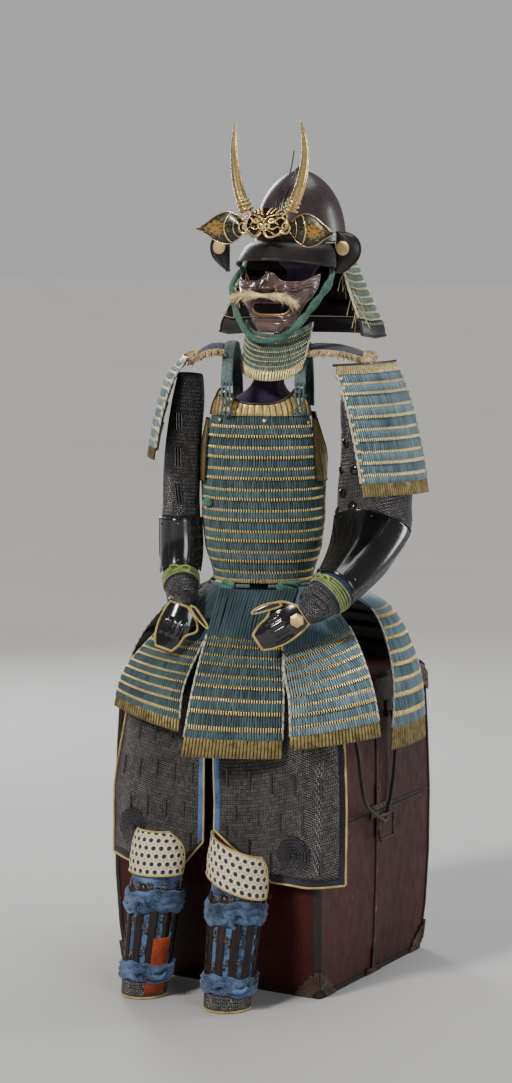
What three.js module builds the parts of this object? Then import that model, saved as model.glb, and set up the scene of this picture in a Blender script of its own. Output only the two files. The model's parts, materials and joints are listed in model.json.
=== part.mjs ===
// Samurai armour on its armour box: laced cuirass, skirt, helmet, mask, arm, thigh and shin
// defences, dressed over a limbless stand that sits on the lacquered box.
// Millimetres, +Z up. Origin: centre of the box's underside. The box front and the lap face -Y,
// and +X is the armour's own left.
import * as THREE from 'three';

// ---------- driving dimensions ----------
const SEAM = 0.4;                 // gap left between neighbouring pieces
const CLOTH = 2.4;                // quilted cloth with mail
const PLATE = 2.2;                // lacquered plate
const LACED = 3.0;                // row of scales with its lacing
const BOX_HEIGHT = 596;
const LID_EDGE = 330;             // height of the lid's lower edge
const TORSO = { x: 0, y: -45, turn: 24 };   // where the cuirass stands and how far it is turned
const HELM = { x: 45, y: 21 };              // axis of the helmet, which faces -Y
const WAIST = 779;

const FINISH = {
  redLacquer: ['#4f1f1a', 0.35, 0.1],
  blackLacquer: ['#15120f', 0.25, 0.2],
  russet: ['#3a2a2c', 0.35, 0.4],
  iron: ['#4a4038', 0.6, 0.8],
  gilt: ['#b08a4a', 0.4, 0.8],
  brass: ['#a18c52', 0.45, 0.7],
  blueLace: ['#4e7a86', 0.8, 0],
  paleLace: ['#6f9bb5', 0.8, 0],
  greenLace: ['#6e9a93', 0.8, 0],
  greenCord: ['#6fa58a', 0.85, 0],
  tieCord: ['#8fa04a', 0.85, 0],
  indigo: ['#1e2740', 0.9, 0],
  mail: ['#3a352e', 0.6, 0.5],
  blueCloth: ['#3e6ca0', 0.9, 0],
  cream: ['#d8cda5', 0.9, 0],
  purple: ['#3a2a4a', 0.9, 0],
};

const armour = new THREE.Group();

// ---------- making solids ----------
const rad = THREE.MathUtils.degToRad;
const lerp = THREE.MathUtils.lerp;
const V = (x, y, z) => new THREE.Vector3(x, y, z);

// A closed geometry from points and faces, its faces turned outwards.
function closedGeometry(points, faces) {
  const geometry = new THREE.BufferGeometry();
  const flat = points.flatMap((p) => [p.x, p.y, p.z]);
  geometry.setAttribute('position', new THREE.Float32BufferAttribute(flat, 3));
  let volume = 0;
  for (const [a, b, c] of faces) {
    volume += points[a].dot(points[b].clone().cross(points[c]));
  }
  const index = volume < 0 ? faces.flatMap(([a, b, c]) => [a, c, b]) : faces.flat();
  geometry.setIndex(index);
  geometry.computeVertexNormals();
  return geometry;
}

// Rings of equally many points, skinned one to the next and closed at both ends.
function loft(rings) {
  const n = rings[0].length;
  const points = rings.flat();
  const faces = [];
  for (let r = 0; r + 1 < rings.length; r += 1) {
    for (let i = 0; i < n; i += 1) {
      const a = r * n + i;
      const b = r * n + ((i + 1) % n);
      faces.push([a, b, b + n], [a, b + n, a + n]);
    }
  }
  for (const [ring, start, flip] of [[rings[0], 0, true], [rings.at(-1), points.length - n, false]]) {
    const middle = points.length;
    const centre = ring.reduce((sum, p) => sum.add(p), V(0, 0, 0)).divideScalar(n);
    points.push(centre);
    for (let i = 0; i < n; i += 1) {
      const a = start + i;
      const b = start + ((i + 1) % n);
      faces.push(flip ? [b, a, middle] : [a, b, middle]);
    }
  }
  return closedGeometry(points, faces);
}

// Unit normals of a grid of points, pointing away from the point `inside`.
function gridNormals(grid, inside, wrap) {
  const rows = grid.length;
  const columns = grid[0].length;
  const at = (r, c) => {
    const row = grid[THREE.MathUtils.clamp(r, 0, rows - 1)];
    return wrap ? row[(c + columns) % columns] : row[THREE.MathUtils.clamp(c, 0, columns - 1)];
  };
  let outward = 0;
  const normals = grid.map((row, r) => row.map((point, c) => {
    const along = at(r, c + 1).clone().sub(at(r, c - 1));
    const down = at(r + 1, c).clone().sub(at(r - 1, c));
    const normal = along.cross(down).normalize();
    outward += normal.dot(point.clone().sub(inside));
    return normal;
  }));
  const sign = outward < 0 ? -1 : 1;
  return normals.map((row) => row.map((n) => n.multiplyScalar(sign)));
}

// A wall of even thickness: the grid is its outer face. `hole(r, c)` leaves a cell open.
function wall(grid, thickness, inside, { wrap = false, hole = () => false } = {}) {
  const columns = grid[0].length;
  const normals = gridNormals(grid, inside, wrap);
  const outer = grid.flat();
  const count = outer.length;
  const inner = outer.map((p, i) => p.clone().addScaledVector(normals.flat()[i], -thickness));
  const faces = [];
  const skin = [];
  for (let r = 0; r + 1 < grid.length; r += 1) {
    for (let c = 0; c + (wrap ? 0 : 1) < columns; c += 1) {
      if (hole(r, c)) continue;
      const next = (c + 1) % columns;
      const a = r * columns + c;
      const b = r * columns + next;
      skin.push([a, b, b + columns], [a, b + columns, a + columns]);
    }
  }
  const rim = new Map();
  for (const [a, b, c] of skin) {
    faces.push([a, b, c], [a + count, c + count, b + count]);
    for (const [s, e] of [[a, b], [b, c], [c, a]]) {
      if (rim.has(`${e},${s}`)) rim.delete(`${e},${s}`);
      else rim.set(`${s},${e}`, [s, e]);
    }
  }
  for (const [s, e] of rim.values()) {
    faces.push([e, s, s + count], [e, s + count, e + count]);
  }
  return closedGeometry([...outer, ...inner], faces);
}

// A cord or bar of round section along a curve through the points.
function cord(points, diameter, { sides = 8, steps = 40, closed = false } = {}) {
  const path = new THREE.CatmullRomCurve3(points.map(([x, y, z]) => V(x, y, z)), closed);
  const round = new THREE.Shape();
  for (let i = 0; i < sides; i += 1) {
    const angle = (2 * Math.PI * i) / sides;
    const [x, y] = [Math.cos(angle) * diameter / 2, Math.sin(angle) * diameter / 2];
    if (i === 0) round.moveTo(x, y);
    else round.lineTo(x, y);
  }
  round.closePath();
  return new THREE.ExtrudeGeometry(round, { steps, extrudePath: path, curveSegments: 1 });
}

function add(name, geometry, finish, parent = armour) {
  const [color, roughness, metalness] = FINISH[finish];
  const piece = new THREE.Mesh(geometry, new THREE.MeshStandardMaterial({ color, roughness, metalness }));
  piece.name = name;
  parent.add(piece);
  return piece;
}

// Value of `column` in a table sorted by its `key` column, with straight lines between the rows.
function along(table, key, value, column) {
  const up = table.at(-1)[key] > table[0][key] ? 1 : -1;
  let i = 0;
  while (i + 2 < table.length && (value - table[i + 1][key]) * up > 0) i += 1;
  const [from, to] = [table[i], table[i + 1]];
  const t = THREE.MathUtils.clamp((value - from[key]) / (to[key] - from[key]), 0, 1);
  return lerp(from[column], to[column], t);
}

const range = (count, from, to) =>
  Array.from({ length: count }, (_, i) => lerp(from, to, count > 1 ? i / (count - 1) : 0));

// A horizontal ellipse-like ring; `square` above 1 fills its corners.
function ovalRing({ x = 0, y = 0, z, wide, deep, square = 1, turn = 0 }, sides) {
  return range(sides + 1, 0, 360).slice(0, sides).map((angle) => {
    const [s, c] = [Math.sin(rad(angle)), Math.cos(rad(angle))];
    const px = wide * Math.sign(s) * Math.abs(s) ** (1 / square);
    const py = -deep * Math.sign(c) * Math.abs(c) ** (1 / square);
    const [ct, st] = [Math.cos(rad(turn)), Math.sin(rad(turn))];
    return V(x + px * ct - py * st, y + px * st + py * ct, z);
  });
}

// ---------- armour box ----------
// Its sides swell gently between the floor and the lid.
const BOX_SIDES = [
  { z: 0, halfWidth: 222, halfDepth: 213 },
  { z: 90, halfWidth: 227, halfDepth: 228 },
  { z: 200, halfWidth: 230, halfDepth: 236 },
  { z: 330, halfWidth: 231, halfDepth: 236 },
  { z: 460, halfWidth: 229, halfDepth: 229 },
  { z: 588, halfWidth: 225, halfDepth: 220 },
  { z: 596, halfWidth: 219, halfDepth: 214 },
];
const BOX_CORNER = 10;
const LID_WALL = 9;
const BODY_WALL = 9;
const BOX_BOARD = 12;             // thickness of the floor and of the lid's top

function boxRing(z, inset, profileZ = z) {
  const halfWidth = along(BOX_SIDES, 'z', profileZ, 'halfWidth') - inset;
  const halfDepth = along(BOX_SIDES, 'z', profileZ, 'halfDepth') - inset;
  const radius = Math.max(BOX_CORNER - inset / 3, 3);
  const corners = [[1, -1, -90], [1, 1, 0], [-1, 1, 90], [-1, -1, 180]];
  return corners.flatMap(([sx, sy, start]) => [0, 45, 90].map((step) => {
    const angle = rad(start + step);
    return V(sx * (halfWidth - radius) + radius * Math.cos(angle),
      sy * (halfDepth - radius) + radius * Math.sin(angle), z);
  }));
}

function boxBody() {
  const lip = LID_WALL + SEAM;
  const outside = [0, 90, 200, LID_EDGE - SEAM].map((z) => boxRing(z, 0));
  const shoulder = [LID_EDGE - SEAM, 460, 560].map((z) => boxRing(z, lip));
  const inside = [560, 460, 330, 200, 90, BOX_BOARD].map((z) => boxRing(z, lip + BODY_WALL));
  return loft([...outside, ...shoulder, ...inside]);
}

function boxLid() {
  const inside = [BOX_HEIGHT - BOX_BOARD, 460, LID_EDGE].map((z) => boxRing(z, LID_WALL));
  const outside = [LID_EDGE, 460, 588, BOX_HEIGHT].map((z) => boxRing(z, 0));
  return loft([...inside, ...outside]);
}

add('box_body', boxBody(), 'redLacquer');
add('box_lid', boxLid(), 'redLacquer');

// Iron hasp ring on the side, and the twisted rope loop that runs through it.
const RING = { y: 10, z: 298, width: 56, height: 46, bar: 6, out: 16 };
const ROPE = { diameter: 8, front: 25, behind: 7 };
const ROPE_LOOP = [
  { y: -116, z: 520, out: 4 }, { y: -120, z: 470, out: 20 }, { y: -116, z: 420, out: ROPE.front },
  { y: -98, z: 368, out: ROPE.front }, { y: -62, z: 338, out: ROPE.front },
  { y: -28, z: 320, out: ROPE.front }, { y: 6, z: 309, out: 16 }, { y: 32, z: 322, out: ROPE.behind },
  { y: 48, z: 360, out: ROPE.behind }, { y: 54, z: 410, out: 10 }, { y: 54, z: 470, out: 12 },
  { y: 52, z: 520, out: 4 },
];
for (const [side, s] of [['left', 1], ['right', -1]]) {
  const face = 231;
  const ringX = s * (face + RING.out);
  const ringCorners = [[-1, 1], [-1, 0], [-1, -1], [0, -1], [1, -1], [1, 0], [1, 1], [0, 1]];
  const ringPath = ringCorners.map(([h, v]) => [
    ringX, RING.y + (h * RING.width) / 2, RING.z + (v * RING.height) / 2]);
  add(`box_ring_${side}`, cord(ringPath, RING.bar, { sides: 6, steps: 16, closed: true }), 'iron');
  const loop = ROPE_LOOP.map(({ y, z, out }) => [s * (face + out), y, z]);
  add(`box_rope_${side}`, cord(loop, ROPE.diameter, { steps: 30 }), 'iron');
}

// ---------- stand ----------
// Padded form and head block in one purple cover, standing on the lid.
const STAND = [
  { z: 596.4, x: 0, y: -40, wide: 190, deep: 134, turn: 12 },
  { z: 640, x: 0, y: -40, wide: 182, deep: 122, turn: 14 },
  { z: 680, x: 0, y: -42, wide: 158, deep: 92, turn: 18 },
  { z: 715, x: 0, y: -44, wide: 126, deep: 76, turn: 22 },
  { z: 745, x: 0, y: -45, wide: 90, deep: 66, turn: 24 },
  { z: 775, x: 0, y: -45, wide: 70, deep: 58, turn: 24 },
  { z: 850, x: 0, y: -45, wide: 66, deep: 50, turn: 24 },
  { z: 1050, x: 0, y: -45, wide: 76, deep: 50, turn: 24 },
  { z: 1120, x: 2, y: -43, wide: 72, deep: 44, turn: 24 },
  { z: 1155, x: 4, y: -38, wide: 36, deep: 30, turn: 24 },
  { z: 1200, x: 12, y: -24, wide: 22, deep: 22, turn: 24 },
  { z: 1260, x: 25, y: -6, wide: 20, deep: 20, turn: 24 },
  { z: 1370, x: 45, y: 21, wide: 26, deep: 28, turn: 0 },
  { z: 1400, x: 45, y: 21, wide: 42, deep: 46, turn: 0 },
  { z: 1470, x: 45, y: 21, wide: 50, deep: 56, turn: 0 },
  { z: 1525, x: 45, y: 21, wide: 38, deep: 42, turn: 0 },
  { z: 1550, x: 45, y: 21, wide: 18, deep: 20, turn: 0 },
];
add('stand_form', loft(STAND.map((row) => ovalRing(row, 16))), 'purple');

// ---------- torso frame ----------
const torso = new THREE.Group();
torso.position.set(TORSO.x, TORSO.y, 0);
torso.rotation.z = rad(TORSO.turn);
armour.add(torso);

// Outer size of the cuirass; reach is the angle from the front to the edge of the front panel.
const CUIRASS = [
  { z: 779, wide: 92, deep: 80, reach: 88 },
  { z: 803, wide: 98, deep: 84, reach: 88 },
  { z: 842, wide: 111, deep: 92, reach: 88 },
  { z: 901, wide: 117, deep: 98, reach: 88 },
  { z: 968, wide: 118, deep: 101, reach: 88 },
  { z: 1005, wide: 118, deep: 101, reach: 74 },
  { z: 1041, wide: 117, deep: 100, reach: 64 },
  { z: 1104, wide: 110, deep: 92, reach: 58 },
  { z: 1160, wide: 104, deep: 82, reach: 54 },
];
const FRONT_LAMES = 8;            // rows of scales in the cuirass
const BACK_LAMES = 5;
const LAME_STEP = 3;              // how far each row's foot stands over the next

function torsoPoint(angle, z, out = 0) {
  const wide = along(CUIRASS, 'z', z, 'wide') + out;
  const deep = along(CUIRASS, 'z', z, 'deep') + out;
  const [s, c] = [Math.sin(rad(angle)), Math.cos(rad(angle))];
  const fill = 0.88;
  return V(wide * Math.sign(s) * Math.abs(s) ** fill, -deep * Math.sign(c) * Math.abs(c) ** fill, z);
}

// Two heights for each row of scales: its tucked-in head and its proud foot.
function lameRows(top, foot, count) {
  const tall = (top - foot) / count;
  return range(count, 0, count - 1).flatMap((i) => [
    { z: top - i * tall - (i ? 1 : 0), out: 0 },
    { z: top - (i + 1) * tall, out: LAME_STEP },
  ]);
}

function cuirassPanel(facing, top, lames) {
  const rows = lameRows(top, WAIST, lames);
  const grid = rows.map(({ z, out }) => {
    const reach = along(CUIRASS, 'z', z, 'reach');
    return range(11, facing - reach, facing + reach).map((angle) => torsoPoint(angle, z, out));
  });
  return wall(grid, LACED, V(0, 0, 950));
}

add('cuirass_front', cuirassPanel(0, 1104, FRONT_LAMES), 'blueLace', torso);
add('cuirass_back', cuirassPanel(180, 1104, BACK_LAMES), 'blueLace', torso);

// Gilt chest plate with its dipped neckline, standing on the top row.
function chestPlate() {
  const halfWidth = 58;
  const dip = 1130;
  const rise = 26;
  const grid = [0, 0.5, 1].map((up) => range(13, -halfWidth, halfWidth).map((angle) => {
    const foot = 1105;
    const top = dip + rise * Math.min(1, Math.abs(angle) / 46) ** 2.2;
    return torsoPoint(angle, lerp(foot, top, up), 2);
  }));
  return wall(grid, PLATE, V(0, 0, 1120));
}
add('chest_plate', chestPlate(), 'brass', torso);

// Gilt plates that guard the armpits, lying just outside the panels' edges; the right one is
// pressed back by the arm.
const ARMPIT = [
  { z: 1098, from: 57, left: 66, right: 63 }, { z: 1060, from: 57, left: 76, right: 70 },
  { z: 1025, from: 57, left: 90, right: 76 }, { z: 1000, from: 58, left: 104, right: 80 },
  { z: 975, from: 60, left: 110, right: 82 },
];
for (const [side, s] of [['left', 1], ['right', -1]]) {
  const grid = ARMPIT.map((row) =>
    range(6, s * row.from, s * row[side]).map((angle) => torsoPoint(angle, row.z, 6.5)));
  add(`armpit_plate_${side}`, wall(grid, PLATE, V(0, 0, 1040)), 'brass', torso);
}

// Shoulder straps from the chest plate over to the back.
const STRAP = [
  { y: -97, z: 1163 }, { y: -92, z: 1185 }, { y: -70, z: 1216 }, { y: -35, z: 1238 }, { y: 5, z: 1243 },
  { y: 45, z: 1232 }, { y: 76, z: 1200 }, { y: 96, z: 1150 }, { y: 102, z: 1112 },
];
const STRAP_WIDTH = 22;
const STRAP_OUT = { left: 80, right: 62 };   // middle of the strap; the left arm draws its own out
for (const [side, s] of [['left', 1], ['right', -1]]) {
  const grid = STRAP.map(({ y, z }) =>
    range(3, -STRAP_WIDTH / 2, STRAP_WIDTH / 2).map((w) => V(s * (STRAP_OUT[side] + w), y, z)));
  add(`shoulder_strap_${side}`, wall(grid, 5, V(0, 0, 1000)), 'greenLace', torso);
}

// Padded wings between the straps and the shoulder guards. `reach` is the wing's outer end: the
// left arm pushes its guard further out.
const WING = [
  { u: 0, z: 1240, from: -62, to: 50 }, { u: 0.33, z: 1241, from: -66, to: 54 },
  { u: 0.67, z: 1236, from: -66, to: 54 }, { u: 1, z: 1224, from: -58, to: 48 },
];
const WING_REACH = { left: 200, right: 128 };
for (const [side, s] of [['left', 1], ['right', -1]]) {
  const grid = WING.map(({ u, z, from, to }) => range(5, from, to).map((y, i) =>
    V(s * lerp(STRAP_OUT[side] + 13, WING_REACH[side], u), y, z - 5 * Math.abs(i - 2) ** 1.5)));
  add(`shoulder_wing_${side}`, wall(grid, 5, V(0, 0, 1000)), 'indigo', torso);
}

// Waist cord, tied round the foot of the cuirass.
const waistPath = range(17, 0, 360).slice(0, 16).map((angle) => torsoPoint(angle, 779, 11).toArray());
add('waist_cord', cord(waistPath.map(([x, y]) => [x, y, 774]), 8, { steps: 32, closed: true }),
  'blueLace', torso);

// ---------- skirt ----------
// Each tasset hangs from the waist by its lacing and spreads over the lap. A section gives the
// middle of the row, its half width, the way it faces, how far it bows out and how it tilts.
const TASSETS = {
  tasset_front: [
    { x: 38, y: -134, z: 766, half: 76, face: 24, bow: 24, tilt: 0 },
    { x: 54, y: -210, z: 688, half: 74, face: 24, bow: 12, tilt: -3 },
    { x: 82, y: -284, z: 593, half: 88, face: 22, bow: 12, tilt: -2 },
    { x: 81, y: -308, z: 474, half: 97, face: 22, bow: 12, tilt: 0 },
  ],
  tasset_front_left: [
    { x: 113, y: -60, z: 767, half: 34, face: 80, bow: 6, tilt: 0 },
    { x: 182, y: -160, z: 686, half: 68, face: 52, bow: 10, tilt: 18 },
    { x: 246, y: -222, z: 600, half: 82, face: 48, bow: 14, tilt: 10 },
    { x: 268, y: -240, z: 508, half: 90, face: 46, bow: 14, tilt: 5 },
  ],
  tasset_front_right: [
    { x: -55, y: -128, z: 766, half: 42, face: -24, bow: 8, tilt: 0 },
    { x: -93, y: -204, z: 678, half: 64, face: -14, bow: 10, tilt: -3 },
    { x: -122, y: -256, z: 600, half: 80, face: -12, bow: 12, tilt: -6 },
    { x: -125, y: -280, z: 524, half: 88, face: -12, bow: 12, tilt: -10 },
  ],
  tasset_side_left: [
    { x: 94, y: 14, z: 768, half: 28, face: 118, bow: 6, tilt: 0 },
    { x: 205, y: 48, z: 728, half: 46, face: 100, bow: 8, tilt: 0 },
    { x: 272, y: 36, z: 610, half: 64, face: 94, bow: 10, tilt: 0 },
    { x: 292, y: 10, z: 468, half: 80, face: 92, bow: 10, tilt: 0 },
  ],
  tasset_side_right: [
    { x: -98, y: -76, z: 768, half: 34, face: -66, bow: 8, tilt: 0 },
    { x: -200, y: -72, z: 712, half: 46, face: -76, bow: 8, tilt: 0 },
    { x: -266, y: -58, z: 610, half: 62, face: -86, bow: 10, tilt: 0 },
    { x: -284, y: -50, z: 478, half: 76, face: -88, bow: 10, tilt: 0 },
  ],
  tasset_back_left: [
    { x: 34, y: 44, z: 768, half: 32, face: 172, bow: 6, tilt: 0 },
    { x: 84, y: 140, z: 712, half: 58, face: 166, bow: 8, tilt: 0 },
    { x: 104, y: 240, z: 610, half: 78, face: 172, bow: 10, tilt: 0 },
    { x: 106, y: 268, z: 478, half: 86, face: 176, bow: 10, tilt: 0 },
  ],
  tasset_back_right: [
    { x: -72, y: 4, z: 768, half: 40, face: -142, bow: 8, tilt: 0 },
    { x: -104, y: 126, z: 712, half: 58, face: -160, bow: 8, tilt: 0 },
    { x: -100, y: 240, z: 610, half: 78, face: -174, bow: 10, tilt: 0 },
    { x: -100, y: 268, z: 478, half: 86, face: -178, bow: 10, tilt: 0 },
  ],
};
const TASSET_LAMES = 5;
const SKIRT_STEP = 3;

// One row of a tasset: `t` runs from the waist (0) to the foot (3) over its four sections.
function tassetRow(sections, t, out) {
  const keys = ['x', 'y', 'z', 'half', 'face', 'bow', 'tilt'];
  const i = Math.min(Math.floor(t), sections.length - 2);
  const at = (k) => sections[THREE.MathUtils.clamp(k, 0, sections.length - 1)];
  const row = {};
  for (const key of keys) {
    const [p0, p1, p2, p3] = [at(i - 1)[key], at(i)[key], at(i + 1)[key], at(i + 2)[key]];
    const f = t - i;
    row[key] = 0.5 * (2 * p1 + (p2 - p0) * f + (2 * p0 - 5 * p1 + 4 * p2 - p3) * f * f
      + (3 * p1 - p0 - 3 * p2 + p3) * f ** 3);
  }
  const [sn, cs] = [Math.sin(rad(row.face)), Math.cos(rad(row.face))];
  return range(5, -1, 1).map((w) => {
    const bulge = row.bow * (1 - w * w) + out;
    const across = row.half * w;
    return V(row.x + across * cs + bulge * sn, row.y + across * sn - bulge * cs,
      row.z + across * Math.tan(rad(row.tilt)));
  });
}

for (const [name, sections] of Object.entries(TASSETS)) {
  const steps = [{ t: 0, out: 0 }, { t: 0.5, out: 0 }, { t: 0.98, out: 0 }];
  for (let i = 0; i < TASSET_LAMES; i += 1) {
    const tall = 2 / TASSET_LAMES;
    steps.push({ t: 1 + i * tall + (i ? 0.01 : 0), out: 0 }, { t: 1 + (i + 1) * tall, out: SKIRT_STEP });
  }
  const grid = steps.map(({ t, out }) => tassetRow(sections, t, out));
  const middle = sections[2];
  const inside = V(middle.x - 200 * Math.sin(rad(middle.face)), middle.y + 200 * Math.cos(rad(middle.face)), 560);
  add(name, wall(grid, LACED, inside), name.includes('side') ? 'paleLace' : 'blueLace');
}

// ---------- helmet frame ----------
const helm = new THREE.Group();
helm.position.set(HELM.x, HELM.y, 0);
armour.add(helm);

// Bowl: rings from its rim to its crown.
const BOWL = [
  { z: 1436, wide: 85, deep: 101 }, { z: 1462, wide: 84, deep: 99 }, { z: 1490, wide: 79, deep: 93 },
  { z: 1516, wide: 70, deep: 83 }, { z: 1540, wide: 56, deep: 66 }, { z: 1558, wide: 39, deep: 46 },
  { z: 1570, wide: 21, deep: 25 }, { z: 1575, wide: 6, deep: 7 },
];
const outerBowl = BOWL.map((row) => ovalRing(row, 18));
const innerBowl = BOWL.map((row, i) => ovalRing(
  { z: row.z - (i ? PLATE * (i / (BOWL.length - 1)) : 0), wide: row.wide - PLATE, deep: row.deep - PLATE }, 18));
add('helmet_bowl', loft([...innerBowl.reverse(), ...outerBowl]), 'russet', helm);

// A curved strip in the helmet frame: sections by angle from the front, each an edge-to-edge line.
function helmStrip(angles, rows, thickness, inside) {
  const grid = rows.map((row) => angles.map((angle) => {
    const f = (angle / 90) ** 2;
    const [s, c] = [Math.sin(rad(angle)), Math.cos(rad(angle))];
    return V(row.wide * s, -row.deep * c, row.z - (row.droop ?? 0) * f);
  }));
  return wall(grid, thickness, inside);
}

add('helmet_visor', helmStrip(range(13, -72, 72), [
  { z: 1441, wide: 88, deep: 104, droop: 12 }, { z: 1432, wide: 102, deep: 126, droop: 18 },
  { z: 1404, wide: 116, deep: 148, droop: 26 },
], PLATE, V(0, 0, 1300)), 'blackLacquer', helm);

// Neck guard: laced rows that flare from the bowl's rim round the back, and its dark foot plate.
const NECK_TOP = { z: 1432, wide: 92, deep: 108 };
const NECK_FOOT = { z: 1286, wide: 152, deep: 168 };
const NECK_LAMES = 5;
const neckRows = lameRows(NECK_TOP.z, NECK_FOOT.z, NECK_LAMES).map(({ z, out }) => {
  const t = (NECK_TOP.z - z) / (NECK_TOP.z - NECK_FOOT.z);
  const flare = t ** 1.15;
  return {
    z,
    wide: lerp(NECK_TOP.wide, NECK_FOOT.wide, flare) + out,
    deep: lerp(NECK_TOP.deep, NECK_FOOT.deep, flare) + out,
  };
});
const neckAngles = range(15, 76, 284);
const neckDroop = (angle) => 26 * Math.max(0, Math.cos(rad(angle)));
function neckWall(rows, thickness) {
  const grid = rows.map((row) => neckAngles.map((angle) => {
    const [s, c] = [Math.sin(rad(angle)), Math.cos(rad(angle))];
    return V(row.wide * s, -row.deep * c, row.z + neckDroop(angle));
  }));
  return wall(grid, thickness, V(0, 0, 1300));
}
add('neck_guard_laced', neckWall(neckRows, LACED), 'greenLace', helm);
add('neck_guard_hem', neckWall([
  { z: 1284.5, wide: 155, deep: 171 }, { z: 1268, wide: 161, deep: 177 }, { z: 1254, wide: 163, deep: 179 },
], LACED), 'blackLacquer', helm);

// Turnbacks at the ends of the visor, curled out and back.
const TURNBACK = [
  { z: 1456, wide: 0.3 }, { z: 1450, wide: 0.68 }, { z: 1438, wide: 0.93 }, { z: 1422, wide: 1 },
  { z: 1406, wide: 0.88 }, { z: 1392, wide: 0.58 }, { z: 1380, wide: 0.22 },
];
for (const [side, s] of [['left', 1], ['right', -1]]) {
  const grid = TURNBACK.map(({ z, wide }) => range(5, 0, 1).map((u) =>
    V(s * (118 + 48 * u * wide), -72 - 14 * Math.sin(Math.PI * u * 0.55) + 22 * u * u, z)));
  add(`turnback_${side}`, wall(grid, PLATE, V(0, 60, 1415)), 'blackLacquer', helm);
}

// ---------- crest ----------
// Beast mask with two horns and two leaf ears, plugged in above the visor.
const CREST_DEPTH = -128;
add('crest_mask', loft([
  { z: 1446, wide: 22, deep: 8 }, { z: 1455, wide: 36, deep: 12 }, { z: 1466, wide: 44, deep: 17 },
  { z: 1478, wide: 42, deep: 15 }, { z: 1490, wide: 40, deep: 10 }, { z: 1500, wide: 26, deep: 7 },
].map((row) => ovalRing({ ...row, y: CREST_DEPTH, square: 1.2 }, 14))), 'gilt', helm);

const HORN = [
  { w: 47, d: 0, z: 1494, wide: 11, deep: 9 }, { w: 57, d: 2, z: 1514, wide: 11.5, deep: 9 },
  { w: 68, d: 4, z: 1542, wide: 10.5, deep: 8.5 }, { w: 75, d: 6, z: 1574, wide: 9, deep: 7.5 },
  { w: 78, d: 6, z: 1602, wide: 7.5, deep: 6 }, { w: 77, d: 4, z: 1632, wide: 5.5, deep: 4.5 },
  { w: 71, d: 0, z: 1666, wide: 1.4, deep: 1.4 },
];
const EAR = [
  { u: 0, half: 10 }, { u: 0.15, half: 23 }, { u: 0.36, half: 31 }, { u: 0.6, half: 25 },
  { u: 0.84, half: 10 }, { u: 1, half: 1.5 },
];
const EAR_DROOP = { left: 12, right: 5 };
for (const [side, s] of [['left', 1], ['right', -1]]) {
  const rings = HORN.map((row) => ovalRing(
    { x: s * row.w, y: CREST_DEPTH + row.d, z: row.z, wide: row.wide, deep: row.deep }, 8));
  add(`crest_horn_${side}`, loft(rings), 'gilt', helm);
  const droop = EAR_DROOP[side];
  const grid = EAR.map(({ u, half }) => range(4, -1, 1).map((v) =>
    V(s * (50 + 100 * u), CREST_DEPTH - 8 - 6 * u * u + 5 * v * v, 1467 - droop * Math.sqrt(u) + half * v)));
  add(`crest_ear_${side}`, wall(grid, 2.2, V(0, 100, 1470)), 'brass', helm);
}

// ---------- face mask ----------
// Half mask from under the eyes to the chin, with an open mouth. It faces a little to the
// armour's right. `reach` is how far round from the front each row goes, in degrees.
const face = new THREE.Group();
face.rotation.z = rad(-5);
helm.add(face);
const FACE = [
  { z: 1376, wide: 102, deep: 98, reach: 64 }, { z: 1362, wide: 102, deep: 104, reach: 64 },
  { z: 1350, wide: 101, deep: 107, reach: 63 }, { z: 1336, wide: 98, deep: 108, reach: 58 },
  { z: 1322, wide: 92, deep: 107, reach: 50 }, { z: 1306, wide: 82, deep: 105, reach: 46 },
  { z: 1290, wide: 70, deep: 106, reach: 44 }, { z: 1276, wide: 60, deep: 106, reach: 43 },
  { z: 1264, wide: 52, deep: 103, reach: 42 },
];
const FACE_FLAT = 0.42;            // below 1 the face is flatter than an oval
const MOUTH = { top: 1326, foot: 1304, half: 0.46 };
const faceTurns = [-1, -0.82, -0.64, -0.48, -0.32, -0.19, -0.08, 0.08, 0.19, 0.32, 0.48, 0.64, 0.82, 1];
const faceGrid = FACE.map(({ z, wide, deep, reach }) => faceTurns.map((turn) => {
  const angle = reach * turn;
  const [s, c] = [Math.sin(rad(angle)), Math.cos(rad(angle))];
  const nose = 20 * Math.exp(-((angle / 8) ** 2)) * Math.exp(-(((z - 1350) / 13) ** 2));
  const cheek = 7 * Math.exp(-(((Math.abs(angle) - 32) / 10) ** 2)) * Math.exp(-(((z - 1348) / 14) ** 2));
  return V((wide + cheek) * Math.sign(s) * Math.abs(s) ** 0.85, -(deep + nose + cheek) * c ** FACE_FLAT, z);
}));
add('face_mask', wall(faceGrid, PLATE, V(0, 0, 1320), {
  hole: (r, c) => FACE[r].z <= MOUTH.top && FACE[r + 1].z >= MOUTH.foot
    && Math.abs(faceTurns[c] + faceTurns[c + 1]) / 2 < MOUTH.half,
}), 'russet', face);

add('moustache', loft([
  { w: -78, z: 1328, r: 1.5 }, { w: -60, z: 1333, r: 6 }, { w: -34, z: 1338, r: 8 }, { w: 0, z: 1338, r: 8 },
  { w: 34, z: 1338, r: 8 }, { w: 60, z: 1332, r: 6 }, { w: 78, z: 1325, r: 1.5 },
].map(({ w, z, r }) => range(9, 0, 360).slice(0, 8).map((angle) =>
  V(w, -128 - r * Math.cos(rad(angle)), z + r * Math.sin(rad(angle)))))), 'cream', face);

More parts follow.
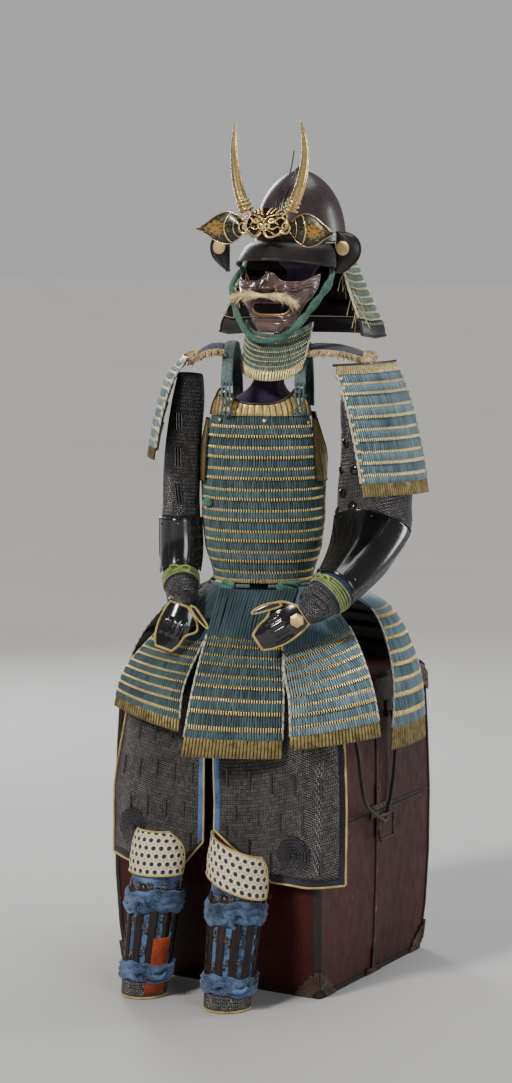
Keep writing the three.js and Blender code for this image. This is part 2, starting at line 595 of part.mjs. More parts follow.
// Laced throat guard hanging from the mask.
const THROAT = { top: 1261, foot: 1172, lames: 4, reach: 62 };
const throatRows = lameRows(THROAT.top, THROAT.foot, THROAT.lames).map(({ z, out }) => {
  const t = (THROAT.top - z) / (THROAT.top - THROAT.foot);
  return { z, wide: lerp(80, 74, t) + out, deep: lerp(110, 134, t) + out, flat: lerp(FACE_FLAT, 0.24, t) };
});
add('throat_guard', wall(throatRows.map((row) => range(11, -THROAT.reach, THROAT.reach).map((angle) => {
  const [s, c] = [Math.sin(rad(angle)), Math.cos(rad(angle))];
  const side = (angle / THROAT.reach) ** 2;
  return V(row.wide * Math.sign(s) * Math.abs(s) ** 0.85, -row.deep * c ** row.flat, row.z + 24 * side);
})), LACED, V(0, 0, 1220)), 'greenLace', helm);

// Thick chin cord from the helmet rim, round the cheeks and under the chin.
add('helmet_cord', cord([
  [-98, -51, 1386], [-108, -64, 1368], [-109, -80, 1348], [-93, -98, 1318], [-72, -116, 1290],
  [-52, -126, 1268], [-29, -132, 1253], [-4, -134, 1248], [24, -132, 1253], [48, -127, 1266],
  [67, -118, 1288], [84, -103, 1315], [102, -84, 1348], [105, -66, 1370], [98, -52, 1387],
], 13, { steps: 28 }), 'greenCord', helm);

// ---------- shoulder guards ----------
// Laced guards that hang over the arms. A section is one row, as on the skirt.
const SHOULDER_GUARDS = {
  shoulder_guard_left: [
    { x: 206, y: -14, z: 1206, half: 98, face: 80, bow: 16, tilt: 0 },
    { x: 240, y: -20, z: 1126, half: 102, face: 80, bow: 18, tilt: 0 },
    { x: 264, y: -24, z: 1040, half: 104, face: 80, bow: 18, tilt: -1 },
    { x: 284, y: -32, z: 958, half: 105, face: 80, bow: 18, tilt: -2 },
  ],
  shoulder_guard_right: [
    { x: -121, y: -122, z: 1216, half: 92, face: -60, bow: 12, tilt: 0 },
    { x: -147, y: -138, z: 1172, half: 98, face: -60, bow: 16, tilt: 0 },
    { x: -166, y: -149, z: 1098, half: 102, face: -60, bow: 16, tilt: 0 },
    { x: -178, y: -156, z: 1022, half: 104, face: -60, bow: 16, tilt: 0 },
  ],
};
const GUARD_LAMES = 6;
for (const [name, sections] of Object.entries(SHOULDER_GUARDS)) {
  const rows = range(GUARD_LAMES, 0, GUARD_LAMES - 1).flatMap((i) => [
    { t: (3 * i) / GUARD_LAMES + (i ? 0.01 : 0), out: 0 }, { t: (3 * (i + 1)) / GUARD_LAMES, out: SKIRT_STEP }]);
  const grid = rows.map(({ t, out }) => tassetRow(sections, t, out));
  const first = sections[0];
  const inside = V(first.x - 200 * Math.sin(rad(first.face)), first.y + 200 * Math.cos(rad(first.face)), 1080);
  add(name, wall(grid, LACED, inside), 'paleLace');
}

// ---------- arms ----------
// Oval sections square to a path. Angle 0 is the side that faces back or down, 180 the side that
// faces forward or up, and 90 the armour's left.
function tubeGrid(sections, angles, out = 0) {
  const path = sections.map(({ x, y, z }) => V(x, y, z));
  return sections.map((row, i) => {
    const before = path[Math.max(i - 1, 0)];
    const after = path[Math.min(i + 1, path.length - 1)];
    const ahead = after.clone().sub(before).normalize();
    const level = V(Math.cos(rad(row.turn ?? 0)), Math.sin(rad(row.turn ?? 0)), 0);
    const back = level.clone().cross(ahead).normalize();
    const across = ahead.clone().cross(back).normalize();
    return angles.map((angle) => path[i].clone()
      .addScaledVector(across, (row.wide + out) * Math.sin(rad(angle)))
      .addScaledVector(back, (row.deep + out) * Math.cos(rad(angle))));
  });
}
const around = (sides) => range(sides + 1, 0, 360).slice(0, sides);

// Sleeve sections from the shoulder to the wrist. The forearm plates and the wrist tie lie on the
// sleeve over the rows that `plates` and `tie` name.
const ARMS = {
  left: {
    sleeve: [
      { x: 178, y: 18, z: 1170, wide: 34, deep: 30, turn: 30 },
      { x: 188, y: 20, z: 1130, wide: 48, deep: 40, turn: 30 },
      { x: 196, y: 28, z: 1070, wide: 56, deep: 44, turn: 30 },
      { x: 203, y: 32, z: 1000, wide: 66, deep: 46, turn: 30 },
      { x: 208, y: 26, z: 940, wide: 74, deep: 50, turn: 30 },
      { x: 216, y: 2, z: 888, wide: 72, deep: 54, turn: 30 },
      { x: 222, y: -50, z: 842, wide: 60, deep: 50, turn: 26 },
      { x: 223, y: -108, z: 808, wide: 50, deep: 44, turn: 20 },
      { x: 219, y: -158, z: 784, wide: 44, deep: 38, turn: 12 },
      { x: 209, y: -184, z: 770, wide: 40, deep: 34, turn: 6 },
      { x: 196, y: -204, z: 754, wide: 37, deep: 28, turn: 0 },
    ],
    plates: { first: 5, last: 8, from: 100, to: 256 },
    tie: { first: 8, last: 9 },
  },
  right: {
    sleeve: [
      { x: -122, y: -119, z: 1182, wide: 24, deep: 30, turn: 24 },
      { x: -126, y: -121, z: 1130, wide: 31, deep: 42, turn: 26 },
      { x: -133, y: -125, z: 1060, wide: 34, deep: 46, turn: 28 },
      { x: -138, y: -128, z: 980, wide: 36, deep: 48, turn: 28 },
      { x: -139, y: -129, z: 900, wide: 36, deep: 46, turn: 28 },
      { x: -135, y: -134, z: 840, wide: 36, deep: 42, turn: 28 },
      { x: -126, y: -152, z: 793, wide: 34, deep: 38, turn: 28 },
      { x: -110, y: -174, z: 767, wide: 32, deep: 34, turn: 28 },
      { x: -93, y: -196, z: 745, wide: 30, deep: 26, turn: 28 },
    ],
    plates: { first: 4, last: 6, from: 96, to: 264 },
    tie: { first: 6, last: 7 },
  },
};
const PLATE_STAND = 5.6;          // outer face of the plates above the sleeve they are laced to
const TIE = 3.6;                  // thickness of the wound wrist tie

for (const [side, { sleeve, plates, tie }] of Object.entries(ARMS)) {
  const middle = V(sleeve[4].x, sleeve[4].y, sleeve[4].z);
  add(`sleeve_${side}`, wall(tubeGrid(sleeve, around(12)), CLOTH, middle, { wrap: true }), 'indigo');
  const plateGrid = tubeGrid(sleeve, range(8, plates.from, plates.to), PLATE_STAND)
    .slice(plates.first, plates.last + 1);
  const core = V(sleeve[plates.first + 1].x, sleeve[plates.first + 1].y, sleeve[plates.first + 1].z);
  add(`forearm_plate_${side}`, wall(plateGrid, PLATE, core), 'blackLacquer');
  const tieGrid = tubeGrid(sleeve, around(12), SEAM * 2 + TIE);
  const [upper, lower] = [tieGrid[tie.first], tieGrid[tie.last]];
  const band = [0.12, 0.5, 0.9].map((t) => upper.map((p, i) => p.clone().lerp(lower[i], t)));
  const tieCore = V(sleeve[tie.last].x, sleeve[tie.last].y, sleeve[tie.last].z);
  add(`wrist_tie_${side}`, wall(band, TIE, tieCore, { wrap: true }), 'tieCord');
}

// Hand guards: a domed plate over the back of the hand, with a lobe for the thumb. `wrist` and
// `tips` are its ends, `up` the way it domes; a row gives its reach to either side of the middle.
const HAND_GUARD = [
  { t: 0, thumb: 16, little: 22 }, { t: 0.18, thumb: 36, little: 27 }, { t: 0.4, thumb: 44, little: 30 },
  { t: 0.6, thumb: 30, little: 30 }, { t: 0.82, thumb: 25, little: 26 }, { t: 1, thumb: 16, little: 18 },
];
const HANDS = {
  left: { wrist: V(188, -222, 746), tips: V(112, -262, 690), up: V(0.5, -0.8, 0.45), thumb: V(-0.4, -0.2, 1) },
  right: { wrist: V(-76, -230, 742), tips: V(-94, -266, 662), up: V(0.2, -0.9, 0.35), thumb: V(1, 0.3, 0) },
};
for (const [side, { wrist, tips, up, thumb }] of Object.entries(HANDS)) {
  const length = tips.clone().sub(wrist).normalize();
  const across = thumb.clone().addScaledVector(length, -thumb.dot(length)).normalize();
  const out = length.clone().cross(across).normalize();
  if (out.dot(up) < 0) out.negate();
  const grid = HAND_GUARD.map((row) => range(7, -row.little, row.thumb).map((w) =>
    wrist.clone().lerp(tips, row.t).addScaledVector(across, w)
      .addScaledVector(out, 12 - 0.012 * w * w - 10 * row.t ** 3)));
  const core = wrist.clone().lerp(tips, 0.5).addScaledVector(out, -60);
  add(`hand_guard_${side}`, wall(grid, PLATE, core), 'blackLacquer');
}

// ---------- thighs ----------
// Two mail panels on cloth that come over the box's front edge and hang to the knees. A row gives
// the panel's height, how far forward it hangs and its two edges.
const THIGHS = {
  left: {
    rows: [
      { z: 664, y: -172, inner: 8, outer: 120 }, { z: 628, y: -206, inner: 8, outer: 176 },
      { z: 592, y: -238, inner: 9, outer: 236 }, { z: 520, y: -253, inner: 10, outer: 264 },
      { z: 440, y: -258, inner: 12, outer: 270 }, { z: 372, y: -261, inner: 16, outer: 272 },
    ],
    hem: [{ u: 0, z: 318 }, { u: 0.2, z: 282 }, { u: 0.5, z: 231 }, { u: 1, z: 228 }],
    bend: { from: 205, back: 58 },
  },
  right: {
    rows: [
      { z: 664, y: -172, inner: -10, outer: -118 }, { z: 628, y: -206, inner: -10, outer: -160 },
      { z: 592, y: -236, inner: -10, outer: -190 }, { z: 508, y: -253, inner: -10, outer: -200 },
      { z: 440, y: -257, inner: -10, outer: -216 }, { z: 372, y: -259, inner: -10, outer: -232 },
    ],
    hem: [{ u: 0, z: 290 }, { u: 0.22, z: 234 }, { u: 0.5, z: 224 }, { u: 1, z: 240 }],
    bend: { from: 130, back: 26 },
  },
};
for (const [side, { rows, hem, bend }] of Object.entries(THIGHS)) {
  const last = rows.at(-1);
  const reach = Math.abs(last.outer);
  const fall = (row, u, z) => {
    const x = lerp(row.inner, row.outer, u);
    const past = Math.max(0, (Math.abs(x) - bend.from) / (reach - bend.from));
    return V(x, row.y + bend.back * past ** 2, z);
  };
  const across = range(10, 0, 1);
  const grid = [
    ...rows.map((row) => across.map((u) => fall(row, u, row.z))),
    ...[0.4, 0.75, 1].map((down) => across.map((u) =>
      fall({ ...last, y: last.y - 3 * down }, u, lerp(last.z, along(hem, 'u', u, 'z'), down)))),
  ];
  add(`thigh_guard_${side}`, wall(grid, CLOTH, V(0, 400, 400)), 'mail');
}

// ---------- shins ----------
// Splinted cloth round the front of the shin, open behind, with its two ties and the knee guard.
const SHINS = {
  left: {
    shin: [
      { x: 93, y: -345, z: 0.5, wide: 43, deep: 44 }, { x: 95, y: -332, z: 90, wide: 47, deep: 46 },
      { x: 97, y: -318, z: 180, wide: 51, deep: 48 }, { x: 98, y: -305, z: 262, wide: 53, deep: 48 },
    ],
    knee: [
      { x: 98, y: -308, z: 234, wide: 61, deep: 56, reach: 88 }, { x: 98, y: -304, z: 262, wide: 62, deep: 57, reach: 88 },
      { x: 98, y: -300, z: 290, wide: 59, deep: 54, reach: 84 }, { x: 97, y: -297, z: 310, wide: 57, deep: 50, reach: 70 },
    ],
    lean: -0.36,
  },
  right: {
    shin: [
      { x: -93, y: -345, z: 0.5, wide: 42, deep: 44 }, { x: -89, y: -332, z: 90, wide: 46, deep: 46 },
      { x: -85, y: -318, z: 180, wide: 49, deep: 48 }, { x: -81, y: -305, z: 264, wide: 50, deep: 48 },
    ],
    knee: [
      { x: -81, y: -308, z: 238, wide: 56, deep: 54, reach: 86 }, { x: -80, y: -304, z: 268, wide: 57, deep: 55, reach: 86 },
      { x: -79, y: -300, z: 296, wide: 55, deep: 53, reach: 74 }, { x: -79, y: -297, z: 320, wide: 50, deep: 46, reach: 44 },
    ],
    lean: 0,
  },
};
const SHIN_REACH = 112;
const SHIN_TIES = { top: { from: 168, to: 204 }, low: { from: 36, to: 66 } };
for (const [side, { shin, knee, lean }] of Object.entries(SHINS)) {
  const core = V(shin[1].x, 0, 140);
  const shinWall = (rows, reach, out) => rows.map((row) =>
    range(9, -reach, reach).map((angle) => V(row.x + (row.wide + out) * Math.sin(rad(angle)),
      row.y - (row.deep + out) * Math.cos(rad(angle)), row.z)));
  add(`shin_guard_${side}`, wall(shinWall(shin, SHIN_REACH, 0), CLOTH, core), 'blueCloth');
  const kneeGrid = knee.map((row) => range(9, -row.reach, row.reach).map((angle) => {
    const across = row.wide * Math.sin(rad(angle));
    return V(row.x + across, row.y - row.deep * Math.cos(rad(angle)), row.z + across * lean);
  }));
  add(`knee_guard_${side}`, wall(kneeGrid, 3.5, core), 'cream');
  for (const [place, { from, to }] of Object.entries(SHIN_TIES)) {
    const rows = range(3, from, to).map((z, i) => ({
      z,
      x: along(shin, 'z', z, 'x'),
      y: along(shin, 'z', z, 'y'),
      wide: along(shin, 'z', z, 'wide') + (i === 1 ? 2 : 0),
      deep: along(shin, 'z', z, 'deep') + (i === 1 ? 2 : 0),
    }));
    add(`shin_tie_${place}_${side}`, wall(shinWall(rows, SHIN_REACH, 5), 4, core), 'blueCloth');
  }
}

export default armour;
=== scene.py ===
# Samurai armour dressed over its stand, on its lacquered armour box.
import json
import math

import bpy
import numpy as np
from mathutils import Vector
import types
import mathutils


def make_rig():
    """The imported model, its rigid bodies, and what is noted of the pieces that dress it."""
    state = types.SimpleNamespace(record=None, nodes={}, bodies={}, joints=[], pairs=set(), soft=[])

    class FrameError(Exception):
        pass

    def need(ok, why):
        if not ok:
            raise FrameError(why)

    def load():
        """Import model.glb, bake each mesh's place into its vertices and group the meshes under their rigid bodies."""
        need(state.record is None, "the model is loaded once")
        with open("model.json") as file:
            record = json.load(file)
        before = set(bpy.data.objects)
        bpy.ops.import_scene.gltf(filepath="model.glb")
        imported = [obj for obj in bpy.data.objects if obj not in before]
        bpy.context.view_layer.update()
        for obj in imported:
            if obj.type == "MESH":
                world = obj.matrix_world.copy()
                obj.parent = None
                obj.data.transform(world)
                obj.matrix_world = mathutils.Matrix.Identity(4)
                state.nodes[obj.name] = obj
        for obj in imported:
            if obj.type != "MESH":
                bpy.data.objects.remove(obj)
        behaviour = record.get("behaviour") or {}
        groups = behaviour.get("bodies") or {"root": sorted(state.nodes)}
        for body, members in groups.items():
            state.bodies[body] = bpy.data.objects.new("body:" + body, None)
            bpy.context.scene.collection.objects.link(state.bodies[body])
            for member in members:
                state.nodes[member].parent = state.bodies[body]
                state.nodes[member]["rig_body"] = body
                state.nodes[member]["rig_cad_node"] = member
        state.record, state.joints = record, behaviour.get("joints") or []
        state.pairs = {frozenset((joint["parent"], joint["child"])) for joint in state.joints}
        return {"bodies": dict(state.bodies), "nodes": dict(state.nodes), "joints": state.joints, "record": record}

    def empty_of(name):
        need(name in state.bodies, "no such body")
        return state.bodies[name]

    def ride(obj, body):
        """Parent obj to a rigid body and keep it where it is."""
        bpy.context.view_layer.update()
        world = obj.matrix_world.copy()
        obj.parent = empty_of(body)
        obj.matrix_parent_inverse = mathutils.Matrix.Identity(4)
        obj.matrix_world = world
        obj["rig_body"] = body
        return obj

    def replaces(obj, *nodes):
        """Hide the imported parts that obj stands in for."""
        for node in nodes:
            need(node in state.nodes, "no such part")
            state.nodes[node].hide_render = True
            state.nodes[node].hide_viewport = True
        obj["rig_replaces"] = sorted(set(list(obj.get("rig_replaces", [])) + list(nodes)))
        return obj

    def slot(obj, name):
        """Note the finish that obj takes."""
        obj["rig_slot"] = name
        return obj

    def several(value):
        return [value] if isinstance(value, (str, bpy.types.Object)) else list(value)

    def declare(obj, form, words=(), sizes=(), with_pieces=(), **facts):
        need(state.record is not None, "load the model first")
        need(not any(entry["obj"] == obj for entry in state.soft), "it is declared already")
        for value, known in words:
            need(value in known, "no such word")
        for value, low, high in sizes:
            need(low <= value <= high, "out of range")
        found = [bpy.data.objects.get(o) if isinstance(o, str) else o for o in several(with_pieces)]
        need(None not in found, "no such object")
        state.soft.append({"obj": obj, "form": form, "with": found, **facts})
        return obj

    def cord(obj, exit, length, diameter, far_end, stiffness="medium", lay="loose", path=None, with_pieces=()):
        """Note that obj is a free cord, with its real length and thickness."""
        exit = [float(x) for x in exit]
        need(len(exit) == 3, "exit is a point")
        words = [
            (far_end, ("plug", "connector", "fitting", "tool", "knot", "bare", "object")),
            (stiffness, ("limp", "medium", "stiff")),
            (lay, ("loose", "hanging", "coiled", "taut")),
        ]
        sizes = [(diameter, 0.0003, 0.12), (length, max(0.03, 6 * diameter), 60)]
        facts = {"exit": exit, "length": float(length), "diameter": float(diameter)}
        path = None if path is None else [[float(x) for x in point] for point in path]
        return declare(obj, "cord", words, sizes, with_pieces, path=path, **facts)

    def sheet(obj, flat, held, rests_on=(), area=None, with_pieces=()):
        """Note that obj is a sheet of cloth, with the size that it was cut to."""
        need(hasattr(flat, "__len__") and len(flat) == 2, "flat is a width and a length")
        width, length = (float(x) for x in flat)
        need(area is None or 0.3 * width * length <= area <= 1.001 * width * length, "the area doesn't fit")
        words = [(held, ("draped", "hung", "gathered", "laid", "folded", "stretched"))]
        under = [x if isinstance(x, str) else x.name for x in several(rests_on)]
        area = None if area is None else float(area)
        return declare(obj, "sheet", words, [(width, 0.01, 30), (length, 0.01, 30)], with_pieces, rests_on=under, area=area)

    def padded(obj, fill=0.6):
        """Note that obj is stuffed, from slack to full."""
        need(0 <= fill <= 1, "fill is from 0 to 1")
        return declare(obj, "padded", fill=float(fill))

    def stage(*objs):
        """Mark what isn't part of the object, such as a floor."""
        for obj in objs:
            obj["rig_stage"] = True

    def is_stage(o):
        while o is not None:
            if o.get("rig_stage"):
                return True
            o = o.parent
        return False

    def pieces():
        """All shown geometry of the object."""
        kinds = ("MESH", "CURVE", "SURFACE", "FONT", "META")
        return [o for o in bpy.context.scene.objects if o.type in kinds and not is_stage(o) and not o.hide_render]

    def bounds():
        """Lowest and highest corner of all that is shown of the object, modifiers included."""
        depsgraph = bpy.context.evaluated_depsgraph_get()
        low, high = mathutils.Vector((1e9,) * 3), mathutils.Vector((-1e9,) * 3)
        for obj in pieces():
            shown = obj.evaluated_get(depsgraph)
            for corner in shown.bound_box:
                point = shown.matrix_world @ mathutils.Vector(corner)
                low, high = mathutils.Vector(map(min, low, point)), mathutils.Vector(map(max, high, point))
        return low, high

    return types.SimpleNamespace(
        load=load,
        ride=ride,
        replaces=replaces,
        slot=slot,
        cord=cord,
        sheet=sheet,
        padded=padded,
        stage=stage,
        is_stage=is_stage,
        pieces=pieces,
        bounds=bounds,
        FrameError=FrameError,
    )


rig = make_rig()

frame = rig.load()
cad_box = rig.bounds()

# ---------- studio ----------
# A plain pale floor under soft lights; the camera stands a little to the armour's left and
# looks slightly down at it.
camera_data = bpy.data.cameras.new("camera")
camera_data.sensor_width, camera_data.lens = 36.0, 90.25
camera_data.clip_end = 60
camera = bpy.data.objects.new("camera", camera_data)
camera.location = (2.64489, -4.63607, 1.51678)
camera.rotation_euler = Vector((-0.49774, 0.85831, -0.12474)).to_track_quat("-Z", "Y").to_euler()
bpy.context.collection.objects.link(camera)
bpy.context.scene.camera = camera


def soft_light(name, kind, place, aim, strength, size, colour=(1, 1, 1)):
    """A soft lamp; `size` is an area lamp's sides in metres, or a distant lamp's width in degrees."""
    data = bpy.data.lights.new(name, kind)
    if kind == "SUN":
        data.angle = math.radians(size)
    else:
        data.shape, data.size, data.size_y = "RECTANGLE", size[0], size[1]
    data.energy, data.color = strength, colour
    lamp = bpy.data.objects.new(name, data)
    lamp.location = place
    lamp.rotation_euler = (Vector(aim) - Vector(place)).to_track_quat("-Z", "Y").to_euler()
    bpy.context.collection.objects.link(lamp)


soft_light("key", "SUN", (-0.9, -3.4, 3.2), (0, -0.1, 0.85), 2.95, 11, (1.0, 0.97, 0.93))
soft_light("top", "SUN", (0.2, 0.9, 3.4), (0, 0, 0.9), 1.3, 40)
soft_light("fill", "AREA", (3.6, -2.2, 1.7), (0.1, 0, 0.8), 52, (1.4, 2.0), (0.96, 0.98, 1.0))
soft_light("rim left", "AREA", (-2.4, 2.2, 2.0), (0, 0, 1.0), 60, (0.8, 2.0))
soft_light("rim right", "AREA", (2.6, 2.4, 1.8), (0, 0, 0.8), 45, (0.8, 2.0))
world = bpy.data.worlds.new("studio")
world.use_nodes = True
sky = world.node_tree
sky.nodes["Background"].inputs["Color"].default_value = (0.80, 0.80, 0.82, 1)
sky.nodes["Background"].inputs["Strength"].default_value = 0.19
backdrop = sky.nodes.new("ShaderNodeBackground")
backdrop.inputs["Color"].default_value = (0.80, 0.80, 0.80, 1)
backdrop.inputs["Strength"].default_value = 0.56
chosen = sky.nodes.new("ShaderNodeMixShader")
sky.links.new(sky.nodes.new("ShaderNodeLightPath").outputs["Is Camera Ray"], chosen.inputs["Fac"])
sky.links.new(sky.nodes["Background"].outputs[0], chosen.inputs[1])
sky.links.new(backdrop.outputs[0], chosen.inputs[2])
sky.links.new(chosen.outputs[0], sky.nodes["World Output"].inputs["Surface"])
bpy.context.scene.world = world


def paint(name, roughness=0.5, metallic=0.0, specular=0.5, coat=0.0, sheen=0.0):
    """A material with one Principled shader; returns it with its tree's nodes, links and shader."""
    made = bpy.data.materials.new(name)
    made.use_nodes = True
    tree = made.node_tree
    shader = tree.nodes["Principled BSDF"]
    shader.inputs["Roughness"].default_value = roughness
    shader.inputs["Metallic"].default_value = metallic
    shader.inputs["Specular IOR Level"].default_value = specular
    shader.inputs["Coat Weight"].default_value = coat
    shader.inputs["Coat Roughness"].default_value = 0.12
    shader.inputs["Sheen Weight"].default_value = sheen
    return made, tree, shader


def node(tree, kind, links=None, **settings):
    """One shader or geometry node. `links` gives each input, by name or number, a socket or a value."""
    new = tree.nodes.new(kind)
    for key, value in settings.items():
        setattr(new, key, value)
    for key, value in (links or {}).items():
        socket = new.inputs[key]
        if isinstance(value, bpy.types.NodeSocket):
            tree.links.new(value, socket)
        else:
            socket.default_value = value
    return new


def ramp(tree, factor, stops):
    """A colour ramp over `factor`; a stop is its place and its colour."""
    new = node(tree, "ShaderNodeValToRGB", {"Fac": factor})
    while len(new.color_ramp.elements) < len(stops):
        new.color_ramp.elements.new(0.5)
    for element, (place, colour) in zip(new.color_ramp.elements, stops):
        element.position, element.color = place, (*colour, 1)
    return new.outputs["Color"]


def bump(tree, shader, height, distance, strength=1.0):
    made = node(tree, "ShaderNodeBump", {"Height": height, "Distance": distance, "Strength": strength})
    tree.links.new(made.outputs["Normal"], shader.inputs["Normal"])


def shader_group(name, inputs, outputs):
    """An empty shader node group with named sockets; returns it with its input and output nodes."""
    group = bpy.data.node_groups.new(name, "ShaderNodeTree")
    for key, (kind, value) in inputs.items():
        socket = group.interface.new_socket(key, in_out="INPUT", socket_type=kind)
        socket.default_value = value
    for key, kind in outputs.items():
        group.interface.new_socket(key, in_out="OUTPUT", socket_type=kind)
    return group, group.nodes.new("NodeGroupInput"), group.nodes.new("NodeGroupOutput")


def use(tree, group, links):
    return node(tree, "ShaderNodeGroup", links, node_tree=group)


floor_paint, tree, shader = paint("pale floor", roughness=0.75)
mottle = node(tree, "ShaderNodeTexNoise",
              {"Vector": node(tree, "ShaderNodeTexCoord").outputs["Object"], "Scale": 1.3})
tree.links.new(ramp(tree, mottle.outputs["Fac"], [(0.3, (0.44, 0.435, 0.43)), (0.7, (0.46, 0.455, 0.45))]),
               shader.inputs["Base Color"])


def mesh_piece(name, points, faces, material=None, uv=None):
    """A mesh object at the origin from points and faces; `uv` gives each point its place on the cut."""
    mesh = bpy.data.meshes.new(name)
    mesh.from_pydata([tuple(p) for p in points], [], faces)
    if uv is not None:
        layer = mesh.uv_layers.new(name="UVMap")
        corner_points = np.empty(len(mesh.loops), int)
        mesh.loops.foreach_get("vertex_index", corner_points)
        layer.data.foreach_set("uv", np.asarray(uv, float)[corner_points].ravel())
    mesh.polygons.foreach_set("use_smooth", [True] * len(mesh.polygons))
    if material:
        mesh.materials.append(material)
    mesh.update()
    piece = bpy.data.objects.new(name, mesh)
    bpy.context.collection.objects.link(piece)
    return piece


floor = mesh_piece("floor", [(x, y, 0) for y in (-40, 40) for x in (-40, 40)], [(0, 1, 3, 2)], floor_paint)
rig.stage(floor)

def dress(piece, slot):
    """Gives a finished piece its material slot, and its place in the one body."""
    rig.slot(piece, slot)
    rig.ride(piece, "root")


# ---------- cords ----------
# The chin cord of padded silk crepe, the waist cord and the box's two carrying ropes. Each is
# twisted from strands, and is laid where its solid lies.
def smooth_path(points, count):
    """`count` points evenly spaced on a smooth curve through `points`."""
    p = np.asarray(points, float)
    p = np.vstack([2 * p[0] - p[1], p, 2 * p[-1] - p[-2]])
    fine = []
    for i in range(1, len(p) - 2):
        t = np.linspace(0, 1, 24, endpoint=False)[:, None]
        fine.append(0.5 * (2 * p[i] + (p[i + 1] - p[i - 1]) * t
                           + (2 * p[i - 1] - 5 * p[i] + 4 * p[i + 1] - p[i + 2]) * t ** 2
                           + (3 * p[i] - p[i - 1] - 3 * p[i + 1] + p[i + 2]) * t ** 3))
    fine = np.vstack(fine + [p[-2:-1]])
    run = np.concatenate([[0], np.cumsum(np.linalg.norm(np.diff(fine, axis=0), axis=1))])
    even = np.linspace(0, run[-1], count)
    return np.stack([np.interp(even, run, fine[:, k]) for k in range(3)], axis=1), run[-1]


def sweep(name, path, radius, material, sides=12, ridge=None):
    """A tube along `path`; `ridge(around, along)` scales its radius. Both ends are closed."""
    path = np.asarray(path, float)
    count = len(path)
    ahead = np.gradient(path, axis=0)
    ahead /= np.linalg.norm(ahead, axis=1)[:, None]
    side = np.cross(ahead[0], (0, 0, 1) if abs(ahead[0][2]) < 0.9 else (1, 0, 0))
    rings, uv = [], []
    run = np.concatenate([[0], np.cumsum(np.linalg.norm(np.diff(path, axis=0), axis=1))])
    radii = np.broadcast_to(radius, count)
    turn = np.linspace(0, 2 * math.pi, sides, endpoint=False)
    for i in range(count):
        side = side - ahead[i] * side.dot(ahead[i])
        side /= np.linalg.norm(side)
        up = np.cross(ahead[i], side)
        grow = ridge(turn, run[i]) if ridge else np.ones(sides)
        rings.append(path[i] + radii[i] * grow[:, None]
                     * (np.cos(turn)[:, None] * side + np.sin(turn)[:, None] * up))
        uv += [(k / sides, run[i]) for k in range(sides)]
    faces = [(i * sides + k, i * sides + (k + 1) % sides, (i + 1) * sides + (k + 1) % sides,
              (i + 1) * sides + k)
             for i in range(count - 1) for k in range(sides)]
    faces += [tuple(range(sides))[::-1], tuple((count - 1) * sides + k for k in range(sides))]
    return mesh_piece(name, np.vstack(rings), faces, material, uv=uv)


def strands(number, pitch, depth):
    """Ridge of a rope of `number` strands that turns once in `pitch`."""
    return lambda turn, along: 1 - depth * (1
                                            - np.abs(np.cos(0.5 * number * (turn
                                                - 2 * math.pi * along / pitch))))


def crepe(step, depth):
    """Ridge of gathered crepe: uneven cross folds, one about every `step`."""
    return lambda turn, along: 1 - depth * (0.5 + 0.5 * np.sin(
        2 * math.pi * along / step + 1.3 * np.sin(turn) + 2.1 * np.sin(along * 97 + turn * 2)))


weave, group_in, group_out = shader_group(
    "plain weave", {"Vector": ("NodeSocketVector", (0, 0, 0)), "Threads": ("NodeSocketFloat", 1200.0)},
    {"Height": "NodeSocketFloat", "Slub": "NodeSocketFloat"})
split = node(weave, "ShaderNodeSeparateXYZ", {"Vector": group_in.outputs["Vector"]})
waves = []
for axis, other in (("X", "Y"), ("Y", "X")):
    lift = node(weave, "ShaderNodeMath", {0: split.outputs[other], 1: group_in.outputs["Threads"]},
                operation="MULTIPLY")
    phase = node(weave, "ShaderNodeMath", {0: split.outputs[axis], 1: group_in.outputs["Threads"]},
                 operation="MULTIPLY")
    step = node(weave, "ShaderNodeMath",
                {0: node(weave, "ShaderNodeMath", {0: lift.outputs[0], 1: 0.3183},
                         operation="MULTIPLY").outputs[0]}, operation="FLOOR")
    shifted = node(weave, "ShaderNodeMath", {0: step.outputs[0], 1: 3.1416, 2: phase.outputs[0]},
                   operation="MULTIPLY_ADD")
    waves.append(node(weave, "ShaderNodeMath", {0: shifted.outputs[0]}, operation="SINE").outputs[0])
weave.links.new(node(weave, "ShaderNodeMath", {0: waves[0], 1: waves[1]}, operation="MAXIMUM").outputs[0],
                group_out.inputs["Height"])
slub = node(weave, "ShaderNodeTexNoise",
            {"Vector": group_in.outputs["Vector"], "Scale": 38.0, "Detail": 6.0})
weave.links.new(slub.outputs["Fac"], group_out.inputs["Slub"])

# Faded colour, soiling and rubbed patches, shared by every cloth, lacquer and metal here.
age, group_in, group_out = shader_group(
    "age and dust", {"Vector": ("NodeSocketVector", (0, 0, 0)), "Size": ("NodeSocketFloat", 6.0)},
    {"Broad": "NodeSocketFloat", "Fine": "NodeSocketFloat", "Chips": "NodeSocketFloat"})
broad = node(age, "ShaderNodeTexNoise",
             {"Vector": group_in.outputs["Vector"], "Scale": group_in.outputs["Size"], "Detail": 4.0})
fine_scale = node(age, "ShaderNodeMath", {0: group_in.outputs["Size"], 1: 14.0}, operation="MULTIPLY")
fine = node(age, "ShaderNodeTexNoise",
            {"Vector": group_in.outputs["Vector"], "Scale": fine_scale.outputs[0], "Detail": 8.0,
             "Roughness": 0.65})
chip = node(age, "ShaderNodeMath", {0: broad.outputs["Fac"], 1: fine.outputs["Fac"]}, operation="MULTIPLY")
age.links.new(broad.outputs["Fac"], group_out.inputs["Broad"])
age.links.new(fine.outputs["Fac"], group_out.inputs["Fine"])
age.links.new(chip.outputs[0], group_out.inputs["Chips"])


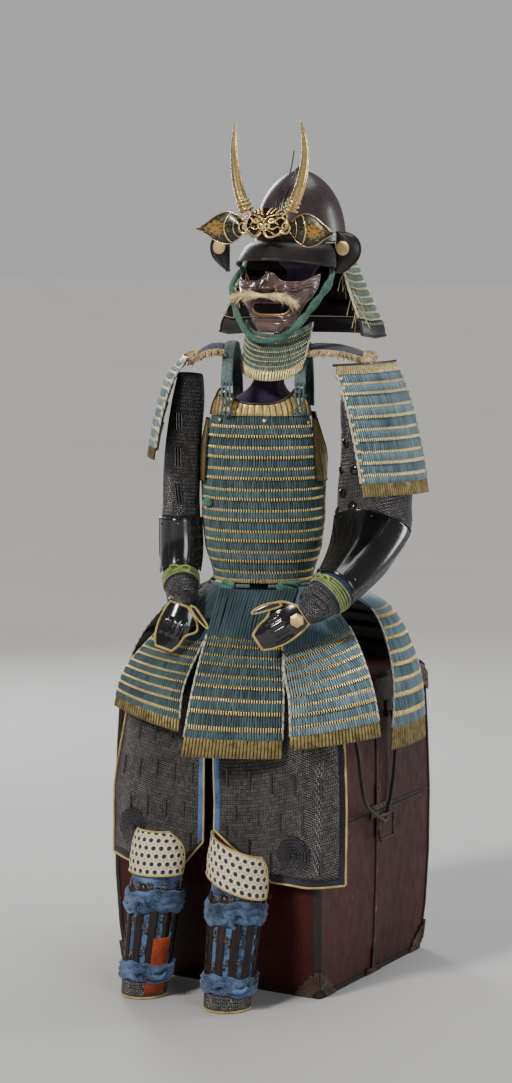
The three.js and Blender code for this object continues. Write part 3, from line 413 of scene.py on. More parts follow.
def cloth_paint(name, dark, light, threads=1500.0, size=9.0, sheen=0.25, depth=0.0004, on_cut=True):
    """Faded woven cloth between two colours. `on_cut` lays the weave on the piece's own UV map."""
    made, tree, shader = paint(name, roughness=0.92, specular=0.2, sheen=sheen)
    places = node(tree, "ShaderNodeTexCoord")
    cut = places.outputs["UV" if on_cut else "Object"]
    woven = use(tree, weave, {"Vector": cut, "Threads": threads})
    worn = use(tree, age, {"Vector": places.outputs["Object"], "Size": size})
    mixed = node(tree, "ShaderNodeMath",
                 {0: worn.outputs["Fine"], 1: 0.45,
                  2: node(tree, "ShaderNodeMath", {0: worn.outputs["Broad"], 1: 0.55},
                          operation="MULTIPLY").outputs[0]}, operation="MULTIPLY_ADD")
    tree.links.new(ramp(tree, mixed.outputs[0], [(0.38, dark), (0.62, light)]), shader.inputs["Base Color"])
    bump(tree, shader, woven.outputs["Height"], depth, 0.6)
    return made


green_crepe = cloth_paint("green crepe", (0.022, 0.085, 0.062), (0.10, 0.25, 0.18), threads=2600, size=30,
                          sheen=0.3)
dark_hemp = cloth_paint("dark hemp rope", (0.010, 0.008, 0.007), (0.036, 0.029, 0.024), threads=2600,
                        size=30)
blue_silk_cord = cloth_paint("blue silk cord", (0.025, 0.060, 0.070), (0.10, 0.17, 0.18), threads=2600,
                             size=30, sheen=0.4)

HELM = Vector((0.045, 0.021, 0))
CHIN_CORD = [
    (-0.098, -0.051, 1.386), (-0.108, -0.064, 1.368), (-0.109, -0.080, 1.348), (-0.093, -0.098, 1.318),
    (-0.072, -0.116, 1.290), (-0.052, -0.126, 1.268), (-0.029, -0.132, 1.253), (-0.004, -0.134, 1.248),
    (0.024, -0.132, 1.253), (0.048, -0.127, 1.266), (0.067, -0.118, 1.288), (0.084, -0.103, 1.315),
    (0.102, -0.084, 1.348), (0.105, -0.066, 1.370), (0.098, -0.052, 1.387)]
route, length = smooth_path([Vector(p) + HELM for p in CHIN_CORD], 220)
share = np.linspace(0, 1, 220)
doubled = np.clip((share - 0.50) / 0.12, 0, 1) * np.clip((0.97 - share) / 0.06, 0, 1)
two_strands, folds = strands(2, 0.085, 0.42), crepe(0.0046, 0.40)
chin_cord = sweep("chin_cord", route, 0.0064 + 0.0026 * doubled, green_crepe, 20,
                  lambda turn, along: folds(turn, along)
                  * two_strands(turn, along) ** np.clip((along - 0.5 * length) / 0.05, 0, 1))
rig.replaces(chin_cord, "helmet_cord")
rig.slot(chin_cord, "green_cord")
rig.cord(chin_cord, exit=route[0], length=length, diameter=0.015, far_end="object", stiffness="limp",
        lay="taut", path=route)
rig.ride(chin_cord, "root")

# The cuirass stands turned to the armour's left; its parts are set out facing the front.
TORSO = np.array((0, -0.045, 0))
TORSO_TURN = math.radians(24)
CUIRASS = [  # z, wide, deep, reach
    (0.779, 0.092, 0.08, 88), (0.803, 0.098, 0.084, 88), (0.842, 0.111, 0.092, 88),
    (0.901, 0.117, 0.098, 88), (0.968, 0.118, 0.101, 88), (1.005, 0.118, 0.101, 74),
    (1.041, 0.117, 0.1, 64), (1.104, 0.11, 0.092, 58), (1.16, 0.104, 0.082, 54),
]


def column(table, at, k):
    """Column `k` of a table sorted by its first column, straight between its rows."""
    rows = sorted(table)
    return np.interp(at, [r[0] for r in rows], [r[k] for r in rows])


def in_torso(points):
    p = np.asarray(points, float)
    c, s = math.cos(TORSO_TURN), math.sin(TORSO_TURN)
    return np.stack([p[..., 0] * c - p[..., 1] * s, p[..., 0] * s + p[..., 1] * c, p[..., 2]], -1) + TORSO


def torso_point(angle, z, out=0.0):
    """A point of the cuirass's outer face, `angle` degrees round from the front."""
    a = np.radians(angle)
    sn, cs = np.sin(a), np.cos(a)
    wide, deep = column(CUIRASS, z, 1) + out, column(CUIRASS, z, 2) + out
    return np.stack(np.broadcast_arrays(
        wide * np.sign(sn) * np.abs(sn) ** 0.88, -deep * np.sign(cs) * np.abs(cs) ** 0.88, z), -1)


waist = [torso_point(a, 0.779, 0.011) for a in np.linspace(8, 352, 40)]
route, length = smooth_path(in_torso([(x, y, 0.774) for x, y, _ in waist]), 200)
waist_cord = sweep("tied_waist_cord", route, 0.0041, blue_silk_cord, 10, strands(3, 0.022, 0.30))
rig.replaces(waist_cord, "waist_cord")
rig.slot(waist_cord, "blue_cloth")
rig.cord(waist_cord, exit=route[0], length=length, diameter=0.008, far_end="knot", stiffness="limp",
        lay="taut", path=route)
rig.ride(waist_cord, "root")

BOX_SIDE = 0.231
ROPE_LOOP = [  # y, z, out
    (-0.116, 0.52, 0.004), (-0.12, 0.47, 0.02), (-0.116, 0.42, 0.025), (-0.098, 0.368, 0.025),
    (-0.062, 0.338, 0.025), (-0.028, 0.32, 0.025), (0.006, 0.309, 0.016), (0.032, 0.322, 0.007),
    (0.048, 0.36, 0.007), (0.054, 0.41, 0.01), (0.054, 0.47, 0.012), (0.052, 0.52, 0.004),
]
for side, s in (("left", 1), ("right", -1)):
    route, length = smooth_path([(s * (BOX_SIDE + out), y, z) for y, z, out in ROPE_LOOP], 150)
    rope = sweep(f"twisted_rope_{side}", route, 0.0041, dark_hemp, 12, strands(3, 0.026, 0.34))
    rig.replaces(rope, f"box_rope_{side}")
    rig.slot(rope, "dark_rope")
    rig.cord(rope, exit=route[0], length=length, diameter=0.008, far_end="object", stiffness="limp",
            lay="hanging", path=route)
    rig.ride(rope, "root")

# ---------- armour box ----------
# A tall wooden box with a deep lid, coated in red-brown lacquer. Black lacquered posts cover its
# corners and foot, and iron mounts, straps and nails hold them.
def lacquer_paint(name, dark, light, chip_colour, roughness=0.28, size=5.0, chips=0.36, streak=(1, 1, 1),
                  specular=0.5, coat=0.3):
    """Old lacquer: a worn sheen, faint wiping marks, and small chips down to the ground."""
    made, tree, shader = paint(name, roughness=roughness, specular=specular, coat=coat)
    where = node(tree, "ShaderNodeMapping",
                 {"Vector": node(tree, "ShaderNodeTexCoord").outputs["Object"], "Scale": streak})
    worn = use(tree, age, {"Vector": where.outputs["Vector"], "Size": size})
    body = ramp(tree, worn.outputs["Broad"], [(0.32, dark), (0.68, light)])
    mask = node(tree, "ShaderNodeMath", {0: worn.outputs["Chips"], 1: chips}, operation="GREATER_THAN")
    mixed = node(tree, "ShaderNodeMix", {"Factor": mask.outputs[0], "A": body, "B": (*chip_colour, 1)},
                 data_type="RGBA")
    for socket in mixed.inputs:
        if socket.type == "RGBA" and socket.name == "A":
            tree.links.new(body, socket)
        if socket.type == "RGBA" and socket.name == "B":
            socket.default_value = (*chip_colour, 1)
    tree.links.new(next(o for o in mixed.outputs if o.type == "RGBA"), shader.inputs["Base Color"])
    rough = node(tree, "ShaderNodeMapRange",
                 {"Value": worn.outputs["Fine"], "From Min": 0.3, "From Max": 0.7,
                                              "To Min": roughness * 0.75, "To Max": roughness * 1.5})
    tree.links.new(rough.outputs["Result"], shader.inputs["Roughness"])
    bump(tree, shader, worn.outputs["Fine"], 0.0004, 0.25)
    return made


red_lacquer = lacquer_paint("red-brown lacquer", (0.017, 0.0026, 0.0022), (0.054, 0.0072, 0.0056),
                            (0.17, 0.065, 0.035),
                            roughness=0.42, size=4.0, chips=0.40, streak=(1, 1, 0.45), specular=0.3,
                            coat=0.0)
black_trim = lacquer_paint("black trim lacquer", (0.010, 0.008, 0.008), (0.022, 0.016, 0.015),
                           (0.08, 0.05, 0.038), roughness=0.42, size=8.0, chips=0.42, specular=0.3,
                           coat=0.0)
iron = lacquer_paint("browned iron", (0.036, 0.024, 0.018), (0.100, 0.070, 0.054), (0.20, 0.14, 0.10),
                     roughness=0.55, size=26.0, chips=0.33, coat=0.0)
iron.node_tree.nodes["Principled BSDF"].inputs["Metallic"].default_value = 0.6


def finish_node(name, material):
    frame["nodes"][name].data.materials.clear()
    frame["nodes"][name].data.materials.append(material)


for name in ("box_body", "box_lid"):
    finish_node(name, red_lacquer)
for name in ("box_ring_left", "box_ring_right"):
    finish_node(name, iron)

BOX_SIDES = [  # z, halfWidth, halfDepth
    (0, 0.222, 0.213), (0.09, 0.227, 0.228), (0.2, 0.23, 0.236), (0.33, 0.231, 0.236),
    (0.46, 0.229, 0.229), (0.588, 0.225, 0.22), (0.596, 0.219, 0.214),
]


def box_point(face, across, z, out=0.0):
    """A point on the box: `face` is +x, -x, +y or -y, and `across` runs along it."""
    half_x, half_y = column(BOX_SIDES, z, 1), column(BOX_SIDES, z, 2)
    s = -1 if face[0] == "-" else 1
    return (s * (half_x + out), across, z) if face[1] == "x" else (across, s * (half_y + out), z)


def wall_piece(name, grid, thickness, inside, material, wrap=False, hole=None, uv=None):
    """A closed wall of even thickness whose outer face is `grid` (rows of points), away from `inside`."""
    grid = np.asarray(grid, float)
    rows, columns = grid.shape[:2]
    if wrap:
        along = np.roll(grid, -1, 1) - np.roll(grid, 1, 1)
    else:
        along = np.gradient(grid, axis=1)
    down = np.gradient(grid, axis=0)
    normal = np.cross(along, down)
    normal /= np.maximum(np.linalg.norm(normal, axis=2), 1e-12)[..., None]
    if (normal * (grid - np.asarray(inside, float))).sum() < 0:
        normal = -normal
        flip = True
    else:
        flip = False
    depth = np.broadcast_to(thickness, (rows, columns))[..., None]
    points = np.concatenate([grid.reshape(-1, 3), (grid - normal * depth).reshape(-1, 3)])
    count = rows * columns
    if uv is None:
        u = np.cumsum(np.concatenate([np.zeros((rows, 1)), np.linalg.norm(np.diff(grid, axis=1), axis=2)],
                                     1), 1)
        u -= u[:, -1:] / 2
        v = np.cumsum(np.concatenate([np.zeros((1, columns)),
                                      np.linalg.norm(np.diff(grid, axis=0), axis=2)], 0), 0)
        uv = np.stack([u, v], -1)
    uv = np.concatenate([np.reshape(uv, (-1, 2))] * 2)
    faces, edges = [], {}
    for r in range(rows - 1):
        for c in range(columns if wrap else columns - 1):
            if hole and hole(r, c):
                continue
            n = (c + 1) % columns
            quad = (r * columns + c, r * columns + n, (r + 1) * columns + n, (r + 1) * columns + c)
            if not flip:
                quad = quad[::-1]
            quad = quad[::-1]
            faces.append(quad)
            faces.append(tuple(count + k for k in quad[::-1]))
            for a, b in zip(quad, quad[1:] + quad[:1]):
                if (b, a) in edges:
                    del edges[(b, a)]
                else:
                    edges[(a, b)] = True
    faces += [(b, a, a + count, b + count) for a, b in edges]
    return mesh_piece(name, points, faces, material, uv=uv)


def crisp(piece, angle=35):
    """Keeps edges sharper than `angle` crisp on a smooth-shaded piece."""
    mesh = piece.data
    mesh.update()
    limit = math.cos(math.radians(angle))
    normals = [p.normal.copy() for p in mesh.polygons]
    sides = {}
    for p in mesh.polygons:
        for key in p.edge_keys:
            sides.setdefault(key, []).append(p.index)
    for edge in mesh.edges:
        pair = sides.get(edge.key, [])
        edge.use_edge_sharp = len(pair) == 2 and normals[pair[0]].dot(normals[pair[1]]) < limit
    return piece


def join(name, parts):
    """One piece from several, with one material slot for each material."""
    bpy.ops.object.select_all(action="DESELECT")
    for part in parts:
        part.select_set(True)
    bpy.context.view_layer.objects.active = parts[0]
    bpy.ops.object.join()
    parts[0].name = parts[0].data.name = name
    return parts[0]


TRIM = {"stand": 0.0016, "post": 0.013, "foot": 0.010, "lip": 0.005}
levels = np.array([0.0006, 0.045, 0.09, 0.145, 0.2, 0.265, 0.3285])
upper_levels = np.array([0.3308, 0.395, 0.46, 0.525, 0.588, 0.5955])
trims = []
for part_levels in (levels, upper_levels):
    for sx in (-1, 1):
        for sy in (-1, 1):
            post = []
            for z in part_levels:
                hx = column(BOX_SIDES, z, 1) + TRIM["stand"]
                hy = column(BOX_SIDES, z, 2) + TRIM["stand"]
                r = 0.010
                bend = [(hx - r + r * math.sin(a), hy - r + r * math.cos(a))
                        for a in np.radians([0, 22, 45, 68, 90])]
                line = [(hx - TRIM["post"], hy)] + bend + [(hx, hy - TRIM["post"])]
                post.append([(sx * x, sy * y, z) for x, y in line])
            trims.append(crisp(wall_piece("post", post, 0.0030, (0, 0, 0.3), black_trim)))
for face in ("+x", "-x", "+y", "-y"):
    reach = 0.196
    for low, high in ((0.0006, TRIM["foot"]), (0.3308, 0.3308 + TRIM["lip"]),
                      (0.3285 - TRIM["lip"], 0.3285)):
        band = [[box_point(face, a, z, 0.0011) for a in np.linspace(-reach, reach, 5)] for z in (low, high)]
        trims.append(crisp(wall_piece("band", band, 0.0026, (0, 0, 0.3), black_trim)))
    strap_width = 0.0045
    for part_levels in (levels, upper_levels):
        strap = [[box_point(face, a, z, 0.0024) for a in (-strap_width, 0, strap_width)]
                 for z in part_levels]
        if face[1] == "x":
            trims.append(crisp(wall_piece("strap", strap, 0.0034, (0, 0, 0.3), iron)))
box_trim = join("box_trim", trims)
dress(box_trim, "black_lacquer")

# Scalloped iron corner mounts, the angle plates and the nails.
MOUNT = 0.056
MOUNT_EDGE = [(0.0, 1.0), (0.16, 0.97), (0.22, 0.80), (0.36, 0.86), (0.44, 0.68), (0.58, 0.60),
              (0.66, 0.44), (0.84, 0.38), (0.84, 0.22), (0.98, 0.16), (1.0, 0.0)]
mounts = []
nails = []
for sx in (-1, 1):
    for sy in (-1, 1):
        for z0, up in ((0.0008, 1), (0.5915, -1)):
            for face_x in (True, False):
                edge = np.array([(a, b) for a, b in MOUNT_EDGE]) * MOUNT
                grid = []
                for f in (0.0, 0.34, 0.67, 1.0):
                    row = []
                    for a, b in edge:
                        across, rise = a * f, b * f
                        z = z0 + up * rise
                        hx = column(BOX_SIDES, z, 1) + 0.0034
                        hy = column(BOX_SIDES, z, 2) + 0.0034
                        row.append((sx * hx, sy * (hy - across - 0.002), z) if face_x
                                   else (sx * (hx - across - 0.002), sy * hy, z))
                    grid.append(row)
                mounts.append(crisp(wall_piece("mount", grid[1:], 0.0016, (0, 0, 0.3), iron)))
                for a, b in ((0.20, 0.62), (0.62, 0.20), (0.25, 0.25)):
                    z = z0 + up * b * MOUNT
                    hx, hy = column(BOX_SIDES, z, 1) + 0.0038, column(BOX_SIDES, z, 2) + 0.0038
                    nails.append(((sx * hx, sy * (hy - a * MOUNT), z), (sx, 0, 0)) if face_x
                                 else ((sx * (hx - a * MOUNT), sy * hy, z), (0, sy, 0)))
for face in ("+x", "-x"):
    s = -1 if face[0] == "-" else 1
    for z0, up in ((0.0008, 1), (0.3285, -1), (0.3308, 1)):
        foot = [[box_point(face, a, z0 + up * b, 0.0040) for a in (-0.030, -0.012, 0.012, 0.030)]
                for b in (0, 0.012)]
        stem = [[box_point(face, a, z0 + up * b, 0.0040) for a in (-0.008, 0.008)]
                for b in (0.0125, 0.032, 0.052)]
        mounts += [crisp(wall_piece("plate", foot, 0.0014, (0, 0, 0.3), iron)),
                   crisp(wall_piece("plate", stem, 0.0014, (0, 0, 0.3), iron))]
        nails += [(box_point(face, a, z0 + up * b, 0.0044), (s, 0, 0)) for a,
                  b in ((-0.022, 0.006), (0.022, 0.006), (0, 0.044))]
    for y, z in ((-0.118, 0.524), (0.053, 0.524)):
        eye = [[box_point(face, y + a, z + b, 0.0030) for a in (-0.012, 0, 0.012)]
               for b in (-0.016, 0, 0.016)]
        mounts.append(crisp(wall_piece("eye plate", eye, 0.0028, (0, 0, 0.3), iron)))
box_mounts = join("box_mounts", mounts)
dress(box_mounts, "iron")

def set_inputs(modifier, values):
    """Sets a Geometry Nodes modifier's inputs by name, through each socket's identifier."""
    for item in modifier.node_group.interface.items_tree:
        if item.item_type == "SOCKET" and item.in_out == "INPUT" and item.name in values:
            modifier[item.identifier] = values[item.name]


def made_by(tree, guide, values, name, material):
    """Runs a Geometry Nodes tree on `guide` and keeps its result as a plain mesh piece."""
    modifier = guide.modifiers.new("made", "NODES")
    modifier.node_group = tree
    set_inputs(modifier, {**values, "Material": material})
    graph = bpy.context.evaluated_depsgraph_get()
    mesh = bpy.data.meshes.new_from_object(guide.evaluated_get(graph), preserve_all_data_layers=True,
                                           depsgraph=graph)
    bpy.data.objects.remove(guide)
    mesh.name = name
    piece = bpy.data.objects.new(name, mesh)
    bpy.context.collection.objects.link(piece)
    return piece


# Lays one small shape on every point, turned and sized as the point says, with a little disorder.
laying = bpy.data.node_groups.new("laid on points", "GeometryNodeTree")
for key, kind in (("Geometry", "Geometry"), ("Shape", "Object"), ("Disorder", "Float"), ("Seed", "Int"),
                  ("Material", "Material")):
    laying.interface.new_socket(key, in_out="INPUT", socket_type=f"NodeSocket{kind}")
laying.interface.new_socket("Geometry", in_out="OUTPUT", socket_type="NodeSocketGeometry")
given = laying.nodes.new("NodeGroupInput")
loose = node(laying, "ShaderNodeMath", {0: given.outputs["Disorder"], 1: -1.0}, operation="MULTIPLY")
tilt = node(laying, "FunctionNodeRandomValue", {"Seed": given.outputs["Seed"]}, data_type="FLOAT_VECTOR")
for key, source in (("Min", loose.outputs[0]), ("Max", given.outputs["Disorder"])):
    laying.links.new(source, next(i for i in tilt.inputs if i.name == key and i.type == "VECTOR"))
turn = node(laying, "GeometryNodeInputNamedAttribute", {"Name": "turn"}, data_type="FLOAT_VECTOR")
size = node(laying, "GeometryNodeInputNamedAttribute", {"Name": "size"}, data_type="FLOAT_VECTOR")
tilted = node(laying, "FunctionNodeRotateRotation", {
    "Rotation": node(laying, "FunctionNodeEulerToRotation",
                     {"Euler": turn.outputs["Attribute"]}).outputs[0],
    "Rotate By": node(laying, "FunctionNodeEulerToRotation",
                      {"Euler": next(o for o in tilt.outputs if o.type == "VECTOR")}).outputs[0]},
    rotation_space="LOCAL")
shape = node(laying, "GeometryNodeObjectInfo", {"Object": given.outputs["Shape"]})
copies = node(laying, "GeometryNodeInstanceOnPoints", {
    "Points": node(laying, "GeometryNodeMeshToPoints", {"Mesh": given.outputs["Geometry"]}).outputs[0],
    "Instance": shape.outputs["Geometry"], "Rotation": tilted.outputs[0],
    "Scale": size.outputs["Attribute"]})
shade = node(laying, "FunctionNodeRandomValue", {"Seed": given.outputs["Seed"]}, data_type="FLOAT")
shaded = node(laying, "GeometryNodeStoreNamedAttribute", {
    "Geometry": copies.outputs[0], "Name": "shade",
    "Value": next(o for o in shade.outputs if o.type == "VALUE")},
    data_type="FLOAT", domain="INSTANCE")
solid = node(laying, "GeometryNodeRealizeInstances", {"Geometry": shaded.outputs[0]})
dressed = node(laying, "GeometryNodeSetMaterial",
               {"Geometry": solid.outputs[0], "Material": given.outputs["Material"]})
laying.links.new(dressed.outputs[0], laying.nodes.new("NodeGroupOutput").inputs[0])

# Runs a round thread along every line of edges; `thick` is its radius at each point.
running = bpy.data.node_groups.new("threads along lines", "GeometryNodeTree")
for key, kind in (("Geometry", "Geometry"), ("Sides", "Int"), ("Material", "Material")):
    running.interface.new_socket(key, in_out="INPUT", socket_type=f"NodeSocket{kind}")
running.interface.new_socket("Geometry", in_out="OUTPUT", socket_type="NodeSocketGeometry")
given = running.nodes.new("NodeGroupInput")
thick = node(running, "GeometryNodeInputNamedAttribute", {"Name": "thick"}, data_type="FLOAT")
round_section = node(running, "GeometryNodeCurvePrimitiveCircle",
                     {"Resolution": given.outputs["Sides"], "Radius": 1.0})
threads = node(running, "GeometryNodeCurveToMesh", {
    "Curve": node(running, "GeometryNodeMeshToCurve", {"Mesh": given.outputs["Geometry"]}).outputs[0],
    "Profile Curve": round_section.outputs[0], "Fill Caps": True,
    "Scale": next(o for o in thick.outputs if o.enabled and o.name == "Attribute")})
solid = node(running, "GeometryNodeRealizeInstances", {"Geometry": threads.outputs[0]})
dressed = node(running, "GeometryNodeSetMaterial",
               {"Geometry": solid.outputs[0], "Material": given.outputs["Material"]})
running.links.new(dressed.outputs[0], running.nodes.new("NodeGroupOutput").inputs[0])


def turns(x_axis, y_axis):
    """Euler angles that take x and y to the given directions, one row for each point."""
    z = np.cross(x_axis, y_axis)
    z /= np.linalg.norm(z, axis=-1)[..., None]
    x = x_axis / np.linalg.norm(x_axis, axis=-1)[..., None]
    y = np.cross(z, x)
    return np.stack([np.arctan2(y[..., 2], z[..., 2]), -np.arcsin(np.clip(x[..., 2], -1, 1)),
                     np.arctan2(x[..., 1], x[..., 0])], -1)


def lay(name, points, turn, size, shape, material, disorder=0.0, seed=1, tone=None):
    """Copies of `shape` on `points`, as one plain mesh piece."""
    points = np.reshape(points, (-1, 3))
    guide = mesh_piece("guide", points, [])
    for key, values in (("turn", turn), ("size", np.broadcast_to(size, points.shape))):
        guide.data.attributes.new(key, "FLOAT_VECTOR", "POINT").data.foreach_set("vector",
            np.ravel(values).astype(np.float32))
    tones = np.zeros(len(points)) if tone is None else np.ravel(tone)
    guide.data.attributes.new("tone", "FLOAT", "POINT").data.foreach_set("value", tones.astype(np.float32))
    return made_by(laying, guide, {"Shape": shape, "Disorder": disorder, "Seed": seed}, name, material)


def run(name, lines, radius, material, sides=6):
    """Threads along `lines` (each a row of points); `radius` is one number or one row for each line."""
    points, edges, radii = [], [], []
    for k, line in enumerate(lines):
        start = len(points)
        points += [tuple(p) for p in line]
        edges += [(start + i, start + i + 1) for i in range(len(line) - 1)]
        own = radius if np.isscalar(radius) else radius[k]
        radii += list(np.broadcast_to(own, len(line)))
    mesh = bpy.data.meshes.new("guide")
    mesh.from_pydata(points, edges, [])
    mesh.attributes.new("thick", "FLOAT", "POINT").data.foreach_set("value", np.array(radii, np.float32))
    guide = bpy.data.objects.new("guide", mesh)
    bpy.context.collection.objects.link(guide)
    piece = made_by(running, guide, {"Sides": sides}, name, material)
    piece.data.polygons.foreach_set("use_smooth", [True] * len(piece.data.polygons))
    return piece


def domed(name, across, rise):
    """A round-headed nail or boss, `across` wide, standing `rise` high on the x-y plane."""
    sides, rings = 8, (1.0, 0.86, 0.5, 0.0)
    points, faces = [], []
    for r in rings[:-1]:
        h = rise * math.sqrt(max(0.0, 1 - r * r))
        points += [(across / 2 * r * math.cos(2 * math.pi * k / sides),
                    across / 2 * r * math.sin(2 * math.pi * k / sides), h) for k in range(sides)]
    points.append((0, 0, rise))
    for i in range(len(rings) - 2):
        faces += [(i * sides + k, i * sides + (k + 1) % sides, (i + 1) * sides + (k + 1) % sides,
                   (i + 1) * sides + k) for k in range(sides)]
    top = (len(rings) - 2) * sides
    faces += [(top + k, top + (k + 1) % sides, len(points) - 1) for k in range(sides)]
    faces.append(tuple(range(sides))[::-1])
    return mesh_piece(name, points, faces)


def facing(normals):
    """Turns that stand a shape's z axis along each normal."""
    n = np.asarray(normals, float)
    x = np.cross((0, 0, 1), n)
    x[np.linalg.norm(x, axis=1) < 1e-6] = (1, 0, 0)
    return turns(x, np.cross(n, x))


nail_head = domed("nail head", 1.0, 0.28)
box_nails = lay("box_nails", [p for p, _ in nails], facing([n for _, n in nails]), (0.0062, 0.0062, 0.0062),
                nail_head, iron)
dress(box_nails, "iron")

# ---------- stand ----------
# A padded form and head block in one dark purple cover, which takes the weight of the armour.
purple_cloth = cloth_paint("purple cover", (0.020, 0.012, 0.032), (0.048, 0.030, 0.074), threads=1800,
                           size=7, on_cut=False)
STAND = [  # x, y, z, wide, deep, turn
    (0, -0.04, 0.5964, 0.19, 0.134, 12), (0, -0.04, 0.64, 0.182, 0.122, 14),
    (0, -0.042, 0.68, 0.158, 0.092, 18), (0, -0.044, 0.715, 0.126, 0.076, 22),
    (0, -0.045, 0.745, 0.09, 0.066, 24), (0, -0.045, 0.775, 0.07, 0.058, 24),
    (0, -0.045, 0.85, 0.066, 0.05, 24), (0, -0.045, 1.05, 0.076, 0.05, 24),
    (0.002, -0.043, 1.12, 0.072, 0.044, 24), (0.004, -0.038, 1.155, 0.036, 0.03, 24),
    (0.012, -0.024, 1.2, 0.022, 0.022, 24), (0.025, -0.006, 1.26, 0.02, 0.02, 24),
    (0.045, 0.021, 1.37, 0.026, 0.028, 0), (0.045, 0.021, 1.4, 0.042, 0.046, 0),
    (0.045, 0.021, 1.47, 0.05, 0.056, 0), (0.045, 0.021, 1.525, 0.038, 0.042, 0),
    (0.045, 0.021, 1.55, 0.018, 0.02, 0),
]


def oval(x, y, z, wide, deep, turn=0.0, sides=48):
    a = np.linspace(0, 2 * math.pi, sides, endpoint=False)
    px, py = wide * np.sin(a), -deep * np.cos(a)
    c, s = math.cos(math.radians(turn)), math.sin(math.radians(turn))
    return np.stack([x + px * c - py * s, y + px * s + py * c, np.full(sides, z)], -1)


def finer(table, count):
    """`count` rows evenly spaced on smooth curves through a table's rows."""
    table = np.asarray(table, float)
    at = np.linspace(0, len(table) - 1, count)
    i = np.clip(at.astype(int), 0, len(table) - 2)
    f = (at - i)[:, None]
    row = lambda k: table[np.clip(k, 0, len(table) - 1)]
    p0, p1, p2, p3 = row(i - 1), row(i), row(i + 1), row(i + 2)
    return 0.5 * (2 * p1 + (p2 - p0) * f + (2 * p0 - 5 * p1 + 4 * p2 - p3) * f ** 2
                  + (3 * p1 - p0 - 3 * p2 + p3) * f ** 3)


def skin(name, rings, material, uv=None):
    """A closed form skinned over rings of equally many points."""
    rings = np.asarray(rings, float)
    rows, sides = rings.shape[:2]
    points = np.vstack([rings.reshape(-1, 3), rings[0].mean(0)[None], rings[-1].mean(0)[None]])
    faces = [(r * sides + c, r * sides + (c + 1) % sides, (r + 1) * sides + (c + 1) % sides,
              (r + 1) * sides + c)
             for r in range(rows - 1) for c in range(sides)]
    faces += [((c + 1) % sides, c, rows * sides) for c in range(sides)]
    faces += [((rows - 1) * sides + c, (rows - 1) * sides + (c + 1) % sides, rows * sides + 1)
              for c in range(sides)]
    if uv is not None:
        uv = np.vstack([np.reshape(uv, (-1, 2)), (0, 0), (0, 0)])
    piece = mesh_piece(name, points, faces, material, uv=uv)
    volume = sum(np.dot(points[f[0]], np.cross(points[f[1]], points[f[2]]))
                 + (np.dot(points[f[0]], np.cross(points[f[2]], points[f[3]])) if len(f) == 4 else 0)
                 for f in faces)
    if volume < 0:
        piece.data.flip_normals()
    return piece


cover = []
for x, y, z, wide, deep, turned in finer(STAND, 90):
    ring = oval(x, y, max(z, 0.5964), wide, deep, turned)
    a = np.linspace(0, 2 * math.pi, 48, endpoint=False)
    sag = 0.0022 * np.sin(5 * a + z * 38) * np.sin(z * 61 + 1.3) + 0.0012 * np.sin(11 * a - z * 70)
    middle = ring.mean(0)
    out = ring - middle
    out /= np.linalg.norm(out, axis=1)[:, None]
    cover.append(ring + out * (np.minimum(sag, 0.0018) - 0.001)[:, None])
stand_cover = skin("stand_cover", cover, purple_cloth)
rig.replaces(stand_cover, "stand_form")
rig.slot(stand_cover, "purple_cloth")
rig.padded(stand_cover, fill=0.9)
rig.ride(stand_cover, "root")

# ---------- cuirass ----------
# Rows of gilt scales, each row laced to the next with silk braids: a tall band of braids, the
# scales' gilt heads, a short band that binds the row, and the heads' feet.
def braid_paint(name, dark, light, fleck):
    """Flat silk braid seen from outside: two legs of slanting plaits, faded and rubbed, with painted light on the
    plaits' ridges and painted shade in their grooves.
    """
    made, tree, shader = paint(name, roughness=0.62, specular=0.3, sheen=0.35)
    places = node(tree, "ShaderNodeTexCoord")
    cut = node(tree, "ShaderNodeSeparateXYZ", {"Vector": places.outputs["UV"]})
    away = node(tree, "ShaderNodeMath",
                {0: node(tree, "ShaderNodeMath", {0: cut.outputs["X"], 1: 0.5},
                         operation="SUBTRACT").outputs[0]}, operation="ABSOLUTE")
    slant = node(tree, "ShaderNodeMath",
                 {0: away.outputs[0], 1: 3.0, 2: node(tree, "ShaderNodeMath", {0: cut.outputs["Y"], 1: 7.0},
                     operation="MULTIPLY").outputs[0]}, operation="MULTIPLY_ADD")
    plait = node(tree, "ShaderNodeMath",
                 {0: node(tree, "ShaderNodeMath", {0: slant.outputs[0], 1: 6.2832},
                          operation="MULTIPLY").outputs[0]}, operation="SINE")
    worn = use(tree, age, {"Vector": places.outputs["Object"], "Size": 11.0})
    shade = node(tree, "ShaderNodeAttribute", attribute_name="shade")
    tone = node(tree, "ShaderNodeAttribute", attribute_name="tone")
    total = node(tree, "ShaderNodeMath",
                 {0: shade.outputs["Fac"], 1: 0.30,
                  2: node(tree, "ShaderNodeMath", {0: worn.outputs["Broad"], 1: 0.55,
                      2: tone.outputs["Fac"]}, operation="MULTIPLY_ADD").outputs[0]},
                      operation="MULTIPLY_ADD")
    # Painted light and shade: each plait's ridge is painted lighter and its groove darker, over the faded and rubbed
    # tone.
    fade_and_plait_shade = node(tree, "ShaderNodeMath", {0: plait.outputs[0], 1: 0.09, 2: total.outputs[0]},
               operation="MULTIPLY_ADD")
    tree.links.new(ramp(tree, fade_and_plait_shade.outputs[0],
                        [(0.22, dark), (0.46, tuple(0.5 * (a + b) for a, b in zip(dark, light))),
                         (0.72, light), (0.95, fleck)]), shader.inputs["Base Color"])
    bump(tree, shader, plait.outputs[0], 0.0004, 0.7)
    return made


teal_braid = braid_paint("teal braid", (0.010, 0.034, 0.045), (0.080, 0.158, 0.168), (0.23, 0.33, 0.30))
pale_braid = braid_paint("pale blue braid", (0.032, 0.080, 0.108), (0.190, 0.305, 0.350),
                         (0.40, 0.50, 0.52))
green_braid = braid_paint("grey-green braid", (0.030, 0.065, 0.058), (0.150, 0.245, 0.215),
                          (0.38, 0.45, 0.36))


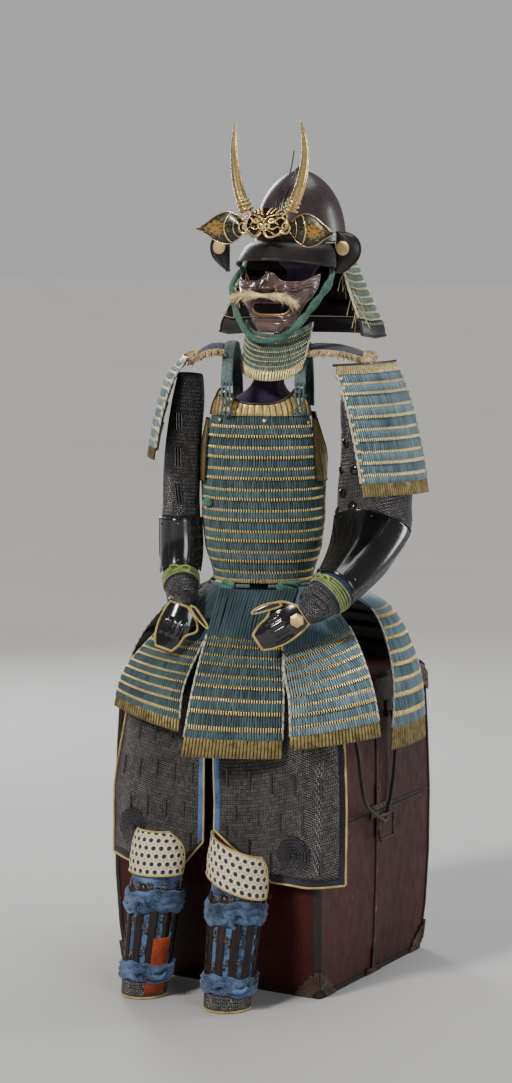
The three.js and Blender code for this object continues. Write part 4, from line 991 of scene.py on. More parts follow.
def gilt_paint(name, gold, dull, ground, rubbed=0.46, roughness=0.38, size=14.0, groove_shade=0.0, grain=0.35):
    """Leaf gilding over lacquer: warm, uneven, and rubbed through to the dark ground. On a ribbed
    plate, whose UV map counts its ribs across, painted shade darkens each groove between ribs, as wide
    as the argument after size says, and each rib is painted lighter towards one side, a painted highlight."""
    made, tree, shader = paint(name, roughness=roughness, metallic=0.75)
    worn = use(tree, age, {"Vector": node(tree, "ShaderNodeTexCoord").outputs["Object"], "Size": size})
    shade = node(tree, "ShaderNodeAttribute", attribute_name="shade")
    total = node(tree, "ShaderNodeMath",
                 {0: shade.outputs["Fac"], 1: 0.14,
                  2: node(tree, "ShaderNodeMath", {0: worn.outputs["Fine"], 1: 0.86},
                          operation="MULTIPLY").outputs[0]}, operation="MULTIPLY_ADD")
    colour = ramp(tree, total.outputs[0],
                  [(rubbed - 0.14, ground), (rubbed - 0.03, dull), (rubbed + 0.13, gold)])
    if groove_shade:
        cut = node(tree, "ShaderNodeSeparateXYZ",
                   {"Vector": node(tree, "ShaderNodeTexCoord").outputs["UV"]})
        rib = node(tree, "ShaderNodeMath", {0: cut.outputs["X"]}, operation="FRACT")
        # Painted shade at each groove between ribs, and a painted highlight just past it on one side of the rib.
        line = ramp(tree, rib.outputs[0], [(0, (0.03,) * 3), (groove_shade, (0.55,) * 3), (groove_shade + 0.16, (1,) * 3),
                                           (0.9 - groove_shade, (0.85,) * 3), (1, (0.03,) * 3)])
        colour = node(tree, "ShaderNodeMixRGB", {"Fac": 1.0, "Color1": colour, "Color2": line},
                      blend_type="MULTIPLY").outputs[0]
    tree.links.new(colour, shader.inputs["Base Color"])
    rough = node(tree, "ShaderNodeMapRange",
                 {"Value": worn.outputs["Fine"], "From Min": 0.3, "From Max": 0.7,
                  "To Min": roughness + 0.22, "To Max": roughness - 0.05})
    tree.links.new(rough.outputs["Result"], shader.inputs["Roughness"])
    bump(tree, shader, worn.outputs["Fine"], 0.0004, grain)
    return made


head_gilt = gilt_paint("scale head gilding", (0.84, 0.64, 0.25), (0.56, 0.39, 0.14), (0.13, 0.06, 0.03),
                       rubbed=0.38, roughness=0.34)
old_gilt = gilt_paint("ribbed old gilding", (0.30, 0.235, 0.095), (0.175, 0.132, 0.052),
                      (0.085, 0.055, 0.025), rubbed=0.38, roughness=0.45, size=5.0, groove_shade=0.13)
scale_ground = gilt_paint("scale lacquer", (0.05, 0.03, 0.016), (0.024, 0.014, 0.009),
                          (0.010, 0.006, 0.005), rubbed=0.60, roughness=0.5)
pale_gilt = gilt_paint("pale gilding", (0.84, 0.71, 0.36), (0.58, 0.44, 0.19), (0.15, 0.08, 0.04),
                       rubbed=0.38, roughness=0.36)
pale_ribs = gilt_paint("ribbed pale gilding", (0.72, 0.60, 0.31), (0.48, 0.38, 0.17), (0.16, 0.09, 0.05),
                       rubbed=0.36, roughness=0.42, size=6.0, groove_shade=0.13)


def arched(name, rows, columns, crown, ends):
    """A unit braid or scale head: one wide, one long, arched across and dipping at its ends."""
    points, uv = [], []
    for j in range(rows + 1):
        v = j / rows
        dip = 1 - (2 * v - 1) ** 6
        for i in range(columns + 1):
            x = i / columns - 0.5
            arch = 1 - (2 * x) ** 2
            points.append((x, 0.5 - v, crown * arch * (ends + (1 - ends) * dip) - 0.35 * crown))
            uv.append((i / columns, v))
    faces = [(j * (columns + 1) + i, (j + 1) * (columns + 1) + i, (j + 1) * (columns + 1) + i + 1,
              j * (columns + 1) + i + 1)
             for j in range(rows) for i in range(columns)]
    return mesh_piece(name, points, faces, uv=uv)


braid_shape = arched("braid", 3, 4, 1.0, 0.35)
head_shape = arched("scale head", 2, 3, 1.0, 0.55)
PITCH = 0.0051                     # from one scale to the next
BANDS = (("tall", 0.42), ("heads", 0.125), ("short", 0.32), ("heads", 0.135))


def even_rows(count, start=0.0, end=1.0):
    edges = np.linspace(start, end, count + 1)
    return [(a, b, BANDS) for a, b in zip(edges[:-1], edges[1:])]


def lacing(name, surface, rows, step, braid, heads, replaced, slot_name, pitch=PITCH, seed=1, tone=0.0,
           inside=None,
           base_columns=40):
    """A laced sheet: its stepped ground of scales, the braids and the gilt heads on it.
    `surface(u, s, out)` gives its outer face for u from -1 to 1 across and s from 0 to 1 down."""
    laid = {"braid": [], "head": []}
    base = []
    for a, b, bands in rows:
        at = a
        total = sum(f for _, f in bands)
        for s in np.linspace(a, b, 5):
            base.append(surface(np.linspace(-1, 1, base_columns),
                                np.full(base_columns, np.clip(s, a + 1e-4, b - 1e-4)),
                                step * (s - a) / (b - a) - 0.0006))
        for kind, share in bands:
            low = at + (b - a) * share / total
            middle = (at + low) / 2
            line = np.linspace(-1, 1, 121)
            width = np.linalg.norm(np.diff(surface(line, np.full(121, middle), 0.0), axis=0), axis=1)
            width = np.concatenate([[0], np.cumsum(width)])
            count = max(4, int(round(width[-1] / pitch)))
            seams = np.interp(np.arange(2 * count + 1) / (2 * count) * width[-1], width, line)
            u = seams[1::2]
            out = step * (middle - a) / (b - a)
            centre = surface(u, np.full(count, middle), out)
            beside = surface(seams[2::2], np.full(count, middle), out) - surface(seams[:-1:2],
                np.full(count, middle), out)
            above = surface(u, np.full(count, at), step * (at - a) / (b - a)) - surface(u,
                np.full(count, low), step * (low - a) / (b - a))
            tall = np.linalg.norm(above, axis=1)
            across_pitch = np.linalg.norm(beside, axis=1)
            flip = -1 if inside is not None and (np.cross(beside, above)
                * (centre - np.asarray(inside))).sum() < 0 else 1
            turn = turns(beside * flip, above)
            if kind == "heads":
                size = np.stack([across_pitch * 0.52, tall * 1.04, np.full(count, 0.0021)], -1)
                laid["head"].append((centre, turn, size, np.zeros(count)))
            else:
                size = np.stack([across_pitch * 0.90, tall * 1.06,
                                 np.full(count, 0.0030 if kind == "tall" else 0.0026)], -1)
                laid["braid"].append((centre, turn, size,
                                      np.full(count, tone + (0.0 if kind == "tall" else 0.10))))
            at = low
    made = []
    wall = wall_piece(f"{name}_scales", base, 0.002, inside, scale_ground)
    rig.replaces(wall, *replaced)
    made.append(wall)
    for key, shape, material, wobble in (("braid", braid_shape, braid, 0.05),
                                         ("head", head_shape, heads, 0.03)):
        parts = laid[key]
        if not parts:
            continue
        made.append(lay(f"{name}_{key}s", np.vstack([p[0] for p in parts]),
                        np.vstack([p[1] for p in parts]),
                        np.vstack([p[2] for p in parts]), shape, material, wobble, seed,
                        np.concatenate([p[3] for p in parts])))
    for piece, own in zip(made, (slot_name, slot_name, "gilt")):
        dress(piece, own)
    return made


def cuirass_surface(facing_angle, top):
    def surface(u, s, out):
        z = top + (0.779 - top) * np.asarray(s)
        return in_torso(torso_point(facing_angle + np.asarray(u) * column(CUIRASS, z, 3), z, out))
    return surface


lacing("cuirass_front_lacing", cuirass_surface(0, 1.104), even_rows(8), 0.003, teal_braid, head_gilt,
       ["cuirass_front"], "blue_lacing", seed=3, inside=(0, -0.045, 0.95), base_columns=60)
lacing("cuirass_back_lacing", cuirass_surface(180, 1.104), even_rows(8), 0.003, teal_braid, head_gilt,
       ["cuirass_back"], "blue_lacing", seed=4, inside=(0, -0.045, 0.95), base_columns=60)

# The speckled edge cords that close each side of the laced sheets.
edge_cord, tree, shader = paint("speckled edge cord", roughness=0.8, specular=0.2, sheen=0.2)
cut = node(tree, "ShaderNodeSeparateXYZ", {"Vector": node(tree, "ShaderNodeTexCoord").outputs["UV"]})
turned = node(tree, "ShaderNodeMath",
              {0: cut.outputs["X"], 1: 1.0, 2: node(tree, "ShaderNodeMath", {0: cut.outputs["Y"], 1: 62.0},
                  operation="MULTIPLY").outputs[0]}, operation="MULTIPLY_ADD")
part = node(tree, "ShaderNodeMath", {0: turned.outputs[0]}, operation="FRACT")
tree.links.new(ramp(tree, part.outputs[0],
                    [(0.0, (0.55, 0.48, 0.33)), (0.45, (0.62, 0.55, 0.40)), (0.52, (0.03, 0.05, 0.09)),
                     (0.70, (0.16, 0.26, 0.33)), (0.80, (0.50, 0.44, 0.31))]), shader.inputs["Base Color"])


def edge_cords(name, surface, s_from=0.0, s_to=1.0, out=0.002, radius=0.0026):
    for u in (-1, 1):
        s = np.linspace(s_from, s_to, 60)
        line = [surface(np.array([u * 0.995]), np.array([v]), out)[0] for v in s]
        piece = sweep(f"{name}_{'left' if u > 0 else 'right'}", line, radius, edge_cord, 8,
                      strands(2, 0.012, 0.3))
        dress(piece, "blue_lacing")


edge_cords("cuirass_front_edge", cuirass_surface(0, 1.104))
edge_cords("cuirass_back_edge", cuirass_surface(180, 1.104))


# A last row of heads over the waist cord, the cord's knots, a tie at the edge and three gilt studs.
spread = np.linspace(-86, 86, 66)
at, beside, below = (in_torso(torso_point(spread + more, z, 0.0055)) for more,
                     z in ((0, 0.7835), (0.5, 0.7835), (0, 0.7795)))
waist_heads = lay("waist_heads", at, turns(beside - at, at - below), (0.0031, 0.0078, 0.0022), head_shape,
                  pale_gilt, 0.03, 9)
around = np.linspace(0, 2 * np.pi, 9)
tied = []
for middle, reach, height, stand in ((-33, 9, 0.7755, 0.0165), (30, 13, 0.7755, 0.0165),
                                     (-53, 6, 0.937, 0.0085)):
    for turned, swell in ((0.4, 1.0), (-0.5, 0.8), (1.1, 0.5)):
        tied.append(smooth_path(in_torso(torso_point(middle + reach * swell * np.cos(around),
            height + 0.0062 * np.sin(around + turned),
                                                     stand + 0.0030 * np.sin(2 * around + turned))), 40)[0])
waist_knots = run("waist_knots", tied, 0.0032, green_crepe, 8)
places = [(-39, 1.0965), (4, 1.0965), (51, 1.0915)]
studs = in_torso([torso_point(a, z, 0.0055) for a, z in places])
away = studs - in_torso([torso_point(a, z, -0.02) for a, z in places])
cuirass_studs = lay("cuirass_studs", studs, facing(away), (0.0085, 0.0085, 0.010), nail_head, pale_gilt)
for piece, own in ((waist_heads, "gilt"), (waist_knots, "green_cord"), (cuirass_studs, "gilt")):
    dress(piece, own)


def edge_knots(name, surface, u, levels):
    """Cream knots that bind a laced sheet's edge, one at each of `levels`."""
    at = np.array([surface(np.array([u]), np.array([s]), 0.003)[0] for s in levels])
    away = at - np.array([surface(np.array([u]), np.array([s]), -0.01)[0] for s in levels])
    beads = lay(name, at, facing(away), (0.0085, 0.0085, 0.010), nail_head, pale_gilt, 0.25, 12)
    dress(beads, "gilt")


edge_knots("cuirass_edge_knots", cuirass_surface(0, 1.104), 0.965, np.linspace(0.06, 0.36, 7))

# ---------- chest and armpit plates ----------
# Gilt plates with raised ribs over the breast and at the armpits, rimmed in dark lacquered copper.
# The chest plate is laced to the first row; the armpit plates hang on cords.
rim_lacquer = lacquer_paint("dark rim", (0.012, 0.008, 0.008), (0.035, 0.020, 0.018), (0.12, 0.07, 0.045),
                            roughness=0.35, size=30)


def ribbed(name, grid_of, across, down, pitch, rise, thickness, inside, material, columns_a_rib=6):
    """A plate with upright ribs: `grid_of(u, v, out)` for u from -1 to 1 and v from 0 to 1 down."""
    ribs = max(3, int(round(across / pitch)))
    u = np.linspace(-1, 1, ribs * columns_a_rib + 1)
    profile = rise * np.abs(np.sin(np.pi * (u + 1) / 2 * ribs)) ** 0.45
    levels = np.linspace(0, 1, down)
    rows = [grid_of(u, np.full(len(u), v), profile * min(1.0, 6 * v + 0.15, 6 * (1 - v) + 0.15))
            for v in levels]
    rib_count = [[((k + 1) * ribs / 2, v) for k in u] for v in levels]
    return crisp(wall_piece(name, rows, thickness, inside, material, uv=rib_count), 60)


def chest_surface(u, v, out):
    u, v = np.asarray(u, float), np.asarray(v, float)
    angle = u * (58 - 8 * (1 - v) ** 2)
    top = 1.128 + 0.028 * np.minimum(1, np.abs(u) / 0.74) ** 2.4 - 0.016 * np.maximum(0,
        (np.abs(u) - 0.84) / 0.16) ** 2
    z = top + (1.1052 - top) * v
    return in_torso(torso_point(angle, z, 0.002 + out))


chest_gilt = gilt_paint("chest plate gilding", (0.62, 0.47, 0.19), (0.42, 0.30, 0.11), (0.15, 0.09, 0.04),
                        rubbed=0.36, roughness=0.40, size=5.0, groove_shade=0.05)
ribs = ribbed("chest_plate_ribs", chest_surface, 0.20, 8, 0.0105, 0.0018, 0.0022, (0, -0.045, 1.12),
              chest_gilt, 8)
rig.replaces(ribs, "chest_plate")
neck_rim = run("chest_plate_rim", [chest_surface(np.linspace(-1, 1, 60), np.zeros(60), 0.0002),
                                   chest_surface(np.full(8, -1.0), np.linspace(0, 1, 8), 0.0002),
                                   chest_surface(np.full(8, 1.0), np.linspace(0, 1, 8), 0.0002)], 0.0030,
                                   rim_lacquer, 8)
for piece in (ribs, neck_rim):
    dress(piece, "old_gilt")

ARMPIT = [  # z, from, left, right
    (1.098, 57, 66, 63), (1.060, 57, 76, 70), (1.025, 57, 90, 76), (1.000, 58, 104, 80),
    (0.975, 60, 110, 82)]
for side, s, k in (("left", 1, 2), ("right", -1, 3)):
    def armpit_surface(u, v, out):
        z = 1.098 + (0.975 - 1.098) * v
        start, end = column(ARMPIT, z, 1), column(ARMPIT, z, k)
        return in_torso(torso_point(s * (start + (end - start) * (u + 1) / 2), z, 0.0065 + out))
    plate = ribbed(f"armpit_plate_{side}_ribs", armpit_surface, 0.045, 14, 0.012, 0.0008, 0.0022,
                   (0, -0.045, 1.04), chest_gilt, 8)
    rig.replaces(plate, f"armpit_plate_{side}")
    v = np.linspace(0, 1, 16)
    loop = np.vstack([armpit_surface(np.full(16, -1.0), v, 0.0003),
                      armpit_surface(np.linspace(-1, 1, 10), np.ones(10), 0.0003),
                      armpit_surface(np.full(16, 1.0), v[::-1], 0.0003),
                      armpit_surface(np.linspace(1, -1, 6), np.zeros(6), 0.0003)])
    rim = run(f"armpit_plate_{side}_rim", [loop], 0.0016, rim_lacquer, 6)
    for piece in (plate, rim):
        dress(piece, "old_gilt")

# ---------- shoulder straps ----------
# Padded straps covered in blue-green cloth, which button to the chest plate's cord loops with
# dark toggles.
strap_cloth = cloth_paint("strap cloth", (0.030, 0.052, 0.056), (0.17, 0.235, 0.225), threads=1500, size=16)
STRAP = [  # y, z
    (-0.097, 1.163), (-0.092, 1.185), (-0.07, 1.216), (-0.035, 1.238), (0.005, 1.243), (0.045, 1.232),
    (0.076, 1.2), (0.096, 1.15), (0.102, 1.112),
]
STRAP_MIDDLE = {"left": 0.080, "right": 0.062}
strap_line, _ = smooth_path([(0, y, z) for y, z in STRAP], 60)
toggle_wood = lacquer_paint("toggle horn", (0.010, 0.007, 0.006), (0.03, 0.018, 0.014), (0.15, 0.10, 0.06),
                            roughness=0.3, size=40)
for side, s in (("left", 1), ("right", -1)):
    middle = STRAP_MIDDLE[side]
    section = np.linspace(-1, 1, 13)
    grid = []
    grid = np.array([[(s * (middle + 0.011 * w), y, z) for w in section] for _, y, z in strap_line])
    normal = np.gradient(grid[:, 6], axis=0)
    normal = np.cross((s, 0, 0), normal)
    normal /= np.linalg.norm(normal, axis=1)[:, None]
    if normal[20][2] < 0:
        normal = -normal
    crown = 0.0022 * (1 - section ** 4)[None, :] - 0.0024 * np.exp(-(section / 0.09) ** 2)[None, :]
    crown = crown + 0.0006 * np.sin(np.arange(60)[:, None] * 0.8 + 4 * section[None, :])
    grid = in_torso(grid + normal[:, None, :] * crown[..., None])
    strap = wall_piece(f"strap_{side}", grid, 0.0045, in_torso(np.array((0, 0, 1.0))), strap_cloth)
    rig.replaces(strap, f"shoulder_strap_{side}")
    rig.slot(strap, "blue_cloth")
    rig.padded(strap, fill=0.5)
    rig.ride(strap, "root")
    # Toggle and its loops, and the cord that ties the strap down to the chest plate.
    x = s * middle
    turn = np.linspace(0, 2 * math.pi, 16, endpoint=False)
    length = np.linspace(-0.016, 0.016, 13)
    barrel = skin(f"toggle_{side}",
                  [in_torso(np.stack([np.full(16, x + q),
                                      -0.101 + 0.0052 * math.sqrt(max(0.05, 1 - (q / 0.0165) ** 2))
                                      * np.cos(turn),
                                    1.146 + 0.0052 * math.sqrt(max(0.05, 1 - (q / 0.0165) ** 2))
                                    * np.sin(turn)], -1)) for q in length], toggle_wood)
    loops = []
    for shift in (-0.006, 0.0, 0.006):
        loops.append(in_torso(smooth_path([(x + shift, -0.100, 1.170), (x + shift * 1.3, -0.108, 1.152),
                                           (x + shift * 1.2, -0.106, 1.138), (x + shift * 0.6, -0.096,
                                               1.124)], 18)[0]))
    for shift in (-0.004, 0.004):
        loops.append(in_torso(smooth_path([(x + shift, -0.099, 1.126), (x + shift * 2.2, -0.100, 1.118),
                                           (x + shift * 0.8, -0.099, 1.108)], 12)[0]))
    knot = run(f"strap_loops_{side}", loops, 0.0021, blue_silk_cord, 8)
    patch = wall_piece(f"strap_foot_{side}",
                       in_torso([[(x + w, -0.0955 + 0.002 * (1 - abs(w) / 0.013), z)
                                  for w in np.linspace(-0.013, 0.013, 7)] for z in (1.1135, 1.1075)]),
                                  0.002, in_torso(np.array((x, 0, 1.11))), blue_silk_cord)
    for piece, own in ((barrel, "black_lacquer"), (knot, "blue_cloth"), (patch, "blue_cloth")):
        dress(piece, own)

# ---------- shoulder wings ----------
# Padded wings of indigo cloth sewn with small hexagon plates, edged in frayed cream cord, that
# carry the shoulder guards' toggles.
indigo_cloth = cloth_paint("indigo cloth", (0.006, 0.010, 0.026), (0.028, 0.042, 0.080), threads=1500,
                           size=14)
cream_fringe = cloth_paint("cream fringe", (0.36, 0.23, 0.09), (0.82, 0.66, 0.36), threads=2600, size=40,
                           on_cut=False)
WING_REACH = {"left": 0.200, "right": 0.128}
WING = [(0, 1.240, -0.062, 0.050), (0.33, 1.241, -0.066, 0.054), (0.67, 1.236, -0.066, 0.054),
        (1, 1.224, -0.058, 0.048)]  # u, z, from, to
for side, s in (("left", 1), ("right", -1)):
    rows = []
    for u, z, low, high in finer(WING, 22):
        y = np.linspace(low, high, 25)
        fall = 0.005 * np.abs(np.linspace(-2, 2, 25)) ** 1.5
        x = s * (STRAP_MIDDLE[side] + 0.013 + (WING_REACH[side] - STRAP_MIDDLE[side] - 0.013) * u)
        quilt = 0.0010 * np.abs(np.sin(y * 210)) * abs(math.sin(u * 9.5)) ** 0.5
        rows.append(np.stack([np.full(25, x), y, z - fall + quilt], -1))
    wing = wall_piece(f"wing_{side}", in_torso(rows), 0.005, in_torso(np.array((0, 0, 1.0))), indigo_cloth)
    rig.replaces(wing, f"shoulder_wing_{side}")
    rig.slot(wing, "indigo_cloth")
    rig.padded(wing, fill=0.4)
    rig.ride(wing, "root")
    rows = np.array(rows)
    rng = np.random.default_rng(31 if s > 0 else 32)
    hairs = []
    edge = np.vstack([rows[:, 0], rows[-1], rows[::-1, -1]])
    edge, _ = smooth_path(edge, 260)
    middle = rows.reshape(-1, 3).mean(0)
    for p in edge:
        away = p - middle
        away[2] = 0
        away /= np.linalg.norm(away)
        for _ in range(3):
            lean = rng.normal(0, 0.55, 3)
            hair = 0.010 + 0.011 * rng.random()
            hairs.append(in_torso([p + (away * t + lean * t * 0.3) * hair
                                   + np.array((0, 0, 0.003 * math.sin(3 * t) - 0.006 * t * t))
                                   for t in (0, 0.5, 1)]))
    fringe = run(f"wing_fringe_{side}", hairs, 0.0012, cream_fringe, 3)
    braid_edge = sweep(f"wing_edge_{side}", in_torso(edge), 0.0048, cream_fringe, 10,
                       strands(2, 0.011, 0.45))
    for piece in (fringe, braid_edge):
        dress(piece, "hair")

# ---------- skirt ----------
# Seven laced panels hung from the cuirass by long loose lacing; each ends in a tall ribbed foot
# plate in dull gold.
TASSETS = {
    "tasset_front": [
        (0.038, -0.134, 0.766, 0.076, 24, 0.024, 0), (0.054, -0.21, 0.688, 0.074, 24, 0.012, -3),
        (0.082, -0.284, 0.593, 0.088, 22, 0.012, -2), (0.081, -0.308, 0.474, 0.097, 22, 0.012, 0),
    ],
    "tasset_front_left": [
        (0.113, -0.06, 0.767, 0.034, 80, 0.006, 0), (0.182, -0.16, 0.686, 0.068, 52, 0.01, 18),
        (0.246, -0.222, 0.6, 0.082, 48, 0.014, 10), (0.268, -0.24, 0.508, 0.09, 46, 0.014, 5),
    ],
    "tasset_front_right": [
        (-0.055, -0.128, 0.766, 0.042, -24, 0.008, 0), (-0.093, -0.204, 0.678, 0.064, -14, 0.01, -3),
        (-0.122, -0.256, 0.6, 0.08, -12, 0.012, -6), (-0.125, -0.28, 0.524, 0.088, -12, 0.012, -10),
    ],
    "tasset_side_left": [
        (0.094, 0.014, 0.768, 0.028, 118, 0.006, 0), (0.205, 0.048, 0.728, 0.046, 100, 0.008, 0),
        (0.272, 0.036, 0.61, 0.064, 94, 0.01, 0), (0.292, 0.01, 0.468, 0.08, 92, 0.01, 0),
    ],
    "tasset_side_right": [
        (-0.098, -0.076, 0.768, 0.034, -66, 0.008, 0), (-0.2, -0.072, 0.712, 0.046, -76, 0.008, 0),
        (-0.266, -0.058, 0.61, 0.062, -86, 0.01, 0), (-0.284, -0.05, 0.478, 0.076, -88, 0.01, 0),
    ],
    "tasset_back_left": [
        (0.034, 0.044, 0.768, 0.032, 172, 0.006, 0), (0.084, 0.14, 0.712, 0.058, 166, 0.008, 0),
        (0.104, 0.24, 0.61, 0.078, 172, 0.01, 0), (0.106, 0.268, 0.478, 0.086, 176, 0.01, 0),
    ],
    "tasset_back_right": [
        (-0.072, 0.004, 0.768, 0.04, -142, 0.008, 0), (-0.104, 0.126, 0.712, 0.058, -160, 0.008, 0),
        (-0.1, 0.24, 0.61, 0.078, -174, 0.01, 0), (-0.1, 0.268, 0.478, 0.086, -178, 0.01, 0),
    ],
}
SKIRT_BANDS = [(0.0, 0.10, (("heads", 0.3), ("short", 0.42), ("heads", 0.28)))] + [
    (a, b, BANDS) for a, b in ((0.10, 0.267), (0.267, 0.455), (0.455, 0.65))] + [
    (0.65, 0.817, (("tall", 0.48), ("heads", 0.18), ("short", 0.34)))]
FOOT_PLATE = 0.819


def hanging_surface(sections):
    """The outer face of a panel that hangs through `sections`; t runs from 0 to 3 down."""
    def surface(u, t, out):
        u, t = np.broadcast_arrays(np.asarray(u, float), np.asarray(t, float))
        row = np.array(finer_at(sections, t))
        x, y, z, half, face, bow, tilt = row
        face, tilt = np.radians(face), np.radians(tilt)
        bulge, across = bow * (1 - u * u) + out, half * u
        return np.stack([x + across * np.cos(face) + bulge * np.sin(face),
                         y + across * np.sin(face) - bulge * np.cos(face),
                         z + across * np.tan(tilt)], -1)
    return surface


def finer_at(table, t):
    """The columns of a table at `t` rows down, on smooth curves."""
    table = np.asarray(table, float)
    i = np.clip(np.floor(t).astype(int), 0, len(table) - 2)
    f = (t - i)[:, None]
    row = lambda k: table[np.clip(k, 0, len(table) - 1)]
    p0, p1, p2, p3 = row(i - 1), row(i), row(i + 1), row(i + 2)
    return (0.5 * (2 * p1 + (p2 - p0) * f + (2 * p0 - 5 * p1 + 4 * p2 - p3) * f ** 2
                   + (3 * p1 - p0 - 3 * p2 + p3) * f ** 3)).T


for number, (name, sections) in enumerate(TASSETS.items()):
    hang = hanging_surface(sections)
    rows_of_scales = lambda u, s, out, hang=hang: hang(u, 1 + 2 * np.asarray(s), out)
    braid = pale_braid if "side" in name or name.endswith("front_left") else teal_braid
    own = "pale_blue_lacing" if "side" in name else "blue_lacing"
    middle_x, middle_y, _, _, facing_turn, _, _ = sections[2]
    inside = (middle_x - 0.2 * math.sin(math.radians(facing_turn)),
              middle_y + 0.2 * math.cos(math.radians(facing_turn)), 0.56)
    pitch = 0.0049
    lacing(f"{name}_lacing", rows_of_scales, SKIRT_BANDS, 0.003, braid, head_gilt, [name], own, pitch,
           seed=20 + number, inside=inside,
           tone=0.05 if "front_left" in name else 0.0)
    foot = ribbed(f"{name}_foot", lambda u, v, out,
                  hang=hang: hang(u, 1 + 2 * (FOOT_PLATE + (1 - FOOT_PLATE) * v), out + 0.0015),
                  2 * sections[3][3], 7,
                  0.0066, 0.0016, 0.0024, inside, old_gilt)
    dress(foot, "old_gilt")
    # Long loose lacing from the waist to the first row.
    count = int(round(2 * sections[1][3] / 0.0058))
    rng = np.random.default_rng(50 + number)
    lines = []
    for u in (np.arange(count) + 0.5) / count * 2 - 1:
        t = np.linspace(-0.16, 1.04, 12)
        drift = 0.012 * rng.normal() * np.sin(np.pi * t)
        line = hang(np.clip(u + drift, -0.99, 0.99), t, 0.0)
        lines.append(line)
    loose_lacing = run(f"{name}_long_lacing", lines,
                       np.array([0.0027 + 0.0004 * rng.random() for _ in lines])[:, None] * np.ones(12),
                       braid, 6)
    dress(loose_lacing, own)
    edge_cords(f"{name}_edge", rows_of_scales, 0.0, FOOT_PLATE, 0.0015, 0.0022)

# ---------- shoulder guards ----------
# Six laced rows under a ribbed gilt crown plate with a lacquered rim, and a ribbed foot plate.
SHOULDER_GUARDS = {
    "shoulder_guard_left": [
        (0.206, -0.014, 1.206, 0.098, 80, 0.016, 0), (0.24, -0.02, 1.126, 0.102, 80, 0.018, 0),
        (0.264, -0.024, 1.04, 0.104, 80, 0.018, -1), (0.284, -0.032, 0.958, 0.105, 80, 0.018, -2),
    ],
    "shoulder_guard_right": [
        (-0.121, -0.122, 1.216, 0.092, -60, 0.012, 0), (-0.147, -0.138, 1.172, 0.098, -60, 0.016, 0),
        (-0.166, -0.149, 1.098, 0.102, -60, 0.016, 0), (-0.178, -0.156, 1.022, 0.104, -60, 0.016, 0),
    ],
}
GUARD_BANDS = [(a, b, BANDS) for a,
               b in ((0.10, 0.243), (0.243, 0.414), (0.414, 0.579), (0.579, 0.746))] + [
    (0.746, 0.871, (("tall", 0.48), ("heads", 0.18), ("short", 0.34)))]
GUARD_CROWN, GUARD_FOOT = 0.098, 0.873
for number, (name, sections) in enumerate(SHOULDER_GUARDS.items()):
    hang = hanging_surface(sections)
    whole = lambda u, s, out, hang=hang: hang(u, 3 * np.asarray(s), out)
    inside = (sections[0][0] - 0.2 * math.sin(math.radians(sections[0][4])),
              sections[0][1] + 0.2 * math.cos(math.radians(sections[0][4])), 1.08)
    lacing(f"{name}_lacing", whole, GUARD_BANDS, 0.003, pale_braid, pale_gilt, [name], "pale_blue_lacing",
           seed=40 + number, inside=inside, tone=0.08)
    crown = ribbed(f"{name}_crown", lambda u, v, out,
                   whole=whole: whole(u * (0.93 + 0.07 * v), GUARD_CROWN * v, out + 0.001), 0.2, 6, 0.0056,
                   0.0013, 0.0024, inside, pale_ribs, 6)
    foot = ribbed(f"{name}_foot", lambda u, v, out,
                  whole=whole: whole(u, GUARD_FOOT + (1 - GUARD_FOOT) * v, out + 0.0015), 0.21, 7, 0.0060,
                  0.0014, 0.0024, inside, old_gilt)
    rim = run(f"{name}_rim", [whole(np.linspace(-1, 1, 40), np.zeros(40), 0.0005)], 0.0026, rim_lacquer, 8)
    for piece in (crown, foot, rim):
        dress(piece, "old_gilt")
    edge_cords(f"{name}_edge", whole, GUARD_CROWN, GUARD_FOOT, 0.002, 0.0028)
    edge_knots(f"{name}_edge_knots", whole, -0.955, np.linspace(0.13, 0.85, 12))

# ---------- helmet ----------
# A smooth iron bowl of riveted plates under russet lacquer, with a turned visor, two turnbacks
# and a neck guard of five laced rows that ends in a black foot plate.
russet = lacquer_paint("russet lacquer", (0.026, 0.017, 0.019), (0.066, 0.043, 0.045), (0.13, 0.085, 0.07),
                       roughness=0.32, size=9, chips=0.46, coat=0.15)
visor_lacquer = lacquer_paint("visor lacquer", (0.008, 0.006, 0.006), (0.024, 0.017, 0.016),
                              (0.10, 0.065, 0.05), roughness=0.36, size=16, chips=0.42, specular=0.4,
                              coat=0.0)
gloss_black = lacquer_paint("gloss black lacquer", (0.004, 0.004, 0.005), (0.010, 0.009, 0.010),
                            (0.10, 0.07, 0.05), roughness=0.13, size=20, chips=0.47, coat=0.8)
BOWL = [  # z, wide, deep
    (1.436, 0.085, 0.101), (1.462, 0.084, 0.099), (1.49, 0.079, 0.093), (1.516, 0.07, 0.083),
    (1.54, 0.056, 0.066), (1.558, 0.039, 0.046), (1.57, 0.021, 0.025), (1.575, 0.006, 0.007),
]


def in_helm(points):
    return np.asarray(points, float) + np.array(HELM)


bowl_turn = np.linspace(0, 360, 81)[:-1]


def bowl_point(angle, row, out=0.0):
    z, wide, deep = finer_at(BOWL, np.atleast_1d(np.asarray(row, float)))
    a = np.radians(angle)
    return in_helm(np.stack(np.broadcast_arrays((wide + out) * np.sin(a), -(deep + out) * np.cos(a),
        z + 0.4 * out), -1))


